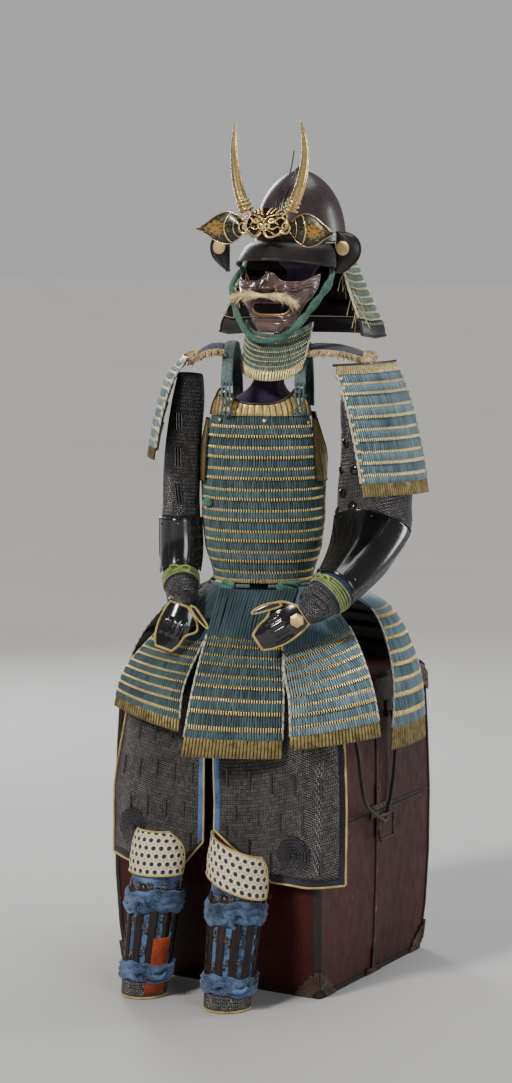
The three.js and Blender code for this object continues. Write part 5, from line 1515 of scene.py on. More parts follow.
outer = [bowl_point(bowl_turn, r, 0.0) for r in np.linspace(0, 7, 34)]
bowl = wall_piece("helmet_bowl_skin", outer, 0.0020, in_helm((0, 0, 1.44)), russet, wrap=True)
cap = skin("helmet_crown", [bowl_point(bowl_turn[::4], 7, 0.0006),
                            bowl_point(bowl_turn[::4], 6.95, 0.0010) + (0, 0, 0.0012)], russet)
bowl = join("helmet_bowl_skin", [bowl, cap])
ridges = [bowl_point(np.full(24, a), np.linspace(0.1, 6.6, 24), 0.0006) for a in (-9, 9, 171, 189)]
fans = [bowl_point(np.full(16, a), np.linspace(0.1, 3.8, 16), 0.0010) for a in (-3.5, 0, 3.5)]
base_line = [bowl_point(np.linspace(0, 360, 97), 0.05, 0.0012)]
bowl_ribs = run("helmet_seams", ridges + fans + base_line, 0.0011, russet, 6)
crest_rod = run("crest_rod",
                [smooth_path([in_helm(p) for p in ((0.004, -0.116, 1.49), (0.010, -0.080, 1.535),
                    (0.013, -0.060, 1.580), (0.013, -0.050, 1.612))], 14)[0]], 0.0014, visor_lacquer, 6)
knob = [in_helm(oval(0, 0, 1.5752 + h, r, r, sides=20)) for h,
        r in ((0, 0.012), (0.0018, 0.0125), (0.003, 0.0095), (0.0045, 0.0075), (0.0065, 0.0065),
              (0.0078, 0.0035))]
crown_mount = skin("crown_mount", knob, visor_lacquer)
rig.replaces(bowl, "helmet_bowl")
for piece in (bowl, bowl_ribs, crown_mount, crest_rod):
    dress(piece, "russet_lacquer")

VISOR = [(0.088, 0.104, 1.441, 0.012), (0.102, 0.126, 1.432, 0.018),
         (0.116, 0.148, 1.404, 0.026)]  # wide, deep, z, droop


def visor_point(angle, row, out=0.0):
    wide, deep, z, droop = finer_at(VISOR, np.atleast_1d(np.asarray(row, float)))
    a = np.radians(angle)
    ridge = 0.004 * np.exp(-(np.asarray(angle) / 7.0) ** 2) * np.clip(np.asarray(row) / 2, 0, 1)
    return in_helm(np.stack(np.broadcast_arrays((wide + out) * np.sin(a), -(deep + out + ridge) * np.cos(a),
        z - droop * (np.asarray(angle) / 90) ** 2), -1))


visor_turn = np.linspace(-72, 72, 73)
visor = wall_piece("visor_plate", [visor_point(visor_turn, r) for r in np.linspace(0, 2, 12)], 0.0022,
                   in_helm((0, 0, 1.3)), visor_lacquer)
visor_rim = run("visor_rim", [visor_point(visor_turn, 2.0, 0.0006)], 0.0019, visor_lacquer, 8)
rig.replaces(visor, "helmet_visor")
for piece in (visor, visor_rim):
    dress(piece, "black_lacquer")

# The turnbacks curl out from the visor's ends; each carries a cream-gold boss.
TURNBACK = [  # z, how far out
    (1.456, 0.30), (1.450, 0.68), (1.438, 0.93), (1.422, 1.0), (1.406, 0.88), (1.392, 0.58), (1.380, 0.22)]
boss_gilt = gilt_paint("boss gilding", (0.80, 0.60, 0.28), (0.62, 0.43, 0.18), (0.30, 0.18, 0.08),
                       rubbed=0.34, roughness=0.4, size=6)
for side, s, boss_at in (("left", 1, 0.36), ("right", -1, 0.42)):
    def turnback_point(u, row, out=0.0, s=s):
        z, wide = finer_at(TURNBACK, np.atleast_1d(np.asarray(row, float)))
        return in_helm(np.stack(np.broadcast_arrays(s * (0.118 + 0.048 * u * wide),
            -0.072 - 0.014 * np.sin(np.pi * u * 0.55) + 0.022 * u * u - out, z), -1))
    rows = np.linspace(0, 6, 48)
    grid = [turnback_point(np.linspace(0, 1, 20), r) for r in rows]
    plate = wall_piece(f"turnback_plate_{side}", grid, 0.0022, in_helm((0, 0.06, 1.415)), visor_lacquer)
    g = np.array(grid)
    rim = run(f"turnback_rim_{side}",
              [smooth_path(np.vstack([g[0, ::6], g[1:, -1], g[-1, -2::-6]]), 90)[0]], 0.0019, visor_lacquer,
              8)
    centre = turnback_point(np.array([boss_at]), 2.75, 0.0)[0]
    disc = [centre + np.array((0.0140 * r * np.cos(t), -h, 0.0140 * r * np.sin(t))) for r,
            h in ((1, 0.000), (1, 0.0022), (0.93, 0.0030), (0.6, 0.0036), (0.0001, 0.0038))
            for t in np.linspace(0, 2 * np.pi, 33)[:-1]]
    boss = skin(f"turnback_boss_{side}", np.array(disc).reshape(5, 32, 3), boss_gilt)
    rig.replaces(plate, f"turnback_{side}")
    for piece, own in ((plate, "black_lacquer"), (rim, "black_lacquer"), (boss, "gilt")):
        dress(piece, own)

# Neck guard: laced rows that flare round the back, and the dark foot plate with its laced hem.
NECK_TOP, NECK_FOOT = (1.432, 0.092, 0.108), (1.286, 0.152, 0.168)     # z, wide, deep


def neck_point(u, s, out):
    u, s = np.broadcast_arrays(np.asarray(u, float), np.asarray(s, float))
    a = np.radians(180 + 104 * u)
    flare = np.clip(s, 0, 1.3) ** 1.15
    wide = NECK_TOP[1] + (NECK_FOOT[1] - NECK_TOP[1]) * flare + out
    deep = NECK_TOP[2] + (NECK_FOOT[2] - NECK_TOP[2]) * flare + out
    z = NECK_TOP[0] + (NECK_FOOT[0] - NECK_TOP[0]) * s + 0.026 * np.maximum(0, np.cos(a))
    return in_helm(np.stack([wide * np.sin(a), -deep * np.cos(a), z], -1))


neck_inside = in_helm((0, 0, 1.35))
lacing("neck_guard_lacing", neck_point, even_rows(5), 0.003, green_braid, pale_gilt, ["neck_guard_laced"],
       "green_lacing", seed=60, tone=0.10, inside=neck_inside, base_columns=90)
edge_cords("neck_guard_edge", neck_point, 0.0, 1.0, 0.0022, 0.0030)


def hem_point(u, v, out=0.0):
    u, v = np.broadcast_arrays(np.asarray(u, float), np.asarray(v, float))
    a = np.radians(180 + 104 * u)
    bow = 0.0025 * np.sin(np.pi * v)
    wide, deep = 0.155 + 0.008 * v + bow + out, 0.171 + 0.008 * v + bow + out
    return in_helm(np.stack([wide * np.sin(a), -deep * np.cos(a),
                             1.2845 - 0.0305 * v + 0.026 * np.maximum(0, np.cos(a))], -1))


hem = wall_piece("neck_guard_foot", [hem_point(np.linspace(-1, 1, 121), v) for v in np.linspace(0, 1, 9)],
                 0.003, neck_inside, visor_lacquer)
hem_rim = run("neck_guard_foot_rim", [hem_point(np.linspace(-1, 1, 121), 1.0, 0.0006)], 0.0022,
              visor_lacquer, 8)
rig.replaces(hem, "neck_guard_hem")
knots = np.linspace(-0.97, 0.97, 74)
k_at, k_next = hem_point(knots, 0.18, 0.0008), hem_point(knots + 0.004, 0.18, 0.0008)
k_low = hem_point(knots, 0.26, 0.0008)
hem_knots = lay("neck_guard_foot_knots", k_at, turns(k_next - k_at, k_at - k_low), (0.0034, 0.0062, 0.0022),
                braid_shape, green_braid, 0.1, 5, np.full(74, 0.3))
for piece, own in ((hem, "black_lacquer"), (hem_rim, "black_lacquer"), (hem_knots, "green_lacing")):
    dress(piece, own)
# Frayed silk that hangs from the neck guard's front corners.
rng = np.random.default_rng(9)
frays = []
for s in (-1, 1):
    for k in range(16):
        start = neck_point(np.array([s * (0.985 - 0.03 * rng.random())]), 0.25 + 0.7 * rng.random(),
                           0.003)[0]
        drop = 0.018 + 0.03 * rng.random()
        lean = rng.normal(0, 0.30, 2)
        frays.append(smooth_path([start, start + (lean[0] * drop * 0.6, -0.004, -drop * 0.5),
                                  start + (lean[0] * drop, lean[1] * 0.01 - 0.003, -drop)], 7)[0])
fray = run("neck_guard_frayed_silk", frays, 0.0008, cream_fringe, 3)
dress(fray, "hair")

# ---------- crest ----------
# A gilt wooden beast's brow with two horns and two leaf-shaped lacquered ears, plugged in front
# of the bowl.
CREST_Y = -0.128
bronze_gilt = gilt_paint("bronze gilding", (0.84, 0.64, 0.29), (0.52, 0.36, 0.15), (0.10, 0.060, 0.036),
                         rubbed=0.36, roughness=0.20, size=4, grain=0.08)
bronze_gilt.node_tree.nodes["Principled BSDF"].inputs["Metallic"].default_value = 0.95
BROW = [(1.444, 0.016, 0.007), (1.450, 0.030, 0.010), (1.458, 0.040, 0.015), (1.468, 0.045, 0.018),
        (1.478, 0.043, 0.017), (1.488, 0.039, 0.013), (1.497, 0.030, 0.009), (1.502, 0.018, 0.006)]


CARVING = [  # across and up from the brow's foot, in mm: lip and scroll, brow, nostril, eye, cheek, mane
    [(0, 13), (8, 14), (14, 10), (20, 5), (27, 3), (34, 6), (39, 12), (43, 20), (43, 30), (37, 37),
     (29, 36), (25, 30), (30, 25)],
    [(2, 33), (9, 39), (19, 42), (30, 44), (41, 47)],
    [(0, 20), (6, 17), (11, 19), (11, 25), (6, 26), (4, 22)],
    [(11, 31), (16, 36), (22, 33), (20, 28), (14, 28), (11, 31)], [(14, 17), (21, 16), (28, 20), (35, 18)],
    [(5, 44), (11, 54)], [(14, 46), (20, 54)], [(24, 47), (29, 52)]]
carved = np.vstack([smooth_path([(x, h, 0) for x, h in line], 40)[0] for line in CARVING])[:, :2]


def brow_relief(x, h):
    """How far the beast's carved brow stands up, from 0 in its hollows to 1 on its lines."""
    away = np.hypot(np.abs(x)[:, None] - carved[:, 0], h[:, None] - carved[:, 1]).min(axis=1)
    nose = 0.9 * np.exp(-((x / 5) ** 2) - ((h - 24) / 7) ** 2)
    eyes = 0.8 * np.exp(-(((np.abs(x) - 16) / 3) ** 2) - ((h - 31) / 2.6) ** 2)
    return np.clip(np.exp(-((away / 1.9) ** 2)) + nose + eyes, 0, 1)


# Colour follows how far the carving stands up: dark bronze in the hollows, deepened as painted shade, gold on the
# raised lines, and a painted highlight on their tops.
carved_gilt_shaded, tree, shader = paint("carved gilding with painted shade", roughness=0.24, metallic=0.92)
height = node(tree, "ShaderNodeSeparateXYZ",
              {"Vector": node(tree, "ShaderNodeTexCoord").outputs["UV"]}).outputs["X"]
tree.links.new(ramp(tree, height, [(0.05, (0.030, 0.018, 0.011)), (0.35, (0.20, 0.125, 0.055)),
                                   (0.70, (0.78, 0.57, 0.24)), (1.0, (0.95, 0.78, 0.40))]),
                                   shader.inputs["Base Color"])
brow, relief_for_shading = [], []
for z, wide, deep in finer(BROW, 84):
    a = np.linspace(0, 2 * np.pi, 181)[:-1]
    px = wide * np.sign(np.sin(a)) * np.abs(np.sin(a)) ** (1 / 1.2)
    py = -deep * np.sign(np.cos(a)) * np.abs(np.cos(a)) ** (1 / 1.2)
    front = np.clip(-py / deep, 0, 1) ** 0.6
    raised = brow_relief(px * 1000, np.full(180, (z - 1.446) * 1000))
    brow.append(in_helm(np.stack([px, CREST_Y + py + (0.0025 - 0.0065 * raised) * front, np.full(180, z)],
                                 -1)))
    relief_for_shading.append(np.stack([raised, np.zeros(180)], -1))
crest = skin("crest_brow", brow, carved_gilt_shaded, uv=relief_for_shading)
# Scrolls that curl out beside the cheeks, a curled upper lip, and the collars the horns stand in.
lines, radii = [], []
for s in (-1, 1):
    for x0, z0, r, start, sweep_turns, thick in ((0.046, 1.466, 0.0140, 3.6, 1.15, 0.0026),
            (0.046, 1.487, 0.0080, 2.6, 1.1, 0.0022)):
        t = np.linspace(0, 1, 30)
        a = 2 * np.pi * sweep_turns * t + start
        rr = r * (1 - 0.78 * t)
        lines.append(in_helm(np.stack([s * (x0 + rr * np.cos(a)), CREST_Y - 0.012 - 0.007 * t,
                                       z0 + rr * np.sin(a)], -1)))
        radii.append(thick * (1.05 - 0.55 * t))
    lines.append(smooth_path([in_helm((s * p[0], CREST_Y - p[1], p[2]))
                              for p in ((0.003, 0.021, 1.456), (0.013, 0.024, 1.447), (0.026, 0.019, 1.449),
                                        (0.036, 0.013, 1.457), (0.040, 0.010, 1.466))], 30)[0])
    radii.append(np.linspace(0.0030, 0.0018, 30))
    for z0, r in ((1.4985, 0.0125), (1.5065, 0.0118), (1.514, 0.0112)):
        w, d = np.interp(z0, (1.494, 1.514), (0.047, 0.057)), 0.001
        a = np.linspace(0, 2 * np.pi, 25)
        lines.append(in_helm(np.stack([s * (w + r * np.cos(a)), CREST_Y + d + 0.86 * r * np.sin(a),
                                       z0 - 0.35 * r * np.cos(a)], -1)))
        radii.append(np.full(25, 0.0024))
curls = run("crest_curls", lines, radii, bronze_gilt, 8)
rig.replaces(crest, "crest_mask")
for piece in (crest, curls):
    dress(piece, "gilt")
HORN = [  # w, d, z, wide, deep
    (0.047, 0, 1.494, 0.011, 0.009), (0.057, 0.002, 1.514, 0.0115, 0.009),
    (0.068, 0.004, 1.542, 0.0105, 0.0085), (0.075, 0.006, 1.574, 0.009, 0.0075),
    (0.078, 0.006, 1.602, 0.0075, 0.006), (0.077, 0.004, 1.632, 0.0055, 0.0045),
    (0.071, 0, 1.666, 0.0014, 0.0014),
]
EAR = [  # u, half
    (0, 0.01), (0.15, 0.023), (0.36, 0.031), (0.6, 0.025), (0.84, 0.01), (1, 0.0015),
]
ear_lacquer, tree, shader = paint("crest ear lacquer", roughness=0.25, metallic=0.2, coat=0.5)
places = node(tree, "ShaderNodeTexCoord").outputs["UV"]
flecks = node(tree, "ShaderNodeTexNoise",
              {"Vector": node(tree, "ShaderNodeMapping",
                              {"Vector": places, "Scale": (1.0, 0.45, 1.0)}).outputs["Vector"],
                              "Scale": 260.0, "Detail": 3.0, "Roughness": 0.6})
middle = node(tree, "ShaderNodeTexGradient",
              {"Vector": node(tree, "ShaderNodeMapping",
                              {"Vector": places, "Scale": (38.0, 24.0, 1.0),
                               "Location": (0.0, -1.45, 0.0)}).outputs["Vector"]},
                               gradient_type="SPHERICAL")
spot = node(tree, "ShaderNodeMath", {0: middle.outputs["Fac"], 1: 0.42, 2: flecks.outputs["Fac"]},
            operation="MULTIPLY_ADD")
tree.links.new(ramp(tree, spot.outputs[0],
                    [(0.54, (0.009, 0.008, 0.006)), (0.68, (0.040, 0.032, 0.010)),
                     (0.76, (0.22, 0.17, 0.035)), (0.92, (0.46, 0.17, 0.03))]), shader.inputs["Base Color"])
for side, s in (("left", 1), ("right", -1)):
    rings = []
    rows = finer(HORN, 90)
    for i, (w, d, z, wide, deep) in enumerate(rows):
        # The lower third is ringed like a goat's horn; a long flute runs up the front.
        low = max(0.0, 1 - i / 26)
        around = np.linspace(0, 2 * np.pi, 32, endpoint=False)
        shape = 1 + 0.075 * low ** 0.5 * abs(math.sin(i
            * 0.62)) - 0.04 * low - 0.14 * np.exp(-((around - 0.5) / 0.28) ** 2) * min(1.0, (90 - i) / 30)
        ring = oval(s * w, CREST_Y + d, z, wide * 1.04, deep * 1.04, sides=32)
        middle_point = ring.mean(0)
        rings.append(in_helm(middle_point + (ring - middle_point) * shape[:, None]))
    horn = skin(f"horn_{side}", rings, bronze_gilt)
    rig.replaces(horn, f"crest_horn_{side}")

    def ear_point(u, v, out=0.0, s=s, droop=0.012 if s > 0 else 0.005):
        u, v = np.broadcast_arrays(np.asarray(u, float), np.asarray(v, float))
        half = np.maximum(finer_at(EAR, np.interp(u, [e[0] for e in EAR],
            range(len(EAR))).ravel())[1].reshape(u.shape), 0.0012)
        cup = -0.006 * u * u + 0.009 * v * v * (1 - 0.4 * u) - 0.004
        return in_helm(np.stack([s * (0.050 + 0.100 * u), CREST_Y - 0.008 + cup - out,
                                 1.467 - droop * np.sqrt(u) + half * v], -1))

    spread = np.concatenate([[0, 0.012, 0.03], np.linspace(0.055, 1, 40)])
    ear = wall_piece(f"ear_{side}", [ear_point(np.full(25, u), np.linspace(-1, 1, 25)) for u in spread],
                     0.0022, in_helm((0, 0.1, 1.47)), ear_lacquer)
    v = np.linspace(-1, 1, 30)
    rim = np.vstack([ear_point(spread[::-1], np.full(43, -1.0)),
                     ear_point(np.zeros(7), np.linspace(-1, 1, 7))[1:-1],
                     ear_point(spread, np.full(43, 1.0))])
    ear_rim = run(f"ear_rim_{side}", [smooth_path(rim, 110)[0],
                                      ear_point(0.27 + 0.13 * (1 - v * v), v * 0.97, 0.0012),
                                      ear_point(0.10 + 0.10 * (1 - v * v), v * 0.97, 0.0010)],
                  [np.full(110, 0.0011), 0.0017 - 0.0008 * v ** 4, np.full(30, 0.0009)], bronze_gilt, 8)
    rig.replaces(ear, f"crest_ear_{side}")
    for piece, own in ((horn, "gilt"), (ear, "old_gilt"), (ear_rim, "gilt")):
        dress(piece, own)

# ---------- face mask ----------
# A russet-lacquered iron half mask with an open mouth, a separate nose, cheek creases, a gilt
# lower lip and a moustache of animal hair.
FACE = [  # z, wide, deep, reach
    (1.376, 0.102, 0.098, 64), (1.362, 0.102, 0.104, 64), (1.35, 0.101, 0.107, 63),
    (1.336, 0.098, 0.108, 58), (1.322, 0.092, 0.107, 50), (1.306, 0.082, 0.105, 46),
    (1.29, 0.07, 0.106, 44), (1.276, 0.06, 0.106, 43), (1.264, 0.052, 0.103, 42),
]
mask_lacquer = lacquer_paint("mask lacquer", (0.052, 0.028, 0.027), (0.150, 0.092, 0.082),
                             (0.30, 0.22, 0.18), roughness=0.22, size=12, chips=0.48, coat=0.9)
mask_lip = lacquer_paint("lip gilding", (0.30, 0.17, 0.05), (0.52, 0.33, 0.11), (0.12, 0.06, 0.03),
                         roughness=0.35, size=30, chips=0.36)
mask_lip.node_tree.nodes["Principled BSDF"].inputs["Metallic"].default_value = 0.6


FACE_TURN = math.radians(-5)


def in_face(points):
    """The mask faces a little to the armour's right."""
    p = np.asarray(points, float)
    c, s = math.cos(FACE_TURN), math.sin(FACE_TURN)
    return in_helm(np.stack([p[..., 0] * c - p[..., 1] * s, p[..., 0] * s + p[..., 1] * c, p[..., 2]], -1))


def face_point(angle, z, out=0.0):
    """The mask's outer face: a bulbous winged nose, full creased cheeks, lips and a square chin."""
    angle, z = np.broadcast_arrays(np.asarray(angle, float), np.asarray(z, float))
    wide, deep = column(FACE, z, 1), column(FACE, z, 2)
    a = np.radians(angle)
    h = z * 1000
    side = np.abs(angle)
    bell = lambda at, spread, level, tall, power=2: np.exp(-(np.abs((side - at) / spread) ** power)
        - (np.abs((h - level) / tall) ** power))
    under = np.where(h < 1351, 8.5, 15.0)
    bridge = 15 * np.exp(-((side / 4.2) ** 2)) * np.clip((h - 1344) / 18, 0, 1)
    tip = 27 * bell(0, 8.2, 1351, under)
    wings = 17 * bell(11.0, 3.8, 1347, 7.0)
    nose = np.maximum(np.maximum(bridge, tip), wings) - 3.5 * bell(7.4, 1.6, 1351, 8.0) - 3.0 * bell(16.5,
        2.0, 1347, 12)
    cheek = 9 * bell(32, 11, 1350, 11)
    crease = np.zeros_like(a)
    for start, level, deepness in ((20, 1345, 3.4), (22, 1352, 3.2), (25, 1359, 2.6)):
        past = np.maximum(side - start, 0)
        line = level - 3.0 * np.sin(np.clip(past / 22, 0, 1) * np.pi) + 0.30 * past
        reach = np.clip(past / 4, 0, 1) * np.clip((58 - side) / 10, 0, 1)
        crease += reach * (deepness * np.exp(-(((h - line) / 2.0) ** 2))
                           - 0.7 * deepness * np.exp(-(((h - line + 3.4) / 1.5) ** 2)))
    fold = 5.0 * np.exp(-(((side - 33 - 0.10 * (1318 - h)) / 3.2) ** 2)) * np.clip((1338 - h) / 8, 0,
        1) * np.clip((h - 1292) / 6, 0, 1)
    lips = 5.0 * np.exp(-((side / 30) ** 6)) * (np.exp(-(((h - 1294.5) / 3.0) ** 2))
        + 0.7 * np.exp(-(((h - 1323) / 3.0) ** 2)))
    chin = 8.0 * np.exp(-((side / 31) ** 8) - np.abs((h - 1274) / 11.5) ** 6) - 3.0 * bell(0, 30, 1288.5,
        2.4)
    lift = (nose + cheek + crease + fold + lips + chin) * 0.001 + out
    return in_face(np.stack([(wide + (cheek + 0.5 * crease) * 0.0006 + out) * np.sign(np.sin(a))
                             * np.abs(np.sin(a)) ** 0.85,
                             -(deep + lift) * np.cos(a) ** 0.42, z], -1))


# The plate's upper edge peaks over the nose and dips under the eyes; its sides draw in to the jaw.
face_turn = np.concatenate([np.linspace(-1, -0.42, 28), np.linspace(-0.41, 0.41, 76),
                            np.linspace(0.42, 1, 28)])
fall = np.linspace(0, 1, 90)
across, down = np.meshgrid(face_turn * 64, fall)
face_top = 1.3615 + 0.0185 * np.exp(-((across / 7.5) ** 2)) + 0.0145 * np.clip((np.abs(across) - 34) / 26,
    0, 1) ** 1.5
face_z = face_top * (1 - down) + 1.264 * down
face_angle = across / 64 * column(FACE, face_z, 3)
grid = face_point(face_angle, face_z)
MOUTH_LEVEL, MOUTH_HALF, MOUTH_REACH = 1.3095, 0.0118, 27.5


def mouth_edge(angle):
    """Half the height of the open mouth at each angle."""
    return MOUTH_HALF * np.sqrt(np.maximum(0.0, 1 - (np.abs(angle) / MOUTH_REACH) ** 4))


def mouth_open(r, c):
    return abs(face_z[r, c] - MOUTH_LEVEL) < mouth_edge(face_angle[r, c])


mask = wall_piece("mask_plate", grid, 0.0022, in_face((0, 0, 1.32)), mask_lacquer, hole=mouth_open)
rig.replaces(mask, "face_mask")
lip_turn = np.linspace(-MOUTH_REACH, MOUTH_REACH, 60)
lower = face_point(lip_turn, MOUTH_LEVEL - mouth_edge(lip_turn), 0.001)
upper = face_point(lip_turn, MOUTH_LEVEL + mouth_edge(lip_turn), 0.001)
lips = run("mask_lower_lip", [lower], 0.0024, mask_lip, 8)
upper_lip = run("mask_upper_lip", [upper], 0.0018, mask_lacquer, 8)
g = np.array(grid)
mask_rims = run("mask_rim", [np.vstack([g[::-1, 0], g[0], g[:, -1]]), g[-1]], 0.0013, mask_lacquer, 6)
cheek_pegs = []
for s in (-1, 1):
    cheek_pegs.append(smooth_path([face_point(np.array([s * 55.0]), np.array([z]), o)[0] for z,
                                   o in ((1.352, 0.001), (1.348, 0.010), (1.338, 0.012), (1.330, 0.006))],
                                   14)[0])
pegs = run("mask_cord_hooks", cheek_pegs, 0.0018, mask_lacquer, 6)
# The nostrils are not cut open: two small near-black domes stand for them, painted shadow where the holes would be.
nostrils = [face_point(np.full(1, s * 5.8), np.full(1, 1.3435), 0.0010)[0] for s in (-1, 1)]
nostril_paint = lacquer_paint("nostril shadow", (0.006, 0.003, 0.003), (0.012, 0.006, 0.006),
                              (0.02, 0.01, 0.01), roughness=0.7)
nostril_shadow_dots = lay("mask_nostrils", nostrils, facing([(s * 0.3, -0.55, -0.8) for s in (-1, 1)]),
                   (0.0110, 0.0080, 0.0040), nail_head, nostril_paint)
for piece in (mask, lips, upper_lip, mask_rims, pegs, nostril_shadow_dots):
    dress(piece, "russet_lacquer")

# The moustache: tufts of cream hair that sweep out from under the nose.
MOUSTACHE = [  # across, up, half height
    (-0.078, 1.329, 0.0042), (-0.060, 1.333, 0.0086), (-0.034, 1.336, 0.0090), (0, 1.3350, 0.0060),
    (0.034, 1.335, 0.0094), (0.060, 1.329, 0.0094), (0.078, 1.322, 0.0046)]
hair = cloth_paint("cream hair", (0.46, 0.33, 0.13), (0.94, 0.80, 0.48), threads=300, size=60, on_cut=False)
rng = np.random.default_rng(77)
hairs, radii = [], []
for k in range(780):
    w0 = rng.uniform(-0.062, 0.062)
    s = 1 if w0 >= 0 else -1
    reach = rng.uniform(0.012, 0.028)
    bend = rng.normal(0, 0.006)
    line = []
    a0, r0 = rng.uniform(0, 2 * math.pi), math.sqrt(rng.random())
    for t in np.linspace(0, 1, 6):
        w = w0 + s * reach * t
        z, r = np.interp(w, [m[0] for m in MOUSTACHE], [m[1] for m in MOUSTACHE]), np.interp(w,
            [m[0] for m in MOUSTACHE], [m[2] for m in MOUSTACHE])
        r = (0.45 + 0.6 * t) * max(r, 0.0028) * r0
        line.append(in_face((w, -0.128 - r * math.cos(a0) * 0.9,
                             z + r * math.sin(a0) + (bend - 0.003) * t * t * abs(w) / 0.08)))
    hairs.append(line)
    radii.append(np.array([0.00060, 0.00065, 0.00060, 0.00055, 0.00045, 0.0002]))
moustache_hair = run("moustache_hair", hairs, radii, hair, 3)
core = [in_face(np.stack([np.full(16, w),
                          -0.128 - 0.62 * r * np.cos(np.linspace(0, 2 * np.pi, 16, endpoint=False)),
                          z + 0.62 * r * np.sin(np.linspace(0, 2 * np.pi, 16, endpoint=False))], -1))
        for w, z, r in finer(MOUSTACHE, 30)]
moustache_core = skin("moustache_roots", core, hair)
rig.replaces(moustache_hair, "moustache")
for piece in (moustache_hair, moustache_core):
    dress(piece, "hair")

# ---------- throat guard ----------
# Four laced rows that hang from the mask, ending in a ribbed plate in pinkish gold.
THROAT_TOP, THROAT_FOOT = 1.261, 1.172


def throat_point(u, s, out):
    u, s = np.broadcast_arrays(np.asarray(u, float), np.asarray(s, float))
    a = np.radians(62 * u)
    wide, deep, flat = 0.080 - 0.006 * s + out, 0.110 + 0.024 * s + out, 0.42 - 0.18 * s
    return in_helm(np.stack([wide * np.sign(np.sin(a)) * np.abs(np.sin(a)) ** 0.85,
                             -deep * np.cos(a) ** flat,
                             THROAT_TOP + (THROAT_FOOT - THROAT_TOP) * s + 0.024 * u * u], -1))


throat_inside = in_helm((0, 0, 1.22))
lacing("throat_guard_lacing", throat_point, even_rows(4, 0.0, 0.80), 0.003, green_braid, pale_gilt,
       ["throat_guard"], "green_lacing", pitch=0.0046, seed=61, tone=0.06, inside=throat_inside,
       base_columns=50)
throat_foot = ribbed("throat_guard_foot", lambda u, v, out: throat_point(u, 0.80 + 0.20 * v, out + 0.0022),
                     0.19, 6, 0.0062, 0.0014, 0.0024, throat_inside, pale_ribs, 6)
dress(throat_foot, "old_gilt")
edge_cords("throat_guard_edge", throat_point, 0.0, 0.80, 0.0022, 0.0020)

# ---------- armoured sleeves ----------
# Indigo cloth sleeves with mail sewn over them, dark splints and discs in the mail, and glossy
# black plates on the forearm. Each ends in a wound cord tie at the wrist.
SLEEVES = {
    "left": [
        (0.178, 0.018, 1.17, 0.034, 0.03, 30), (0.188, 0.02, 1.13, 0.048, 0.04, 30),
        (0.196, 0.028, 1.07, 0.056, 0.044, 30), (0.203, 0.032, 1, 0.066, 0.046, 30),
        (0.208, 0.026, 0.94, 0.074, 0.05, 30), (0.216, 0.002, 0.888, 0.072, 0.054, 30),
        (0.222, -0.05, 0.842, 0.06, 0.05, 26), (0.223, -0.108, 0.808, 0.05, 0.044, 20),
        (0.219, -0.158, 0.784, 0.044, 0.038, 12), (0.209, -0.184, 0.77, 0.04, 0.034, 6),
        (0.196, -0.204, 0.754, 0.037, 0.028, 0),
    ],
    "right": [
        (-0.122, -0.119, 1.182, 0.024, 0.03, 24), (-0.126, -0.121, 1.13, 0.031, 0.042, 26),
        (-0.133, -0.125, 1.06, 0.034, 0.046, 28), (-0.138, -0.128, 0.98, 0.036, 0.048, 28),
        (-0.139, -0.129, 0.9, 0.036, 0.046, 28), (-0.135, -0.134, 0.84, 0.036, 0.042, 28),
        (-0.126, -0.152, 0.793, 0.034, 0.038, 28), (-0.11, -0.174, 0.767, 0.032, 0.034, 28),
        (-0.093, -0.196, 0.745, 0.03, 0.026, 28),
    ],
}
staggered, ins, outs = shader_group("staggered cells", {"Vector": ("NodeSocketVector", (0, 0, 0))},
                                    {"Distance": "NodeSocketFloat", "Random": "NodeSocketFloat"})
cells = node(staggered, "ShaderNodeSeparateXYZ", {"Vector": ins.outputs["Vector"]})
row_number = node(staggered, "ShaderNodeMath", {0: cells.outputs["Y"]}, operation="FLOOR")
odd = node(staggered, "ShaderNodeMath", {0: row_number.outputs[0], 1: 2.0}, operation="FLOORED_MODULO")
shifted = node(staggered, "ShaderNodeMath", {0: odd.outputs[0], 1: 0.5, 2: cells.outputs["X"]},
               operation="MULTIPLY_ADD")
x_in = node(staggered, "ShaderNodeMath", {0: shifted.outputs[0]}, operation="FRACT")
y_in = node(staggered, "ShaderNodeMath", {0: cells.outputs["Y"]}, operation="FRACT")
place_in = node(staggered, "ShaderNodeCombineXYZ", {"X": x_in.outputs[0], "Y": y_in.outputs[0]})
spread = node(staggered, "ShaderNodeVectorMath", {0: place_in.outputs[0], 1: (0.5, 0.5, 0.0)},
              operation="DISTANCE")
column_number = node(staggered, "ShaderNodeMath", {0: shifted.outputs[0]}, operation="FLOOR")
cell = node(staggered, "ShaderNodeCombineXYZ", {"X": column_number.outputs[0], "Y": row_number.outputs[0]})
chance = node(staggered, "ShaderNodeTexWhiteNoise", {"Vector": cell.outputs[0]}, noise_dimensions="2D")
staggered.links.new(spread.outputs["Value"], outs.inputs["Distance"])
staggered.links.new(chance.outputs["Value"], outs.inputs["Random"])


def staggered_cells(tree, pitch):
    """Rows of cells `pitch` apart on the cut; gives the way to each cell's middle, and its number."""
    cut = node(tree, "ShaderNodeMapping",
               {"Vector": node(tree, "ShaderNodeTexCoord").outputs["UV"],
                "Scale": (1 / pitch, 1 / pitch, 1.0)})
    return use(tree, staggered, {"Vector": cut.outputs["Vector"]}).outputs


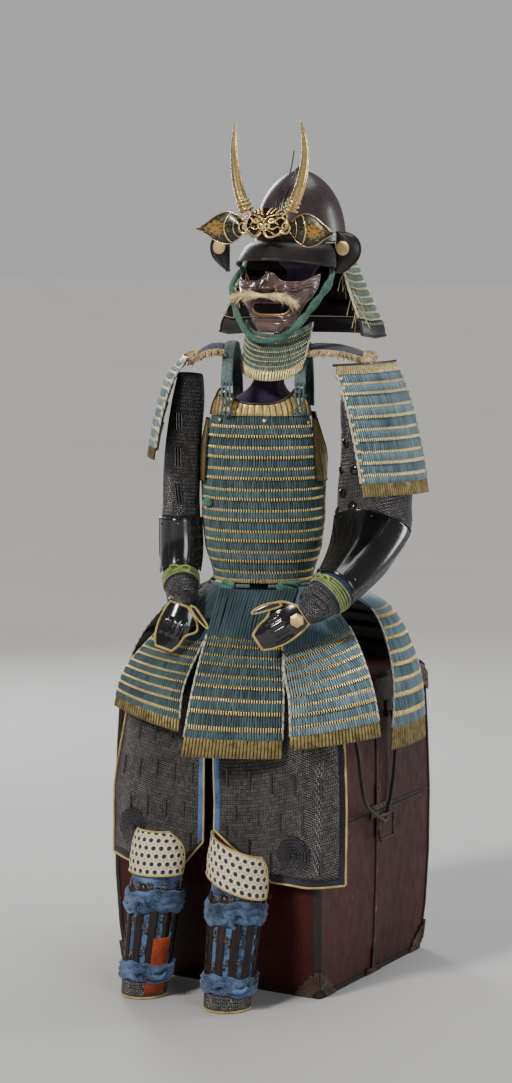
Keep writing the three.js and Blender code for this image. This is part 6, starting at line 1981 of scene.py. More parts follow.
def mail_paint(name, wire_glint, dull, ground):
    """Small linked iron rings drawn in colour: each wire is painted bright along its middle and dull at its
    sides, a painted glint on the round wire, over a ground of the cloth's colour darkened as painted shade.
    """
    made, tree, shader = paint(name, roughness=0.34, metallic=0.30)
    links = staggered_cells(tree, 0.0072)
    away = node(tree, "ShaderNodeMath", {0: links["Distance"], 1: 0.34}, operation="SUBTRACT")
    off_wire = node(tree, "ShaderNodeMath", {0: away.outputs[0]}, operation="ABSOLUTE")
    rusted = node(tree, "ShaderNodeMath", {0: links["Random"], 1: 0.045, 2: off_wire.outputs[0]},
                  operation="MULTIPLY_ADD")
    # Bright along the wire's middle and dull at its sides is a painted glint; near black between the rings is painted
    # shade; the small shift from ring to ring is rust.
    tree.links.new(ramp(tree, rusted.outputs[0], [(0.04, wire_glint), (0.10, dull), (0.18, ground)]),
                   shader.inputs["Base Color"])
    bump(tree, shader, off_wire.outputs[0], -0.0050, 1.0)
    return made


# First colour: the wires' painted glint; last colour: the cloth between the rings, darkened as painted shade.
sleeve_mail = mail_paint("sleeve mail", (0.27, 0.245, 0.21), (0.026, 0.025, 0.028), (0.005, 0.008, 0.022))
thigh_mail = mail_paint("thigh mail", (0.25, 0.225, 0.195), (0.019, 0.017, 0.020), (0.003, 0.003, 0.008))
# Indigo cloth of the sleeves and the thigh guards, darkened nearly to black as painted shade, since it is seen mostly
# through and beside the mail.
sleeve_cloth_shaded = cloth_paint("sleeve cloth", (0.005, 0.008, 0.020), (0.028, 0.050, 0.105), threads=1300,
                           size=11)
thigh_cloth_shaded = cloth_paint("thigh cloth with painted shade", (0.006, 0.006, 0.010), (0.026, 0.026, 0.042), threads=1300,
                          size=11)


def tube(table, rows, sides, out=0.0):
    """Outer grid of a sleeve: oval sections square to its path, from shoulder to wrist."""
    fine = finer(table, rows)
    path = fine[:, :3]
    ahead = np.gradient(path, axis=0)
    ahead /= np.linalg.norm(ahead, axis=1)[:, None]
    a = np.radians(fine[:, 5])
    level = np.stack([np.cos(a), np.sin(a), 0 * a], -1)
    back = np.cross(level, ahead)
    back /= np.linalg.norm(back, axis=1)[:, None]
    across = np.cross(ahead, back)
    turn = np.linspace(0, 2 * np.pi, sides, endpoint=False)
    return (path[:, None] + across[:, None] * (fine[:, 3, None] + out)[..., None]
            * np.sin(turn)[None, :, None]
            + back[:, None] * (fine[:, 4, None] + out)[..., None] * np.cos(turn)[None, :, None])


def on_grid(grid, r, c, wrap=False):
    """Points of a grid at fractional rows and columns."""
    r0, c0 = np.floor(r).astype(int), np.floor(c).astype(int)
    rows, columns = grid.shape[:2]
    r0 = np.clip(r0, 0, rows - 2)
    fr, fc = (r - r0)[..., None], (c - c0)[..., None]
    pick = (lambda k: k % columns) if wrap else (lambda k: np.clip(k, 0, columns - 1))
    top = grid[r0, pick(c0)] * (1 - fc) + grid[r0, pick(c0 + 1)] * fc
    low = grid[r0 + 1, pick(c0)] * (1 - fc) + grid[r0 + 1, pick(c0 + 1)] * fc
    return top * (1 - fr) + low * fr


def mail(name, grid, wrap, keep, inside, material):
    """Mail 0.8 mm thick over a grid of points; `keep(points, rows, columns)` says where there is some."""
    rows = len(grid) - 1
    columns = grid.shape[1] if wrap else grid.shape[1] - 1
    r, c = np.meshgrid((np.arange(rows) + 0.5) / rows, (np.arange(columns) + 0.5) / columns, indexing="ij")
    wanted = keep(on_grid(grid, r * rows, c * columns, wrap), r, c)
    along = (np.roll(grid, -1, 1) - np.roll(grid, 1, 1)) if wrap else np.gradient(grid, axis=1)
    normal = np.cross(along, np.gradient(grid, axis=0))
    normal /= np.maximum(np.linalg.norm(normal, axis=2), 1e-12)[..., None]
    normal *= np.sign((normal * (grid - np.asarray(inside, float))).sum())
    made = wall_piece(name, grid + normal * 0.0013, 0.0008, inside, material, wrap, hole=lambda i,
                      j: not wanted[i, j])
    dress(made, "mail_on_indigo")
    return made


PLATES = {"left": (5, 8, 100, 256), "right": (4, 6, 96, 264)}          # first row, last row, from, to
TIES = {"left": (8.12, 8.90), "right": (6.12, 6.90)}
tie_silk = cloth_paint("wrist tie silk", (0.12, 0.16, 0.025), (0.33, 0.40, 0.10), threads=1800, size=34,
                       sheen=0.4)
for side in ("left", "right"):
    table = SLEEVES[side]
    rows = 88
    grid = tube(table, rows, 56)
    middle = np.array(table[4][:3])
    turn = np.linspace(0, 2 * np.pi, 56, endpoint=False)
    v = np.linspace(0, 1, rows)[:, None]
    # Creases gather at the bend of the elbow and die out towards the shoulder and the wrist.
    bend = np.exp(-((v - (0.47 if side == "left" else 0.60)) / 0.13) ** 2)
    folds = 0.0024 * bend * np.sin(34 * v * (1 + 0.12 * np.sin(turn))
                                   + 2.2 * np.cos(turn - 0.7)) + 0.0010 * np.sin(9 * turn + 17 * v) * (0.3
                                       + 0.7 * bend)
    outward = grid - grid.mean(1, keepdims=True)
    outward /= np.linalg.norm(outward, axis=2)[..., None]
    grid = grid + outward * (np.minimum(folds, 0.0016) - 0.0008)[..., None]
    sleeve = wall_piece(f"sleeve_cloth_{side}", grid, 0.0018, middle, sleeve_cloth_shaded, wrap=True)
    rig.replaces(sleeve, f"sleeve_{side}")
    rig.slot(sleeve, "mail_on_indigo")
    mesh_area = sum(p.area for p in sleeve.data.polygons) / 2
    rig.ride(sleeve, "root")
    first, last, start, end = PLATES[side]
    sections = len(table) - 1

    def sewn(p, r, c, side=side, first=first, last=last, start=start, end=end, sections=sections):
        angle = c * 360
        under_plate = (r * sections > first - 0.05) & (r * sections < last + 0.1) & (angle > start
            - 3) & (angle < end + 3)
        under_tie = (r * sections > TIES[side][0] - 0.04) & (r * sections < TIES[side][1] + 0.04)
        bare = (side == "right") & (np.abs(r - 0.58) < 0.016 + 0.02 * np.sin(np.radians(angle * 3)))
        return ~(under_plate | under_tie | bare) & (r > 0.01) & (r < 0.985) & (np.abs(angle - 180) < 146)

    mail(f"sleeve_mail_{side}", grid, True, sewn, middle, sleeve_mail)
    flat = (0.44, round(mesh_area / 0.44, 3)) if side == "left" else (0.29, round(mesh_area / 0.29, 3))
    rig.sheet(sleeve, flat=flat, held="draped", rests_on=["shoulder_guard_" + side])

    # Forearm plate: one long curved plate with rolled edges and rivets.
    fine = tube(table, 150, 180, 0.0056)
    r = np.linspace(first, last, 36) / sections * 149
    c = np.linspace(start, end, 48) / 360 * 180
    crown = 0.0012 * np.sin(np.pi * np.linspace(0, 1, 36))[:, None] * np.ones(48)
    g = np.array([on_grid(fine, np.full(48, k), c, True) for k in r])
    normal = g - np.array([on_grid(tube(table, 150, 180, 0.0), np.full(48, k), c, True) for k in r])
    normal /= np.linalg.norm(normal, axis=2)[..., None]
    g = g + normal * crown[..., None]
    core = np.array(table[first + 1][:3])
    plate = wall_piece(f"forearm_guard_{side}", g, 0.0022, core, gloss_black)
    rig.replaces(plate, f"forearm_plate_{side}")
    rim = run(f"forearm_guard_rim_{side}", [np.vstack([g[0], g[1:, -1], g[-1, ::-1][1:], g[::-1, 0][1:]])],
              0.0012, gloss_black, 6)
    seams = run(f"forearm_guard_seams_{side}", [g[2:-2, k] + normal[2:-2, k] * 0.0004 for k in (16, 32)],
                0.0009, gloss_black, 6)
    heads = [(g[i, j] + normal[i, j] * 0.0003, normal[i, j]) for i in (3, 32) for j in (8, 24, 40)]
    rivets = lay(f"forearm_guard_rivets_{side}", [h[0] for h in heads], facing([h[1] for h in heads]),
                 (0.0065, 0.0065, 0.006), nail_head, gloss_black)
    for piece in (plate, rim, seams, rivets):
        dress(piece, "black_lacquer")

    # Wrist tie: cord wound five times and knotted on the outer side.
    low, high = TIES[side]
    tube_wide = tube(table, 150, 180, 0.0021)
    t = np.linspace(0, 1, 300)
    path = on_grid(tube_wide, (low + 0.06 + (high - low - 0.12) * t) / sections * 149,
                   (t * 5.0) % 1.0 * 180, True)
    wound = sweep(f"wound_tie_{side}", path, 0.0020, tie_silk, 8, strands(2, 0.010, 0.25))
    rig.replaces(wound, f"wrist_tie_{side}")
    knot_at = on_grid(tube_wide, np.array([(low + high) / 2 / sections * 149]),
                      np.array([(0.52 if side == "left" else 0.50) * 180]), True)[0]
    away = knot_at - np.array(table[int(low)][:3])
    away /= np.linalg.norm(away)
    lift = np.cross(away, (0, 0, 1.0))
    loops = [smooth_path([knot_at + away * 0.002 + lift * a + np.array((0, 0, b)) for a, b in route],
                         16)[0] for route in (
        ((0, 0), (0.010, 0.006), (0.022, 0.003), (0.016, -0.005), (0.002, -0.001)),
        ((0, 0), (-0.010, 0.005), (-0.021, 0.000), (-0.014, -0.007), (-0.001, -0.001)),
        ((0.001, 0), (0.008, -0.010), (0.012, -0.022)), ((-0.001, 0), (-0.006, -0.011), (-0.006, -0.024)))]
    knot = run(f"tie_knot_{side}", loops, 0.0021, tie_silk, 6)
    for piece in (wound, knot):
        dress(piece, "yellow_green_cord")

# Dark splints and discs sewn into the sleeves' mail.
splint_bars, discs = [], []
grid = tube(SLEEVES["right"], 150, 180, 0.0022)
for r0, c0 in ((0.20, 0.55), (0.31, 0.53), (0.42, 0.51)):
    for k in (-1, 0, 1):
        r = np.linspace(r0 - 0.028, r0 + 0.028, 6) * 149
        c = (c0 + 0.024 * k - 0.010 * np.linspace(-1, 1, 6)) * 180
        splint_bars.append(on_grid(grid, r, c, True))
grid = tube(SLEEVES["left"], 150, 180, 0.0022)
for r0, c0 in ((0.30, 0.60), (0.30, 0.70), (0.39, 0.66), (0.22, 0.66), (0.46, 0.60), (0.47, 0.70)):
    p = on_grid(grid, np.array([r0 * 149]), np.array([c0 * 180]), True)[0]
    discs.append((p, p - on_grid(tube(SLEEVES["left"], 150, 180, 0.0), np.array([r0 * 149]),
                                 np.array([c0 * 180]), True)[0]))
splints = run("sleeve_splints", splint_bars, 0.0022, gloss_black, 6)
sleeve_discs = lay("sleeve_discs", [d[0] for d in discs], facing([d[1] for d in discs]),
                   (0.020, 0.020, 0.010), nail_head, gloss_black)
for piece in (splints, sleeve_discs):
    dress(piece, "black_lacquer")

# ---------- hand guards ----------
# Domed black plates over the back of the hand with bulging finger ridges, edged in yellow
# leather; the left one carries a gilt hexagon boss.
yellow_leather = cloth_paint("yellow leather", (0.28, 0.20, 0.06), (0.55, 0.43, 0.17), threads=700, size=40,
                             on_cut=False, sheen=0.1)
HAND_GUARD = [  # t, thumb, little
    (0, 0.016, 0.022), (0.18, 0.036, 0.027), (0.4, 0.044, 0.03), (0.6, 0.03, 0.03),
    (0.82, 0.025, 0.026), (1, 0.016, 0.018),
]
HANDS = {"left": ((0.188, -0.222, 0.746), (0.112, -0.262, 0.690), (0.5, -0.8, 0.45), (-0.4, -0.2, 1)),
         "right": ((-0.076, -0.230, 0.742), (-0.094, -0.266, 0.662), (0.2, -0.9, 0.35),
                   (1, 0.3, 0))}   # wrist, tips, up, thumb
THUMBS = {"left": ((0.25, 0.038), (0.79, 0.052), 0.002),
          "right": ((-0.05, 0.024), (0.27, 0.066), -0.003)}   # root, end, bow
for side, (wrist, tips, up, thumb) in HANDS.items():
    wrist, tips, up, thumb = (np.array(p, float) for p in (wrist, tips, up, thumb))
    along = (tips - wrist) / np.linalg.norm(tips - wrist)
    across = thumb - along * thumb.dot(along)
    across /= np.linalg.norm(across)
    out = np.cross(along, across)
    out *= np.sign(out.dot(up))
    grid = []
    fine_rows = finer(HAND_GUARD, 46)
    for t, near, far in fine_rows:
        w = np.linspace(-far, near, 41)
        u = w * 1000
        fingers = 0.0030 * np.abs(np.cos(np.pi * (u + 4) / 13.0)) ** 0.7 * np.clip((t - 0.30) / 0.1, 0,
            1) * np.clip((0.74 - t) / 0.08, 0, 1) * (np.abs(u + 1) < 25)
        lobe = 0.003 * np.exp(-(((u - 31) / 8) ** 2) - ((t - 0.36) / 0.16) ** 2)
        height = 0.012 - 12 * w * w - 0.010 * t ** 3 + fingers + lobe
        grid.append(wrist + (tips - wrist) * t + across * w[:, None] + out * height[:, None])
    g = np.array(grid)
    plate = wall_piece(f"hand_plate_{side}", g, 0.0022, (wrist + tips) / 2 - out * 0.06, gloss_black)
    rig.replaces(plate, f"hand_guard_{side}")
    edge = np.vstack([g[0], g[1:, -1], g[-1, ::-1][1:], g[::-1, 0][1:]])
    edging = sweep(f"hand_edging_{side}", smooth_path(edge, 240)[0] - out * 0.0008, 0.0026, yellow_leather,
                   8)
    # Mail on cloth bridges from the sleeve's end to the plate over the back of the wrist.
    end_ring = tube(SLEEVES[side], 150, 120)[-3]
    from_middle = end_ring - end_ring.mean(0)
    from_middle /= np.linalg.norm(from_middle, axis=1)[:, None]
    fan = np.radians(np.linspace(-86, 86, 41))
    nearest = [end_ring[np.argmax(from_middle @ (across * math.sin(f) + out * math.cos(f)))] for f in fan]
    nearest, _ = smooth_path(nearest[::5], 41)
    bridge = [nearest * (1 - t) + (g[1] + out * 0.0004) * t + out * 0.006 * math.sin(math.pi * t)
              for t in np.linspace(0, 1, 20)]
    wrist_cloth = wall_piece(f"wrist_cloth_{side}", bridge, 0.0018, (wrist + tips) / 2 - out * 0.08,
                             sleeve_cloth_shaded)
    dress(wrist_cloth, "mail_on_indigo")
    size = sum(p.area for p in wrist_cloth.data.polygons) / 2
    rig.sheet(wrist_cloth, flat=(0.07, round(size / 0.07, 3)), held="stretched", rests_on=[plate.name])
    mail(f"wrist_mail_{side}", np.array(bridge), False, lambda p, r,
         c: (r > 0.04) & (r < 0.93) & (c > 0.02) & (c < 0.98), (wrist + tips) / 2 - out * 0.08, sleeve_mail)
    # The thumb's own small plate, edged in the same leather.
    root, end, bow = THUMBS[side]
    thumb_rows = []
    for t in np.linspace(0, 1, 16):
        half = (0.0050 if side == "left" else 0.0080) * math.sqrt(max(0.02, 1 - (2 * t - 0.9) ** 2)) + 0.001
        at, w = root[0] + (end[0] - root[0]) * t, root[1] + (end[1]
            - root[1]) * t + bow * math.sin(math.pi * t)
        thumb_rows.append([wrist + (tips - wrist) * at + across * (w + half * q)
                           + out * (0.006 + 0.003 * (1 - q * q) - 0.006 * t)
                           for q in np.linspace(-1, 1, 7)])
    thumb_plate = wall_piece(f"thumb_plate_{side}", thumb_rows, 0.0018, (wrist + tips) / 2 - out * 0.06,
                             gloss_black)
    q = np.array(thumb_rows)
    thumb_edge = run(f"thumb_edging_{side}",
                     [np.vstack([q[0], q[1:, -1], q[-1, ::-1][1:], q[::-1, 0][1:]])], 0.0023,
                     yellow_leather, 8)
    parts = [(plate, "black_lacquer"), (edging, "hair"), (thumb_plate, "black_lacquer"),
             (thumb_edge, "hair")]
    if side == "left":
        centre = wrist + (tips - wrist) * 0.16 - across * 0.004 + out * 0.0122
        hexagon = []
        for size, h in ((0.0135, 0), (0.0135, 0.0018), (0.0118, 0.0030), (0.0050, 0.0052),
                        (0.0001, 0.0058)):
            a = np.linspace(0, 2 * np.pi, 48, endpoint=False)
            r = size / np.maximum(np.cos((a % (np.pi / 3)) - np.pi / 6), 0.5) * 0.9
            hexagon.append(centre + out * h + along * (r * np.cos(a))[:, None]
                           + across * (r * np.sin(a))[:, None])
        boss = crisp(skin("hand_boss_left", hexagon, boss_gilt), 25)
        parts.append((boss, "gilt"))
    for piece, own in parts:
        dress(piece, own)

# ---------- thigh guards ----------
# Two apron panels of cloth covered in mail, with small upright splints let into it and a mail
# rosette at the knee, bound in blue cloth and edged in yellow piping.
THIGHS = {
    "left": [
        (-0.172, 0.664, 0.008, 0.12), (-0.206, 0.628, 0.008, 0.176), (-0.238, 0.592, 0.009, 0.236),
        (-0.253, 0.52, 0.01, 0.264), (-0.258, 0.44, 0.012, 0.27), (-0.261, 0.372, 0.016, 0.272),
    ],
    "right": [
        (-0.172, 0.664, -0.01, -0.118), (-0.206, 0.628, -0.01, -0.16), (-0.236, 0.592, -0.01, -0.19),
        (-0.253, 0.508, -0.01, -0.2), (-0.257, 0.44, -0.01, -0.216), (-0.259, 0.372, -0.01, -0.232),
    ],
}
HEMS = {"left": ((0, 0.318), (0.2, 0.282), (0.5, 0.231), (1, 0.228)),
        "right": ((0, 0.290), (0.22, 0.234), (0.5, 0.224), (1, 0.240))}
BENDS = {"left": (0.205, 0.058), "right": (0.130, 0.026)}
rosette_iron = lacquer_paint("rosette iron", (0.030, 0.028, 0.028), (0.100, 0.090, 0.085),
                             (0.22, 0.19, 0.17), roughness=0.36, size=30, chips=0.5)
ring_turn, wire_turn = np.linspace(0, 2 * np.pi, 7)[:-1], np.linspace(0, 2 * np.pi, 4)[:-1]
link_points = [((0.42 + 0.13 * np.cos(w)) * np.cos(t), (0.42 + 0.13 * np.cos(w)) * np.sin(t),
                0.13 * np.sin(w)) for t in ring_turn for w in wire_turn]
link_faces = [(i * 3 + k, ((i + 1) % 6) * 3 + k, ((i + 1) % 6) * 3 + (k + 1) % 3, i * 3 + (k + 1) % 3)
              for i in range(6) for k in range(3)]
link_shape = mesh_piece("link", link_points, link_faces)
blue_lining = cloth_paint("blue binding", (0.020, 0.055, 0.135), (0.085, 0.170, 0.330), threads=1300,
                          size=20)
for side, table in THIGHS.items():
    start, back = BENDS[side]
    reach = abs(table[-1][3])
    hem_z = np.array(HEMS[side])
    body = finer(table, 90)

    def thigh_point(u, v, out=0.0, table=table, hem_z=hem_z, start=start, back=back, reach=reach,
                    body=body):
        """u runs from the inner edge to the outer one, v from 0 at the waist to 1 at the hem."""
        u, v = np.broadcast_arrays(np.asarray(u, float), np.asarray(v, float))
        upper = np.clip(v / 0.72, 0, 1) * (len(body) - 1)
        k = np.clip(upper.astype(int), 0, len(body) - 2)
        f = upper - k
        row = body[k] * (1 - f)[..., None] + body[k + 1] * f[..., None]
        low = np.clip((v - 0.72) / 0.28, 0, 1)
        z = row[..., 1] * (1 - low) + np.interp(u, hem_z[:, 0], hem_z[:, 1]) * low
        x = row[..., 2] * (1 - u) + row[..., 3] * u
        past = np.maximum(0, (np.abs(x) - start) / (reach - start))
        ripple = 0.0012 * np.sin(u * 19 + 2 * v) * np.clip(v * 2 - 0.6, 0, 1)
        y = row[..., 0] - 0.003 * low + back * past ** 2 - out + ripple
        return np.stack([x, y, z], -1)

    U, Vv = np.meshgrid(np.linspace(0, 1, 60), np.linspace(0, 1, 72))
    grid = thigh_point(U, Vv)
    cloth = wall_piece(f"thigh_cloth_{side}", grid, 0.0022, (0, 0.4, 0.4), thigh_cloth_shaded)
    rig.replaces(cloth, f"thigh_guard_{side}")
    dress(cloth, "mail_on_indigo")
    area = sum(p.area for p in cloth.data.polygons) / 2
    width = 0.27 if side == "left" else 0.23
    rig.sheet(cloth, flat=(width, round(area / width, 3)), held="hung", rests_on=["box_lid"])
    rosette = thigh_point(np.array([0.68 if side == "left" else 0.74]),
                          np.array([0.885 if side == "left" else 0.86]))[0]

    def sewn(p, r, c, rosette=rosette):
        away = np.linalg.norm(p - rosette, axis=2)
        return (r > 0.02) & (r < 0.972) & (c > 0.035) & (c < 0.972) & (away > 0.034)

    mail(f"thigh_mail_{side}", grid, False, sewn, (0, 0.4, 0.4), thigh_mail)
    ring_points, ring_turns, ring_sizes = [], [], []
    for radius, count in ((0.007, 7), (0.0135, 13), (0.020, 19), (0.0265, 25), (0.0325, 30)):
        for a in np.linspace(0, 2 * np.pi, count, endpoint=False):
            p = rosette + np.array((radius * math.cos(a), 0, radius * math.sin(a)))
            past = max(0.0, (abs(p[0]) - start) / (reach - start))
            p[1] = table[-1][0] - 0.0026 + back * past ** 2 - 0.0016
            ring_points.append(p)
            ring_turns.append(((-math.sin(a), 0, math.cos(a)), (math.cos(a) * 1.0, -0.55, math.sin(a))))
            ring_sizes.append((0.0062, 0.0066, 0.0062))
    x_axes, y_axes = np.array([t[0] for t in ring_turns]), np.array([t[1] for t in ring_turns])
    rose = lay(f"thigh_rosette_{side}", ring_points, turns(x_axes, y_axes), np.array(ring_sizes),
               link_shape, rosette_iron, 0.1, 85)
    heart = lay(f"thigh_rosette_boss_{side}", [rosette - (0, 0.003, 0)], facing([(0, -1, 0)]),
                (0.011, 0.011, 0.010), nail_head, gloss_black)
    slits = []
    for j, v in enumerate(np.linspace(0.30, 0.92, 5)):
        for u in np.linspace(0.12, 0.88, 5) + (0.07 if j % 2 else 0.0):
            if u < 0.95:
                slits.append(thigh_point(np.full(5, u), np.linspace(v - 0.035, v + 0.035, 5), 0.0022))
    slits = [s for s in slits if np.linalg.norm(s[2] - rosette) > 0.042]
    rafts = run(f"thigh_splints_{side}", slits, 0.0024, gloss_black, 6)
    outline = np.vstack([thigh_point(np.zeros(60), np.linspace(0.02, 1, 60), 0.0006),
                         thigh_point(np.linspace(0, 1, 60)[1:], np.ones(59), 0.0006),
                         thigh_point(np.ones(60), np.linspace(1, 0.02, 60), 0.0006)[1:]])
    piping = sweep(f"thigh_piping_{side}", smooth_path(outline, 220)[0], 0.0021, yellow_leather, 8)
    inner_binding = wall_piece(f"thigh_binding_{side}",
                               [thigh_point(np.linspace(0.0, 0.05, 5), np.full(5, v), 0.0022)
                                for v in np.linspace(0.02, 0.98, 40)], 0.0012, (0, 0.4, 0.4), blue_lining)
    for piece, own in ((rose, "mail_on_indigo"), (heart, "black_lacquer"), (rafts, "black_lacquer"),
                       (piping, "hair"), (inner_binding, "blue_cloth")):
        dress(piece, own)

# ---------- shin guards ----------
# Faded blue cloth round the front of the shin with dark lacquered splints sewn to it, mail
# between them at the foot, two wound cloth ties and a cream quilted knee guard.
SHINS = {
    "left": [
        (0.093, -0.345, 0.0005, 0.043, 0.044), (0.095, -0.332, 0.09, 0.047, 0.046),
        (0.097, -0.318, 0.18, 0.051, 0.048), (0.098, -0.305, 0.262, 0.053, 0.048),
    ],
    "right": [
        (-0.093, -0.345, 0.0005, 0.042, 0.044), (-0.089, -0.332, 0.09, 0.046, 0.046),
        (-0.085, -0.318, 0.18, 0.049, 0.048), (-0.081, -0.305, 0.264, 0.05, 0.048),
    ],
}
KNEES = {
    "left": [
        (0.098, -0.308, 0.234, 0.061, 0.056, 88), (0.098, -0.304, 0.262, 0.062, 0.057, 88),
        (0.098, -0.3, 0.29, 0.059, 0.054, 84), (0.097, -0.297, 0.31, 0.057, 0.05, 70),
    ],
    "right": [
        (-0.081, -0.308, 0.238, 0.056, 0.054, 86), (-0.08, -0.304, 0.268, 0.057, 0.055, 86),
        (-0.079, -0.3, 0.296, 0.055, 0.053, 74), (-0.079, -0.297, 0.32, 0.05, 0.046, 44),
    ],
}
shin_cloth = cloth_paint("faded blue cloth", (0.003, 0.009, 0.028), (0.120, 0.205, 0.360), threads=1200,
                         size=30, depth=0.0005)
splint_lacquer = lacquer_paint("splint lacquer", (0.006, 0.003, 0.003), (0.022, 0.009, 0.008),
                               (0.08, 0.04, 0.03), roughness=0.36, size=18, chips=0.46, specular=0.35,
                               coat=0.0)
orange_leather = cloth_paint("red leather", (0.13, 0.020, 0.009), (0.36, 0.064, 0.022), threads=500,
                             size=20, sheen=0.05)
tie_cloth = cloth_paint("mottled indigo tie cloth", (0.002, 0.005, 0.014), (0.105, 0.175, 0.315),
                        threads=1200, size=26, depth=0.0004)
quilt, tree, shader = paint("quilted knee cloth", roughness=0.9, specular=0.2, sheen=0.2)
from_centre = staggered_cells(tree, 0.0152)["Distance"]
worn = use(tree, age, {"Vector": node(tree, "ShaderNodeTexCoord").outputs["Object"], "Size": 30.0})
wobble = node(tree, "ShaderNodeMath", {0: worn.outputs["Fine"], 1: 0.16, 2: from_centre},
              operation="MULTIPLY_ADD")
# A dark stitched dot at each cell's middle; the cream is brightest on the puff and turns brown towards the cell's
# edge, where the bump sinks: painted shade between the puffs.
tree.links.new(ramp(tree, wobble.outputs[0],
                    [(0.34, (0.020, 0.028, 0.065)), (0.39, (0.50, 0.42, 0.26)), (0.56, (0.76, 0.67, 0.44)),
                     (0.68, (0.34, 0.27, 0.14))]), shader.inputs["Base Color"])
bump(tree, shader, from_centre, -0.0030, 1.0)


def shin_point(table, angle, z, out=0.0):
    t = np.array(table, float)
    x, y, wide, deep = (np.interp(z, t[:, 2], t[:, k]) for k in (0, 1, 3, 4))
    a = np.radians(angle)
    return np.stack(np.broadcast_arrays(x + (wide + out) * np.sin(a), y - (deep + out) * np.cos(a), z), -1)


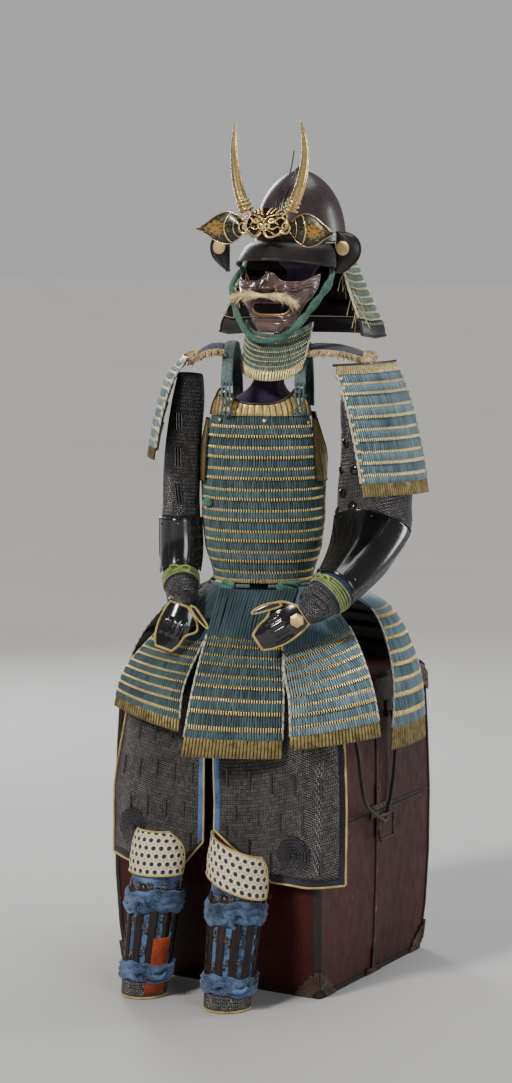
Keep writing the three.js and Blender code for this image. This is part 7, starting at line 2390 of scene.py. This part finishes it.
# Loose ends of the ties' knots: across, up and out from the knot.
KNOT_ENDS = {
    "top": (((0, 0, 0.001), (0.010, 0.008, 0.002), (0.022, 0.006, 0), (0.030, -0.003, -0.004)),
            ((0, -0.002, 0.001), (-0.008, -0.009, 0.003), (-0.019, -0.010, 0.001),
             (-0.028, -0.004, -0.003)),
            ((0.001, -0.003, 0.001), (0.003, -0.013, 0.002), (0.009, -0.024, -0.003))),
    "low": (((0, 0, 0.001), (0.012, -0.005, 0.003), (0.024, -0.006, 0.001), (0.034, 0.002, -0.003)),
            ((0, 0.001, 0.001), (-0.012, 0.008, 0.003), (-0.022, 0.008, 0.001), (-0.030, 0.001, -0.002)))}
for side, table in SHINS.items():
    core = np.array((table[1][0], 0.0, 0.14))
    top = table[-1][2]
    turn = np.linspace(-112, 112, 67)
    grid = []
    for z in np.linspace(0.0009, top, 68):
        wrinkle = 0.0010 * np.sin(turn * 0.16 + z * 130) * np.sin(z * 90
            + turn * 0.05) + 0.0006 * np.sin(z * 310 + turn * 0.3)
        grid.append(shin_point(table, turn, z, np.minimum(wrinkle, 0.0008) - 0.0004))
    cloth = wall_piece(f"shin_cloth_{side}", grid, 0.0018, core, shin_cloth)
    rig.replaces(cloth, f"shin_guard_{side}")
    dress(cloth, "blue_cloth")
    area = sum(p.area for p in cloth.data.polygons) / 2
    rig.sheet(cloth, flat=(0.19, round(area / 0.19, 3)), held="stretched", rests_on=["floor"])
    bars = []
    for a in (-99, -66, -33, 0, 33, 66, 99):
        low, high = 0.036, 0.222 - 0.00018 * abs(a)
        bar = []
        for z in np.linspace(low, high, 20):
            half = 9.4 * min(1.0, (z - low) / 0.006 + 0.45, (high - z) / 0.010 + 0.35)
            line = np.linspace(-1, 1, 7)
            bar.append(shin_point(table, a + half * line, z, 0.0024 + 0.0016 * (1 - line ** 2)))
        bars.append(wall_piece("bar", bar, 0.0018, core, splint_lacquer))
    splints = join(f"shin_splints_{side}", bars)
    whole_grid = np.array([shin_point(table, np.linspace(-106, 106, 90), z, 0.0008)
                           for z in np.linspace(0.005, top - 0.006, 60)])

    def mail_bits(p, r, c, top=top):
        """Mail fills the foot and makes short patches between the splints at three heights."""
        z, between = p[..., 2], np.abs(((c * 212 - 106 + 16.5) % 33) - 16.5) > 9.4
        staggered = 0.012 * np.sin(np.floor((c * 212 - 106 + 16.5) / 33) * 2.4)
        patches = np.abs(z - 0.088 - staggered) < 0.0075
        patches |= np.abs(z - 0.140 + staggered) < 0.0075
        patches |= np.abs(z - 0.215) < 0.009
        return (z < 0.033) | (between & patches)

    mail(f"shin_mail_{side}", whole_grid, False, mail_bits, core, sleeve_mail)
    hem = run(f"shin_piping_{side}", [shin_point(table, np.linspace(-111, 111, 70), 0.0032, 0.0012)],
              0.0022, yellow_leather, 6)
    # Cloth ties: the band is gathered into soft cross folds, with a bow at the front.
    pieces_here = [(splints, "black_lacquer"), (hem, "hair")]
    for place, (low, high, knot_angle) in {"top": (0.168, 0.204, 18 if side == "left" else -10),
                                           "low": (0.036, 0.066, 30 if side == "left" else 36)}.items():
        band = []
        a = np.linspace(-112, 112, 96)
        for v in np.linspace(0, 1, 17):
            # Three rolls of gathered cloth that wind round each other, with short creases across.
            wind = v * 3.0 + 0.35 * np.sin(a * 0.030 + 0.8) + (0.6 if place == "top" else 0.1)
            rolls = 0.0044 * np.abs(np.sin(np.pi * wind)) ** 0.8
            creases = 0.0013 * np.sin(a * 0.30 + 7 * v + 2 * np.sin(a * 0.07)) * np.sin(a * 0.11 + 9 * v)
            edge = min(1.0, 7 * v + 0.1, 7 * (1 - v) + 0.1)
            sway = 0.0042 * np.sin(a * 0.045 + (0 if place == "top" else 1.6)) + 0.0016 * np.sin(a * 0.16
                + 3)
            band.append(shin_point(table, a, low - 0.003 + (high - low + 0.006) * v + sway,
                                   0.0046 + (rolls + creases + 0.0016) * edge))
        tie = wall_piece(f"shin_cloth_tie_{place}_{side}", band, 0.0034, core, tie_cloth)
        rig.replaces(tie, f"shin_tie_{place}_{side}")
        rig.sheet(tie, flat=(0.19, 0.060), held="gathered", rests_on=[cloth.name])
        z = (low + high) / 2
        centre = shin_point(table, knot_angle, z, 0.012)
        out = shin_point(table, knot_angle, z, 1.0) - shin_point(table, knot_angle, z, 0.0)
        right = np.cross((0, 0, 1.0), out)
        ends = [smooth_path([centre + right * a + np.array((0, 0, b)) + out * c for a, b, c in route],
                            22)[0] for route in KNOT_ENDS[place]]
        taper = np.concatenate([np.linspace(0.0040, 0.0052, 8), np.linspace(0.0052, 0.0030, 14)])
        bow = run(f"shin_knot_ends_{place}_{side}", ends, [taper] * len(ends), tie_cloth, 8)
        loop = np.linspace(0, 2 * np.pi, 24, endpoint=False)
        lump = skin(f"shin_knot_{place}_{side}",
                    [centre + out * (0.0080 * math.sin(p))
                     + right * ((0.0105 * math.cos(p)) * np.cos(loop)
                                * (1 + 0.14 * np.sin(5 * loop + 3 * p)))[:, None]
                    + np.array((0, 0, 1.0)) * ((0.0090 * math.cos(p)) * np.sin(loop)
                        * (1 + 0.14 * np.sin(5 * loop + 3 * p)))[:, None]
                        for p in np.linspace(-1.4, 1.4, 13)], tie_cloth)
        pieces_here += [(tie, "blue_cloth"), (bow, "blue_cloth"), (lump, "blue_cloth")]
    # Knee guard: quilted cloth with dark stitched dots, bound in blue, edged in yellow piping.
    lean = -0.36 if side == "left" else 0.0
    knee = finer([(z, x, y, wide, deep, r) for x, y, z, wide, deep, r in KNEES[side]], 32)
    grid = []
    for z, x, y, wide, deep, r in knee:
        a = np.radians(np.linspace(-r, r, 45))
        puff = 0.0022 * (1 - np.linspace(-1, 1, 45) ** 8)
        across = (wide + puff) * np.sin(a)
        grid.append(np.stack([x + across, y - (deep + puff) * np.cos(a), z + across * lean], -1))
    guard = wall_piece(f"knee_quilting_{side}", grid, 0.0035, core, quilt)
    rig.replaces(guard, f"knee_guard_{side}")
    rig.padded(guard, fill=0.5)
    g = np.array(grid)
    piping = run(f"knee_piping_{side}", [g[0], g[-1], g[:, 0], g[:, -1]], 0.0019, yellow_leather, 6)
    pieces_here += [(guard, "cream_quilting"), (piping, "hair")]
    if side == "right":
        patch = wall_piece("riding_patch_right",
                           [shin_point(table, np.linspace(38 - 180 * max(0, 0.06 - z), 80, 14), z,
                                       0.0046 + 0.0004 * math.sin(z * 60))
                                       for z in np.linspace(0.010, 0.118, 18)], 0.0016, core,
                                       orange_leather)
        pieces_here.append((patch, "blue_cloth"))
    for piece, own in pieces_here:
        dress(piece, own)


# The unit shapes and the guide meshes are only patterns, and go when everything is laid.
for shape in (nail_head, braid_shape, head_shape, link_shape):
    bpy.data.objects.remove(shape)

with open("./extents.json", "w") as file:
    json.dump({"cad": [list(c) for c in cad_box], "visual": [list(c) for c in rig.bounds()]}, file)
